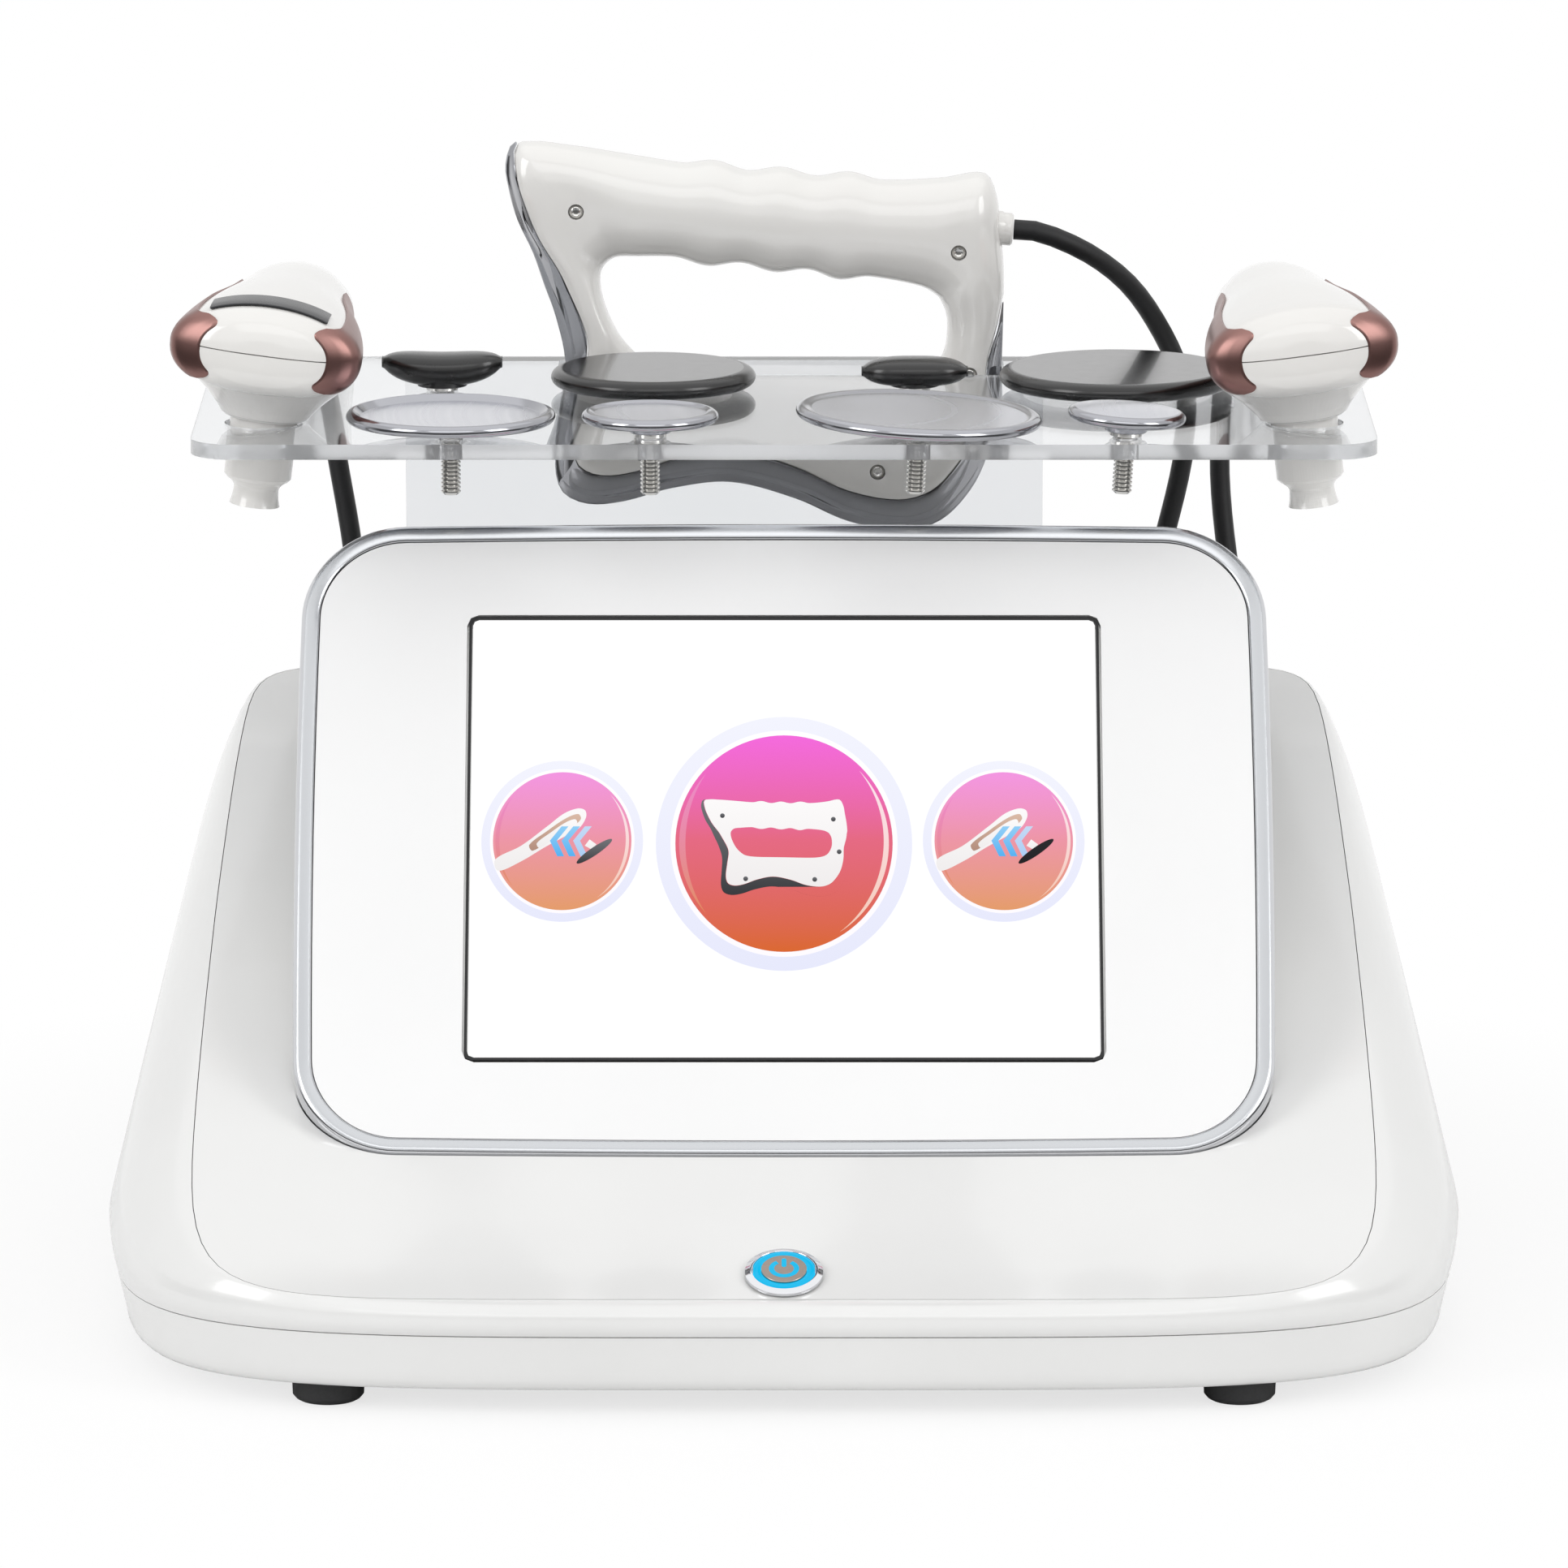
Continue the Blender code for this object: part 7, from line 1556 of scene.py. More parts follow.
def handpiece_icon(name, centre, disc_finish):
    """A handpiece seen from the side: body, inlay, arrows of its flow and the tilted electrode."""
    body = [(-19.5, -6.0), (-12.0, -1.6), (-4.0, 5.0), (0.5, 8.8), (4.5, 10.4), (6.6, 9.8), (6.9, 7.6),
            (5.0, 4.2), (1.0, 1.6), (-5.0, -2.0), (-12.0, -6.6), (-18.6, -9.6)]
    drawn(name + "_handle", [placed(smooth_loop(body), centre, MILLIMETRE)], ICON_WHITE, 4)
    inlay = [(-9.6, -1.3), (-4.6, 3.0), (1.0, 7.2), (4.6, 8.6), (5.4, 7.0), (2.6, 4.2), (-3.0, 0.6),
             (-8.6, -3.2)]
    drawn(name + "_inlay", [placed(smooth_loop(inlay), centre, MILLIMETRE)], ICON_ROSE, 5)
    drawn(name + "_window", [placed(smooth_loop(inlay), (centre[0] + 0.0001, centre[1] + 0.0002), 0.00078)],
          ICON_WHITE, 6)
    for step, finish in enumerate((ICON_BLUE, ICON_BLUE, ICON_PALE_BLUE)):
        at = -3.6 + 3.4 * step
        arrow = [(at, 0.0), (at + 3.4, 4.6), (at + 5.4, 4.6), (at + 2.0, 0.0), (at + 4.2, -5.0),
                 (at + 2.2, -5.0)]
        drawn(f"{name}_arrow_{step + 1}", [placed(arrow, centre, MILLIMETRE)], finish, 7)
    neck = [(6.6, -1.6), (8.6, -2.8), (10.0, -1.2), (8.0, 0.4)]
    drawn(name + "_neck", [placed(neck, centre, MILLIMETRE)], ICON_WHITE, 7)
    plate = ellipse((0.0, 0.0), 6.4, 1.25, 40)
    drawn(name + "_plate", [placed(placed(plate, (9.4, -3.4), 1.0, math.radians(37)), centre, MILLIMETRE)],
          disc_finish, 8)


def smooth_loop(points, steps=6):
    """A closed loop, smooth through its points."""
    knots = [Vector((x, y, 0.0)) for x, y in points]
    return [tuple(spline_point(*span_keys(knots, index, closed=True), step / steps))[:2]
            for index in range(len(knots)) for step in range(steps)]


def make_page():
    """Three round buttons; sizes are half widths and half heights on the screen."""
    middle = (0.0, 0.0996)
    button_art("centre", middle, (0.0374, 0.0407), (0.0317, 0.0347), DISC)
    scraper_icon((middle[0] - 0.0006, middle[1] + 0.0005), 0.278)
    for name, x, plate in (("left", -0.0647, ICON_GREY), ("right", 0.0641, ICON_BLACK)):
        spot = (x, 0.1003)
        button_art(name, spot, (0.0236, 0.0258), (0.0202, 0.0221), PALE_DISC)
        handpiece_icon(name, spot, plate)


make_pod()


# Power button

def make_button():
    matrix = button_matrix()
    light_floor = BEZEL_HEIGHT - LIGHT_RING_HEIGHT
    floor = BEZEL_HEIGHT + BUTTON_CAP_PROUD - BUTTON_CAP_HEIGHT - BUTTON_TRAVEL - FIT_GAP
    bezel = [(0.0, floor), (BUTTON_CAP_RADIUS + SLIDE_GAP, floor), (BUTTON_CAP_RADIUS + SLIDE_GAP, light_floor),
             (LIGHT_RING_OUTER + FIT_GAP, light_floor), (LIGHT_RING_OUTER + FIT_GAP, BEZEL_HEIGHT - EDGE_BREAK),
             (LIGHT_RING_OUTER + 4 * EDGE_BREAK, BEZEL_HEIGHT),
             (BEZEL_TOP_RADIUS - 2 * EDGE_BREAK, BEZEL_HEIGHT),
             (BEZEL_TOP_RADIUS + EDGE_BREAK, BEZEL_HEIGHT - EDGE_BREAK),
             (BEZEL_RADIUS - EDGE_BREAK, BEZEL_SEAT_GAP + BEZEL_HEIGHT / 3 + EDGE_BREAK),
             (BEZEL_RADIUS, BEZEL_SEAT_GAP + BEZEL_HEIGHT / 3 - 2 * EDGE_BREAK), (BEZEL_RADIUS, BEZEL_SEAT_GAP),
             (BARREL_RADIUS, BEZEL_SEAT_GAP), (BARREL_RADIUS, -BARREL_LENGTH), (0.0, -BARREL_LENGTH)]
    show("push_button_bezel", turned(bezel, 96), CHROME, "machine", matrix, ["power_button_bezel"])
    ring = [(LIGHT_RING_INNER, BEZEL_HEIGHT - EDGE_BREAK), (LIGHT_RING_INNER + 2 * EDGE_BREAK, BEZEL_HEIGHT),
            (LIGHT_RING_OUTER - 2 * EDGE_BREAK, BEZEL_HEIGHT), (LIGHT_RING_OUTER, BEZEL_HEIGHT - EDGE_BREAK),
            (LIGHT_RING_OUTER, light_floor + FIT_GAP), (LIGHT_RING_INNER, light_floor + FIT_GAP),
            (LIGHT_RING_INNER, BEZEL_HEIGHT - EDGE_BREAK)]
    show("push_button_light_ring", turned(ring, 96), BLUE_LIGHT, "machine", matrix, ["power_button_light_ring"])
    top = BEZEL_HEIGHT + BUTTON_CAP_PROUD
    head = LIGHT_RING_INNER - CAP_HEAD_GAP
    cap = [(0.0, top), (head - CAP_HEAD_GAP, top), (head, top - CAP_HEAD_GAP), (head, top - CAP_HEAD_HEIGHT),
           (BUTTON_CAP_RADIUS, top - CAP_HEAD_HEIGHT), (BUTTON_CAP_RADIUS, top - BUTTON_CAP_HEIGHT),
           (0.0, top - BUTTON_CAP_HEIGHT)]
    show("push_button_cap", turned(cap, 96), BUTTON_FACE, "power_button", matrix, ["power_button_cap"])
    angles = [math.radians(angle) for angle in range(90 + SYMBOL_OPENING, 451 - SYMBOL_OPENING, SYMBOL_STEP)]
    arc = [(SYMBOL_OUTER * math.cos(angle), SYMBOL_OUTER * math.sin(angle)) for angle in angles]
    arc += [(SYMBOL_INNER * math.cos(angle), SYMBOL_INNER * math.sin(angle)) for angle in reversed(angles)]
    bar = rounded_rectangle((-SYMBOL_HALF_BAR, SYMBOL_HALF_BAR), (SYMBOL_HALF_BAR, SYMBOL_TOP),
                            (SYMBOL_HALF_BAR,) * 4, 4)
    mark = joined(*[slab([loop], top - SYMBOL_SINK, top + SYMBOL_PROUD) for loop in (arc, bar)])
    show("push_button_symbol", mark, BLUE_LIGHT, "power_button", matrix, smooth=False)


make_button()


# Clear rack

def plate_front():
    """y of the front face of the rack's upright plate."""
    return HOUSING_BACK + PLATE_STANDOFF


def plate_back():
    return plate_front() + RACK_THICKNESS


def electrode_places():
    """x and y of the eight stud holes, front row first."""
    inner_columns = (-INNER_COLUMN_X, INNER_COLUMN_X, OUTER_COLUMN_X)
    front_places = [(x, FRONT_ROW_Y) for x in (-STEEL_62_COLUMN_X, *inner_columns)]
    return front_places + [(x, BACK_ROW_Y) for x in (-CURVED_COLUMN_X, *inner_columns)]


def slot_limits():
    """The scraper's slot: its ends leave room for the widest part of the blade below the shelf."""
    left, right = scraper_reach()
    front = SCRAPER_PLANE_Y - GRIP_HALF_THICKNESS - SLOT_MARGIN
    return left - SLIDE_GAP, right + SLIDE_GAP, front, plate_front() - SLOT_MARGIN


def section_ends(outer, inner, blade):
    """The white body's outer end; half thicknesses of its middle, its free edge and its seam with the blade."""
    half = section_thickness(outer, inner)
    end = outer + (inner - outer).normalized() * blade
    share = eased(blade / BLADE_BLEND)
    free = half * FREE_EDGE_SHARE
    return end, half, free, free + (SEAM_HALF_THICKNESS - free) * share


def section_thickness(outer, inner):
    """Half thickness in the middle of a section: thick in the grip, thinner elsewhere."""
    middle = (outer + inner) / 2
    share = eased(middle.y / GRIP_BLEND) * eased((middle.x + GRIP_LEFT_END) / GRIP_BLEND)
    return BODY_HALF_THICKNESS + (GRIP_HALF_THICKNESS - BODY_HALF_THICKNESS) * share


def scraper_keys():
    """The listed sections in real sizes: outer point, inner point and blade width."""
    sizes = (SCRAPER_HALF_WIDTH, SCRAPER_HALF_HEIGHT, OPENING_HALF_WIDTH, OPENING_HALF_HEIGHT, BLADE_WIDTH)
    return [Vector([share * size for share, size in zip(shares, sizes)]) for shares in SCRAPER_KEY_SHARES]


def scraper_screws():
    """Place of each screw and depth of its bore's floor from the middle plane."""
    sizes = (SCRAPER_HALF_WIDTH, SCRAPER_HALF_HEIGHT, BODY_HALF_THICKNESS)
    return [[share * size for share, size in zip(shares, sizes)] for shares in SCRAPER_SCREW_SHARES]


def scraper_stations():
    """Sections round the finger opening, each as outer point, inner point and blade width."""
    rows = scraper_keys()
    stations = []
    for index in range(len(rows)):
        keys = span_keys(rows, index, closed=True)
        raised = min(keys[1][1], keys[2][1]) > GRIP_LEVEL
        in_grip = raised and max(abs(keys[1][0]), abs(keys[2][0])) < GRIP_REACH
        run = (Vector(keys[2][:2]) - Vector(keys[1][:2])).length
        steps = max(1, round(run / (GRIP_STEP if in_grip else BODY_STEP)))
        for step in range(steps):
            row = spline_point(*keys, step / steps)
            wave = 0.0
            if row[1] > GRIP_LEVEL and abs(row[0] - GRIP_WAVE_CENTRE) < GRIP_WAVES / 2 * GRIP_WAVE_PITCH:
                wave = GRIP_WAVE * (1 + math.cos(2 * math.pi * (row[0] - GRIP_WAVE_CENTRE) / GRIP_WAVE_PITCH))
            highest = (SCRAPER_TOP + row[0] * math.sin(SCRAPER_TILT)) / math.cos(SCRAPER_TILT)
            outer = Vector((row[0], min(row[1] + wave, highest)))
            inner = Vector((row[2], row[3] - wave))
            blade = row[4] if row[4] > BLADE_START_WIDTH else 0.0
            stations.append((outer, inner, blade))
    return stations


def shell_section(station, side):
    """One half of the body's section, from the finger opening to the blade; side is -1 for the front."""
    outer, inner, blade = station
    end, half, free, seat = section_ends(outer, inner, blade)
    run = end - inner
    rounding = min(GRIP_ROUNDING, run.length * GRIP_ROUNDING_SHARE)
    seam = side * SEAM_GAP / 2
    ring = [Vector((inner.x, seam, inner.y))]
    for from_end, edge in ((False, free), (True, seat)):
        shares = reversed(SECTION_SHARES) if from_end else SECTION_SHARES
        for share in shares:
            reach = rounding * share / run.length
            place = end - run * reach if from_end else inner + run * reach
            rise = (1 - (1 - share) ** ROUND_EXPONENT) ** (1 / ROUND_EXPONENT)
            ring.append(Vector((place.x, side * (edge + (half - edge) * rise), place.y)))
    ring.append(Vector((end.x, seam, end.y)))
    return ring


def scraper_reach():
    """Left and right end of the slot: where the scraper's widest low parts pass through the shelf."""
    low = [outer.x for outer, _, _ in scraper_stations() if outer.y < SLOT_LEVEL]
    ends = []
    for u in (min(low), max(low)):
        for height in (SHELF_TOP, SHELF_TOP - RACK_THICKNESS):
            v = (height - SCRAPER_CENTRE_Z + u * math.sin(SCRAPER_TILT)) / math.cos(SCRAPER_TILT)
            ends.append(SCRAPER_CENTRE_X + u * math.cos(SCRAPER_TILT) + v * math.sin(SCRAPER_TILT))
    return min(ends), max(ends)


def make_rack():
    low, high = SHELF_TOP - RACK_THICKNESS, SHELF_TOP
    outer = rounded_rectangle((-SHELF_HALF_WIDTH, SHELF_FRONT), (SHELF_HALF_WIDTH, plate_back()),
                              (SHELF_CORNER, SHELF_CORNER, SHELF_CORNER / 2, SHELF_CORNER / 2), 12)
    holes = [circle_loop((side * NECK_HOLE_X, NECK_HOLE_Y), NECK_HOLE_RADIUS, 64) for side in (-1, 1)]
    holes += [circle_loop(place, STUD_HOLE_RADIUS, 32) for place in electrode_places()]
    left, right, front, back = slot_limits()
    holes.append(rounded_rectangle((left, front), (right, back),
                                   (SLOT_MARGIN, SLOT_MARGIN, SLOT_MARGIN / 4, SLOT_MARGIN / 4), 8))
    rack = show("clear_rack", slab([outer, *holes], low, high), [ACRYLIC, ACRYLIC_EDGE], "machine",
                nodes=["acrylic_rack"])
    plate_loop = rounded_rectangle((PLATE_CENTRE_X - PLATE_HALF_WIDTH, PLATE_BOTTOM),
                                   (PLATE_CENTRE_X + PLATE_HALF_WIDTH, SHELF_TOP - RACK_THICKNESS / 2),
                                   (SHELF_CORNER / 2, SHELF_CORNER / 2, 0.0001, 0.0001), 8)
    bores = [circle_loop((x, PLATE_SCREW_Z), PLATE_SCREW_RADIUS + FIT_GAP, 32) for x in plate_screws()]
    plate = slab([plate_loop, *bores], -RACK_THICKNESS / 2, RACK_THICKNESS / 2)
    plate.transform(Matrix.Translation((0.0, (plate_front() + plate_back()) / 2, 0.0))
                    @ Matrix.Rotation(math.pi / 2, 4, "X"))
    parts = [plate]
    for x in plate_screws():
        rings = [circle_loop((x, 0.0), STANDOFF_RADIUS, 48),
                 circle_loop((x, 0.0), PLATE_SCREW_RADIUS + FIT_GAP, 32)]
        spacer = slab(rings, 0.0, plate_front() + BOSS_OVERLAP - HOUSING_BACK - FIT_GAP)
        spacer.transform(Matrix.Translation((0.0, HOUSING_BACK + FIT_GAP, PLATE_SCREW_Z))
                         @ Matrix.Rotation(-math.pi / 2, 4, "X"))
        parts.append(spacer)
    combine(rack, parts, "UNION")
    soften(rack, 0.0005, 2, 50.0)
    for face in rack.data.polygons:
        across = face.normal.z if face.center.z > low - FIT_GAP else face.normal.y
        face.material_index = int(abs(across) < EDGE_FACING)
    for x, name in zip(plate_screws(), ("left", "right")):
        place = (Matrix.Translation((x, plate_back() + FIT_GAP, PLATE_SCREW_Z))
                 @ Matrix.Rotation(-math.pi / 2, 4, "X"))
        rim = PLATE_CAP_HEIGHT / 3
        profile = [(0.0, PLATE_CAP_HEIGHT)]
        profile += [(PLATE_CAP_RADIUS - rim + rim * math.sin(a), PLATE_CAP_HEIGHT - rim + rim * math.cos(a))
                    for a in CAP_ROUND_ANGLES]
        profile += [(PLATE_CAP_RADIUS, 0.0), (PLATE_SCREW_RADIUS, 0.0),
                    (PLATE_SCREW_RADIUS, -PLATE_SCREW_LENGTH), (0.0, -PLATE_SCREW_LENGTH)]
        screw = show(f"rack_{name}_cap_screw", turned(profile, 48), CHROME, "machine", place,
                     [name + "_rack_screw"])
        socket = slab([circle_loop((0.0, 0.0), HEX_RADIUS, 6)], PLATE_CAP_HEIGHT - HEX_DEPTH,
                      PLATE_CAP_HEIGHT + 0.001)
        socket.transform(place)
        combine(screw, [socket])


make_rack()


# Electrodes

def stud(top):
    """Profile of the threaded stud below its neck."""
    points = [(NECK_RADIUS, top - 0.0002), (NECK_RADIUS, 0.0), (STUD_RADIUS, 0.0)]
    for turn in range(int(STUD_DROP / THREAD_PITCH)):
        at = -THREAD_PITCH * (turn + 0.3)
        points += [(STUD_RADIUS, at), (STUD_RADIUS - THREAD_DEPTH, at - THREAD_PITCH * 0.35),
                   (STUD_RADIUS, at - THREAD_PITCH * 0.65)]
    return points + [(STUD_RADIUS, -STUD_DROP), (STUD_RADIUS - STUD_CHAMFER, -STUD_DROP - STUD_CHAMFER),
                     (0.0, -STUD_DROP - STUD_CHAMFER)]


def arc_points(centre, radii, start, end, steps):
    """Points of an ellipse's arc; its angles are in degrees."""
    return [(centre[0] + radii[0] * math.cos(math.radians(start + (end - start) * step / steps)),
             centre[1] + radii[1] * math.sin(math.radians(start + (end - start) * step / steps)))
            for step in range(steps + 1)]


def round_electrode(node, body, place, radius, thickness, dish, edge, finishes, tilt=0.0, hub=True, dome=0.0):
    """A disc on its stud: hollow by dish or raised by dome, its finishes for rim, face and stud."""
    seat = SHELF_TOP + FIT_GAP + NECK_RADIUS * math.sin(abs(tilt))
    matrix = Matrix.Translation((place[0], place[1], seat)) @ Matrix.Rotation(tilt, 4, "Y")
    base = HUB_HEIGHT if hub else NECK_HEIGHT
    top = base + thickness
    rim = radius - edge
    profile = [(0.0, top - dish + dome)]
    if dome:
        profile += [(rim * share, top + dome * (1 - share ** 2)) for share in DOME_SHARES]
    elif dish:
        profile += [(rim * share, top - dish)
                    for share in (*FLAT_SHARES, DISH_FLOOR_SHARE - 0.005, DISH_FLOOR_SHARE)]
        profile += [(rim * (DISH_FLOOR_SHARE + 0.03), top - dish * 0.6)]
    else:
        profile += [(rim * share, top) for share in (*FLAT_SHARES, 0.98)]
    profile += arc_points((rim, base + thickness / 2), (edge, thickness / 2), 90, -60, 12)
    profile += [(rim - edge, base)]
    if hub:
        profile += [(HUB_RADIUS + 0.0004, base), (HUB_RADIUS, base - 0.0004),
                    (HUB_RADIUS - STUD_CHAMFER * 0.6, NECK_HEIGHT + 0.0003),
                    (HUB_RADIUS - STUD_CHAMFER, NECK_HEIGHT)]
    profile += stud(NECK_HEIGHT if hub else base)
    mesh = turned(profile, 96)
    # Faces turned up take the face finish; on the steel discs its paler grey beside the darker rim is painted
    # light and shade
    for face in mesh.polygons:
        spot = face.center
        reach = math.hypot(spot.x, spot.y)
        face.material_index = 2 if spot.z < NECK_HEIGHT else int(face.normal.z > FACE_FACING and reach < rim)
    show(node.replace("electrode_", "disc_"), mesh, finishes, body, matrix, [node])


def bar_electrode(node, body, place, half_length, half_width, thickness, sag):
    """A bar with rounded ends on its stud; sag lifts the ends above the middle."""
    matrix = Matrix.Translation((place[0], place[1], SHELF_TOP + FIT_GAP))
    shares = sorted({math.copysign(math.sin(step / BAR_STEPS * math.pi / 2) ** BAR_SPACING_POWER, side)
                     for step in range(BAR_STEPS + 1) for side in (-1, 1)})
    rings = []
    for share in shares:
        narrow = max(math.sqrt(max(0.0, 1 - abs(share) ** BAR_END_EXPONENT)), BAR_END_SHARE)
        centre = BAR_BASE_HEIGHT + thickness / 2 + sag * share * share
        ring = []
        for step in range(BAR_SECTION_POINTS):
            angle = 2 * math.pi * step / BAR_SECTION_POINTS
            across = signed_power(math.cos(angle), BAR_SECTION_POWER)
            up = signed_power(math.sin(angle), BAR_SECTION_POWER)
            ring.append(Vector((half_length * share, half_width * narrow * across,
                                centre + thickness / 2 * narrow * up)))
        rings.append(ring)
    lift = BAR_BASE_HEIGHT + thickness / 3
    base = turned([(0.0, lift), (BAR_BASE_RADIUS, lift), (BAR_BASE_RADIUS, BAR_BASE_HEIGHT),
                   (NECK_RADIUS, NECK_HEIGHT), *stud(NECK_HEIGHT)], 48)
    bar = cleaned(loft("bar", rings))
    for face in base.polygons:
        face.material_index = int(face.center.z < NECK_HEIGHT)
    piece = show(node.replace("electrode_", "bar_"), joined(bar, base), [ENAMEL, STAINLESS], body, matrix,
                 [node])
    soften(piece, 0.0008, 3, 50.0)


def make_electrodes():
    steel = (SHADED_RIM_STEEL, STEEL_FACE, STAINLESS)
    coated = (ENAMEL, ENAMEL_FACE, STAINLESS)
    places = electrode_places()
    for size, place, radius, dish, tilt, dome in (
            (62, places[0], STEEL_62_RADIUS, STEEL_DISH, 0.0, 0.0),
            (40, places[1], STEEL_40_RADIUS, STEEL_HOLLOW, 0.0, 0.0),
            (72, places[2], STEEL_72_RADIUS, STEEL_HOLLOW, STEEL_72_TILT, 0.0),
            (35, places[3], STEEL_35_RADIUS, 0.0, STEEL_35_TILT, STEEL_DOME)):
        round_electrode(f"steel_electrode_{size}", f"steel_{size}", place, radius, STEEL_THICKNESS, dish,
                        STEEL_EDGE, steel, tilt, dome=dome)
    bar_electrode("coated_electrode_curved", "coated_curved", places[4], COATED_BAR_HALF, COATED_BAR_WIDTH,
                  COATED_BAR_THICKNESS, COATED_BAR_SAG)
    round_electrode("coated_electrode_62", "coated_62", places[5], COATED_62_RADIUS, COATED_THICKNESS, 0.0,
                    COATED_EDGE, coated, hub=False)
    bar_electrode("coated_electrode_bar", "coated_bar", places[6], COATED_SMALL_HALF, COATED_SMALL_WIDTH,
                  COATED_SMALL_THICKNESS, 0.0)
    round_electrode("coated_electrode_72", "coated_72", places[7], COATED_72_RADIUS, COATED_THICKNESS, 0.0,
                    COATED_EDGE, coated, hub=False)


# Ground face of the steel discs: softer than their rims, and paler, since the rims' grey is darkened as painted
# shade
STEEL_FACE = machined_metal("ground_steel_face", "#cccdd3", 0.24, 0.0008, 0.01)
# Enamel on the flat of the coated discs: a little glossier than on their edges
ENAMEL_FACE = moulded("insulating_enamel_face", "#0d0d0f", "#141417", 0.2, 0.004, 0.00002, coat=0.35)
make_electrodes()


# Scraper handle

def blade_ring(station):
    """The blade's section: full at its seam with the body, convex flanks and a rounded edge."""
    outer, inner, blade = station
    end, _, _, seat = section_ends(outer, inner, blade)
    away = (outer - inner).normalized()
    root = end + away * FIT_GAP
    edge = min(BLADE_HALF_EDGE, seat * BLADE_EDGE_SHARE)
    span = (outer - root).length
    tip = min(edge, span / 3)
    rows = [(root + away * (span - tip) * share, edge + (seat - edge) * (1 - share ** BLADE_FLANK))
            for share in BLADE_SHARES]
    rows += [(outer - away * tip * (1 - math.sin(angle)), edge * math.cos(angle)) for angle in BLADE_TIP_ANGLES]
    ring = [Vector((place.x, -depth, place.y)) for place, depth in rows]
    return ring + [Vector((place.x, depth, place.y)) for place, depth in reversed(rows)]


def make_scraper():
    matrix = scraper_matrix()
    stations = scraper_stations()
    bores = []
    for u, v, floor in scraper_screws():
        bores.append(rod_mesh("bore", SCRAPER_SCREW_RADIUS + FIT_GAP, (u, -floor, v),
                              (u, -GRIP_HALF_THICKNESS * 2, v), 32))
    seat = rod_mesh("seat", COLLAR_RADIUS + FIT_GAP, (COLLAR_START - FIT_GAP, 0.0, COLLAR_V),
                    (COLLAR_END + COLLAR_RADIUS, 0.0, COLLAR_V), 40)
    for mesh in (seat, *bores):
        mesh.transform(matrix)
    for name, side in (("front", -1), ("rear", 1)):
        mesh = cleaned(loft(name, [shell_section(station, side) for station in stations], closed_path=True))
        shell = show(f"scraper_{name}_half", mesh, HANDLE_PC, "scraper", matrix, [f"scraper_{name}_shell"])
        combine(shell, [seat.copy()] + (bores if side < 0 else []))
        shell.data.set_sharp_from_angle(angle=math.radians(40))
    blade = cleaned(loft("blade", [blade_ring(station) for station in stations if station[2] > 0]))
    show("scraper_wrapped_blade", blade, DARKENED_TOOL_STEEL, "scraper", matrix, ["scraper_blade"], sharp=60.0)
    for row, (u, v, floor) in enumerate(scraper_screws()):
        node = (["scraper_left_screw"], ["scraper_right_screw"], [], [], [])[row]
        profile = [(radius, SCRAPER_SCREW_HEAD - depth) for radius, depth in SCREW_RECESS]
        profile += [(SCRAPER_SCREW_RADIUS - inset, SCRAPER_SCREW_HEAD - depth) for inset, depth in SCREW_EDGE]
        profile += [(SCRAPER_SCREW_RADIUS, 0.0), (0.0, 0.0)]
        place = matrix @ Matrix.Translation((u, -floor - FIT_GAP, v)) @ Matrix.Rotation(math.pi / 2, 4, "X")
        show(f"scraper_countersunk_screw_{row + 1}", turned(profile, 32), STAINLESS, "scraper", place, node)
    length = COLLAR_END - COLLAR_START
    profile = [(0.0, length), (COLLAR_TIP_RADIUS - COLLAR_ROUNDING, length),
               (COLLAR_TIP_RADIUS, length - COLLAR_ROUNDING), (COLLAR_TIP_RADIUS, COLLAR_STEP_END),
               (COLLAR_RADIUS, COLLAR_STEP_START), (COLLAR_RADIUS, 0.0004),
               (COLLAR_RADIUS - COLLAR_ROUNDING, 0.0), (0.0, 0.0)]
    place = matrix @ Matrix.Translation((COLLAR_START, 0.0, COLLAR_V)) @ Matrix.Rotation(math.pi / 2, 4, "Y")
    show("scraper_lead_collar", turned(profile, 48), HANDLE_PC, "scraper", place, ["scraper_cable_collar"])


make_scraper()


# Handpieces

def handpiece_row(y):
    """The body's section at y: y, half width, middle height and half height."""
    rows = handpiece_stations()
    for index in range(len(rows) - 1):
        if y <= rows[index + 1][0] or index == len(rows) - 2:
            share = (y - rows[index][0]) / (rows[index + 1][0] - rows[index][0])
            return rows[index].lerp(rows[index + 1], min(max(share, 0.0), 1.0))
    return rows[-1]


def body_point(row, angle, grow=0.0):
    """A point on the body's section, at an angle from its right seam; grow moves it outward."""
    y, half_width, centre, half_height = row
    power = 2 / (TOP_SECTION_EXPONENT if math.sin(angle) > 0 else SIDE_SECTION_EXPONENT)
    return Vector(((half_width + grow) * signed_power(math.cos(angle), power), y,
                   centre + (half_height + grow) * signed_power(math.sin(angle), power)))


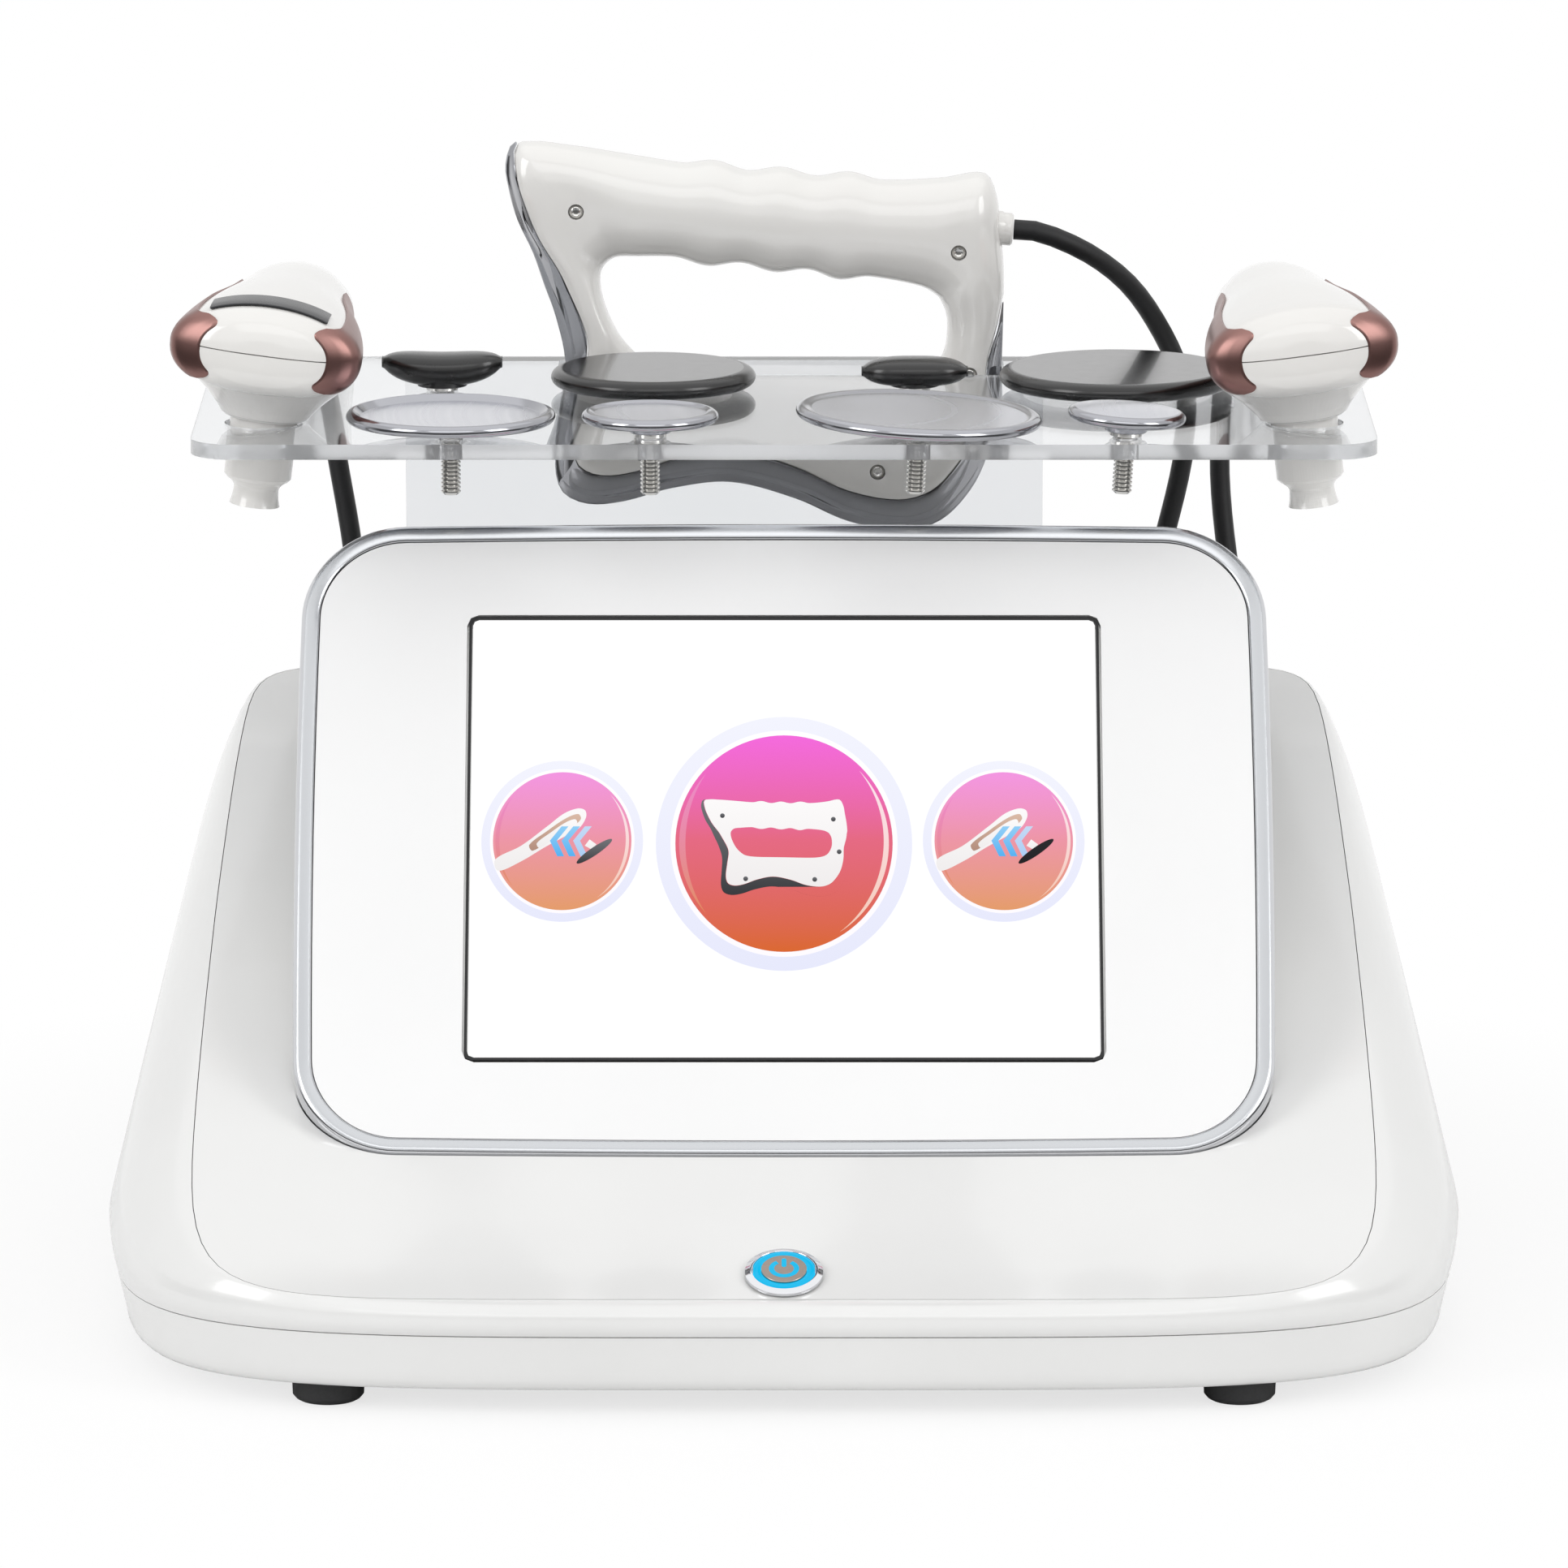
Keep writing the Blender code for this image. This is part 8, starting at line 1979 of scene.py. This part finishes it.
def inlay_mesh(name, side):
    """A curved metal trim on one side of the body, its corners rounded."""
    inside = [row[0] for row in handpiece_stations()
              if INLAY_FRONT_Y + INLAY_ROUNDING < row[0] < INLAY_BACK_Y - INLAY_ROUNDING]
    ends = [INLAY_ROUNDING * share for share in INLAY_END_SHARES]
    places = sorted([INLAY_FRONT_Y + end for end in ends] + inside + [INLAY_BACK_Y - end for end in ends])
    rings = []
    for y in places:
        row = handpiece_row(y)
        short = max(0.0, INLAY_ROUNDING - min(y - INLAY_FRONT_Y, INLAY_BACK_Y - y))
        height = (min(INLAY_HALF_HEIGHT, row[3] * INLAY_HEIGHT_SHARE)
                  - INLAY_ROUNDING + math.sqrt(INLAY_ROUNDING ** 2 - short ** 2))
        reach = math.asin((height / row[3]) ** (SIDE_SECTION_EXPONENT / 2))
        ring = []
        for grow, direction in ((INLAY_GAP + INLAY_THICKNESS, 1), (INLAY_GAP, -1)):
            for turn in range(INLAY_SECTION_STEPS + 1):
                angle = reach * (2 * turn / INLAY_SECTION_STEPS - 1) * direction
                point = body_point(row, angle, grow)
                ring.append(Vector((side * point.x, point.y, point.z)))
        rings.append(ring)
    return cleaned(loft(name, rings))


def half_shell(side):
    """Upper (side 1) or lower (side -1) half of a body, with a rounded nose and tail."""
    rings = []
    rows = handpiece_stations()
    first, last = rows[0], rows[-1]
    entries = [(Vector((first[0] + drop, *first[1:])), scale) for scale, drop in NOSE_SECTIONS]
    entries += [(row, 1.0) for row in rows if row[0] > first[0] + NOSE_END]
    entries += [(last, scale) for scale in TAIL_SHARES]
    for row, scale in entries:
        ring = []
        middle = row[2]
        for step in range(HALF_SECTION_STEPS + 1):
            point = body_point(row, side * math.pi * step / HALF_SECTION_STEPS)
            point.x *= scale
            point.z = middle + (point.z - middle) * scale + side * SEAM_GAP / 2
            ring.append(point)
        rings.append(ring)
    return cleaned(loft("half_shell", rings))


def make_handpiece(prefix, side):
    body = prefix + "_handpiece"
    matrix = handpiece_matrix(side)
    upper = show(prefix + "_handle_top_half", half_shell(1), HANDLE_PC, body, matrix,
                 [body + "_upper_shell"])
    soften(upper, 0.0003)
    lower = show(prefix + "_handle_bottom_half", half_shell(-1), HANDLE_PC, body, matrix,
                 [body + "_lower_shell"])
    funnel = turned(fine_funnel(), 72)
    funnel.transform(matrix)
    combine(lower, [funnel], "UNION")
    soften(lower, 0.0003)
    for place, way in (("outer", side), ("inner", -side)):
        inlay = show(f"{prefix}_handle_{place}_rose_trim", inlay_mesh("inlay", way), ROSE_TRIM, body, matrix,
                     [f"{body}_{place}_inlay"])
        soften(inlay, 0.0003)
    tail = handpiece_stations()[-1]
    boot = [(0.0, BOOT_LENGTH)]
    for rib in range(RIBS, -1, -1):
        at = BOOT_LENGTH * rib / RIBS
        radius = BOOT_RADIUS + (BOOT_TIP_RADIUS - BOOT_RADIUS) * rib / RIBS
        boot.append((radius, at))
        if rib:
            boot += [(radius - inset, at - drop) for inset, drop in BOOT_RIB]
    boot.append((0.0, 0.0))
    place = (matrix @ Matrix.Translation((0.0, tail[0] + FIT_GAP, tail[2]))
             @ Matrix.Rotation(-math.pi / 2, 4, "X"))
    show(prefix + "_handle_boot", turned(boot, 48), SILICONE, body, place, [body + "_boot"])


def fine_funnel():
    """The neck below a handpiece: its bowl, the tube through the shelf and the flared mouth."""
    shoulder = (FIT_GAP + SHOULDER_RADIUS * math.sin(HANDPIECE_LEAN)) / math.cos(HANDPIECE_LEAN)
    keys = [Vector((radius, height, 0.0)) for radius, height in BOWL_KEYS]
    points = [(0.0, BOWL_KEYS[0][1])]
    for index in range(len(keys) - 1):
        points += [tuple(spline_point(*span_keys(keys, index), step / BOWL_STEPS))[:2]
                   for step in range(BOWL_STEPS)]
    points += [(SHOULDER_RADIUS, shoulder + 0.0003), (SHOULDER_RADIUS - 0.0003, shoulder),
               (NECK_TUBE_RADIUS, shoulder), (NECK_TUBE_RADIUS, -NECK_TUBE_DROP + 0.0004)]
    waist, mouth = -WAIST_DROP, -MOUTH_DROP
    shares = [step / MOUTH_STEPS for step in range(1, MOUTH_STEPS + 1)]
    for share in shares:
        points.append((NECK_TUBE_RADIUS + (WAIST_RADIUS - NECK_TUBE_RADIUS) * math.sin(share * math.pi / 2),
                       -NECK_TUBE_DROP + (waist + NECK_TUBE_DROP) * share))
    points += [(WAIST_RADIUS + (MOUTH_RADIUS - WAIST_RADIUS) * share ** 2, waist + (mouth - waist) * share)
               for share in shares]
    return points + [(SOCKET_RADIUS, mouth), (SOCKET_RADIUS, SOCKET_DEPTH + mouth), (0.0, SOCKET_DEPTH + mouth)]


def make_indicator():
    rings = []
    for step in range(LENS_STEPS + 1):
        y = LENS_FRONT_Y + (LENS_BACK_Y - LENS_FRONT_Y) * step / LENS_STEPS
        row = handpiece_row(y)
        reach = math.acos((LENS_HALF_WIDTH / row[1]) ** (TOP_SECTION_EXPONENT / 2))
        ring = []
        for grow, direction in ((FIT_GAP + LENS_THICKNESS, 1), (FIT_GAP, -1)):
            for turn in range(2 * INLAY_SECTION_STEPS + 1):
                angle = math.pi / 2 + (math.pi / 2 - reach) * (1 - turn / INLAY_SECTION_STEPS) * direction
                ring.append(body_point(row, angle, grow) + Vector((0.0, 0.0, SEAM_GAP / 2)))
        rings.append(ring)
    strip = show("left_handle_indicator_strip", cleaned(loft("indicator", rings)), INDICATOR, "left_handpiece",
                 handpiece_matrix(-1), ["left_handpiece_indicator"])
    soften(strip, 0.0003)


make_handpiece("left", -1)
make_handpiece("right", 1)
make_indicator()


# Rear wall fittings

def rear_matrix(x, z):
    """Frame on the rear wall: z points out of the wall to the back."""
    return Matrix.Translation((x, HOUSING_BACK + FIT_GAP, z)) @ Matrix.Rotation(-math.pi / 2, 4, "X")


def make_rear():
    centre = rear_matrix(GLAND_CENTRE_X, GLAND_Z)
    loop = rounded_rectangle((-GLAND_PLATE_HALF_WIDTH, -GLAND_PLATE_HALF_HEIGHT),
                             (GLAND_PLATE_HALF_WIDTH, GLAND_PLATE_HALF_HEIGHT), (GLAND_PLATE_CORNER,) * 4, 8)
    panel = show("rear_gland_panel", slab([loop], 0.0, GLAND_PLATE_THICKNESS), GLAND_NYLON, "machine", centre,
                 ["lead_gland_panel"])
    top = GLAND_PLATE_THICKNESS + GLAND_NUT_LENGTH
    glands = []
    for row in (-1, 0, 1):
        profile = [(0.0, top + GLAND_TAIL_LENGTH)]
        for rib in range(RIBS):
            at = top + GLAND_TAIL_LENGTH * (1 - rib / RIBS)
            radius = GLAND_TIP_RADIUS + (GLAND_BARREL_RADIUS - GLAND_TIP_RADIUS) * rib / RIBS
            profile += [(radius - inset, at - drop) for inset, drop in GLAND_RIB]
        profile += [(GLAND_BARREL_RADIUS, top), (GLAND_BASE_RADIUS - GLAND_ROUNDING, top),
                    (GLAND_BASE_RADIUS, top - GLAND_ROUNDING), (GLAND_BASE_RADIUS, GLAND_PLATE_THICKNESS / 2),
                    (GLAND_BARREL_RADIUS, GLAND_PLATE_THICKNESS / 2),
                    (GLAND_BARREL_RADIUS, -GLAND_BARREL_LENGTH), (0.0, -GLAND_BARREL_LENGTH)]
        gland = turned(profile, 48)
        gland.transform(centre @ Matrix.Translation((row * GLAND_SPACING, 0.0, 0.0)))
        glands.append(gland)
    combine(panel, glands, "UNION")
    soften(panel, 0.0003)
    inlet = rear_matrix(INLET_X, INLET_Z)
    floor = INLET_FLANGE - INLET_CUP_DEPTH
    length = INLET_CUP_DEPTH - INLET_PIN_DROP - BOSS_OVERLAP + PIN_COVER
    for row, name in ((-1, "left"), (0, "earth"), (1, "right")):
        rise = INLET_PIN_RISE if row == 0 else -INLET_PIN_RISE
        pin = box_mesh("pin", (INLET_PIN_WIDTH + 2 * PIN_COVER, INLET_PIN_HEIGHT + 2 * PIN_COVER, length),
                       (INLET_CUP_X + row * INLET_PIN_SPACING, rise, floor + length / 2))
        soften(show(f"inlet_{name}_pin", pin, NICKEL, "machine", inlet), 0.0002)
    tilt = (Matrix.Translation((ROCKER_X, 0.0, INLET_FLANGE + ROCKER_PROUD - ROCKER_THICKNESS / 2))
            @ Matrix.Rotation(math.pi / 2, 4, "Y") @ Matrix.Rotation(-ROCKER_ANGLE, 4, "Z"))
    face = Matrix.Translation((-ROCKER_THICKNESS / 2, 0.0, 0.0)) @ Matrix.Rotation(math.pi / 2, 4, "Y")
    line = rounded_rectangle(*ROCKER_LINE, (ROCKER_LINE_CORNER,) * 4, 3)
    ring = [circle_loop(ROCKER_RING_CENTRE, radius, 40) for radius in ROCKER_RING_RADII]
    for name, loops in (("on", [line]), ("off", ring)):
        show(f"rocker_{name}_mark", slab(loops, -PRINT_HALF, PRINT_HALF), WHITE_PRINT, "mains_switch",
             inlet @ tilt @ face, smooth=False)


# Nickel-plated brass of the inlet's contacts: a warm pale metal with a soft shine
NICKEL = polished_metal("nickel_plated_brass", "#c8c3b6", 0.14, 0.05)
# White pad print of the rocker's marks: flat and slightly chalky
WHITE_PRINT = grained("white_pad_print", "#e6e6e4", "#ececea", 0.55, 0.0004, 0.00002)
make_rear()
for node, finish, rounding in (
        ("mains_inlet", GLAND_NYLON, 0.0004), ("mains_rocker", GLAND_NYLON, 0.0005),
        ("power_supply", ALUMINIUM, 0.0), ("heat_sink", ALUMINIUM, 0.0002), ("output_transformer", TAPE, 0.0),
        ("generator_board", SOLDER_MASK, 0.0), ("control_board", SOLDER_MASK, 0.0)):
    finish_node(node, finish, rounding)
make_page()


# Studio: pale floor, white surround and soft lamps

TABLE_SIDE, TABLE_FRONT, TABLE_BACK, TABLE_Z = 0.46, -0.42, 0.5, -0.0002
# Distances from the machine between which the paper changes to pure white
TABLE_FADE = (0.18, 0.41)
# Light that matt faces get from the surround, and what shiny ones see of the unlit end
WORLD_FILL = 0.62
DARK_END = 0.12


def make_floor():
    finish, tree, shader = surface("seamless_paper", Roughness=0.9)
    tree.links.new(two_tones(tree, noise(tree, 0.4, 2.0), "#f4f4f4", "#f6f6f6"), shader.inputs["Base Color"])
    lit = add(tree, "ShaderNodeEmission", {"Color": (1, 1, 1, 1), "Strength": 1.0})
    reach = add(tree, "ShaderNodeVectorMath", {0: own_point(tree)}, operation="LENGTH").outputs["Value"]
    seen = add(tree, "ShaderNodeLightPath")
    share = maths(tree, "MULTIPLY", seen.outputs["Is Camera Ray"], spread(tree, reach, 0.72, 1.0, *TABLE_FADE))
    blend = add(tree, "ShaderNodeMixShader", {0: share, 1: shader.outputs["BSDF"], 2: lit.outputs["Emission"]})
    tree.links.new(blend.outputs["Shader"], tree.nodes["Material Output"].inputs["Surface"])
    mesh = mesh_from("studio_table", [(-TABLE_SIDE, TABLE_FRONT, TABLE_Z), (TABLE_SIDE, TABLE_FRONT, TABLE_Z),
                                      (TABLE_SIDE, TABLE_BACK, TABLE_Z), (-TABLE_SIDE, TABLE_BACK, TABLE_Z)],
                     [(0, 1, 2, 3)])
    mesh.materials.append(finish)
    put("studio_table", mesh)


def make_world():
    """White surround; shiny faces also see the unlit end of the studio, low down in front of the machine."""
    world = bpy.data.worlds.new("white_surround")
    bpy.context.scene.world = world
    world.use_nodes = True
    tree = world.node_tree
    seen = add(tree, "ShaderNodeLightPath")
    way = add(tree, "ShaderNodeSeparateXYZ", {0: add(tree, "ShaderNodeTexCoord").outputs["Generated"]})
    high = spread(tree, way.outputs["Z"], DARK_END, 1.0, 0.02, 0.14)
    behind = spread(tree, way.outputs["Y"], DARK_END, 1.0, -0.05, 0.35)
    glossy = seen.outputs["Is Glossy Ray"]
    mirrored = maths(tree, "MULTIPLY", glossy, maths(tree, "MAXIMUM", high, behind))
    direct = maths(tree, "MAXIMUM", seen.outputs["Is Camera Ray"], seen.outputs["Is Transmission Ray"])
    fill = spread(tree, glossy, WORLD_FILL, 0.0)
    back = tree.nodes["Background"]
    back.inputs["Color"].default_value = (1, 1, 1, 1)
    strength = maths(tree, "MAXIMUM", maths(tree, "MAXIMUM", direct, mirrored), fill)
    tree.links.new(strength, back.inputs["Strength"])


def softbox(name, at, aim, size, power):
    """A rectangular lamp turned to its aim."""
    lamp = bpy.data.lights.new(name, "AREA")
    lamp.shape = "RECTANGLE"
    lamp.size, lamp.size_y = size
    lamp.energy = power
    holder = put(name, lamp)
    holder.location = at
    holder.rotation_euler = (Vector(at) - Vector(aim)).to_track_quat("Z", "Y").to_euler()


make_floor()
make_world()
for name, at, aim_height, size, power in (
        ("overhead_softbox", (0.0, 0.2, 2.2), 0.1, (3.4, 3.0), 12),
        ("left_softbox", (-1.9, -1.3, 1.3), 0.12, (1.0, 1.4), 17),
        ("right_softbox", (1.9, -1.3, 1.3), 0.12, (1.0, 1.4), 16),
        ("front_softbox", (0.0, -2.4, 2.0), 0.15, (2.4, 1.2), 9.5)):
    softbox(name, at, (0.0, 0.0, aim_height), size, power)
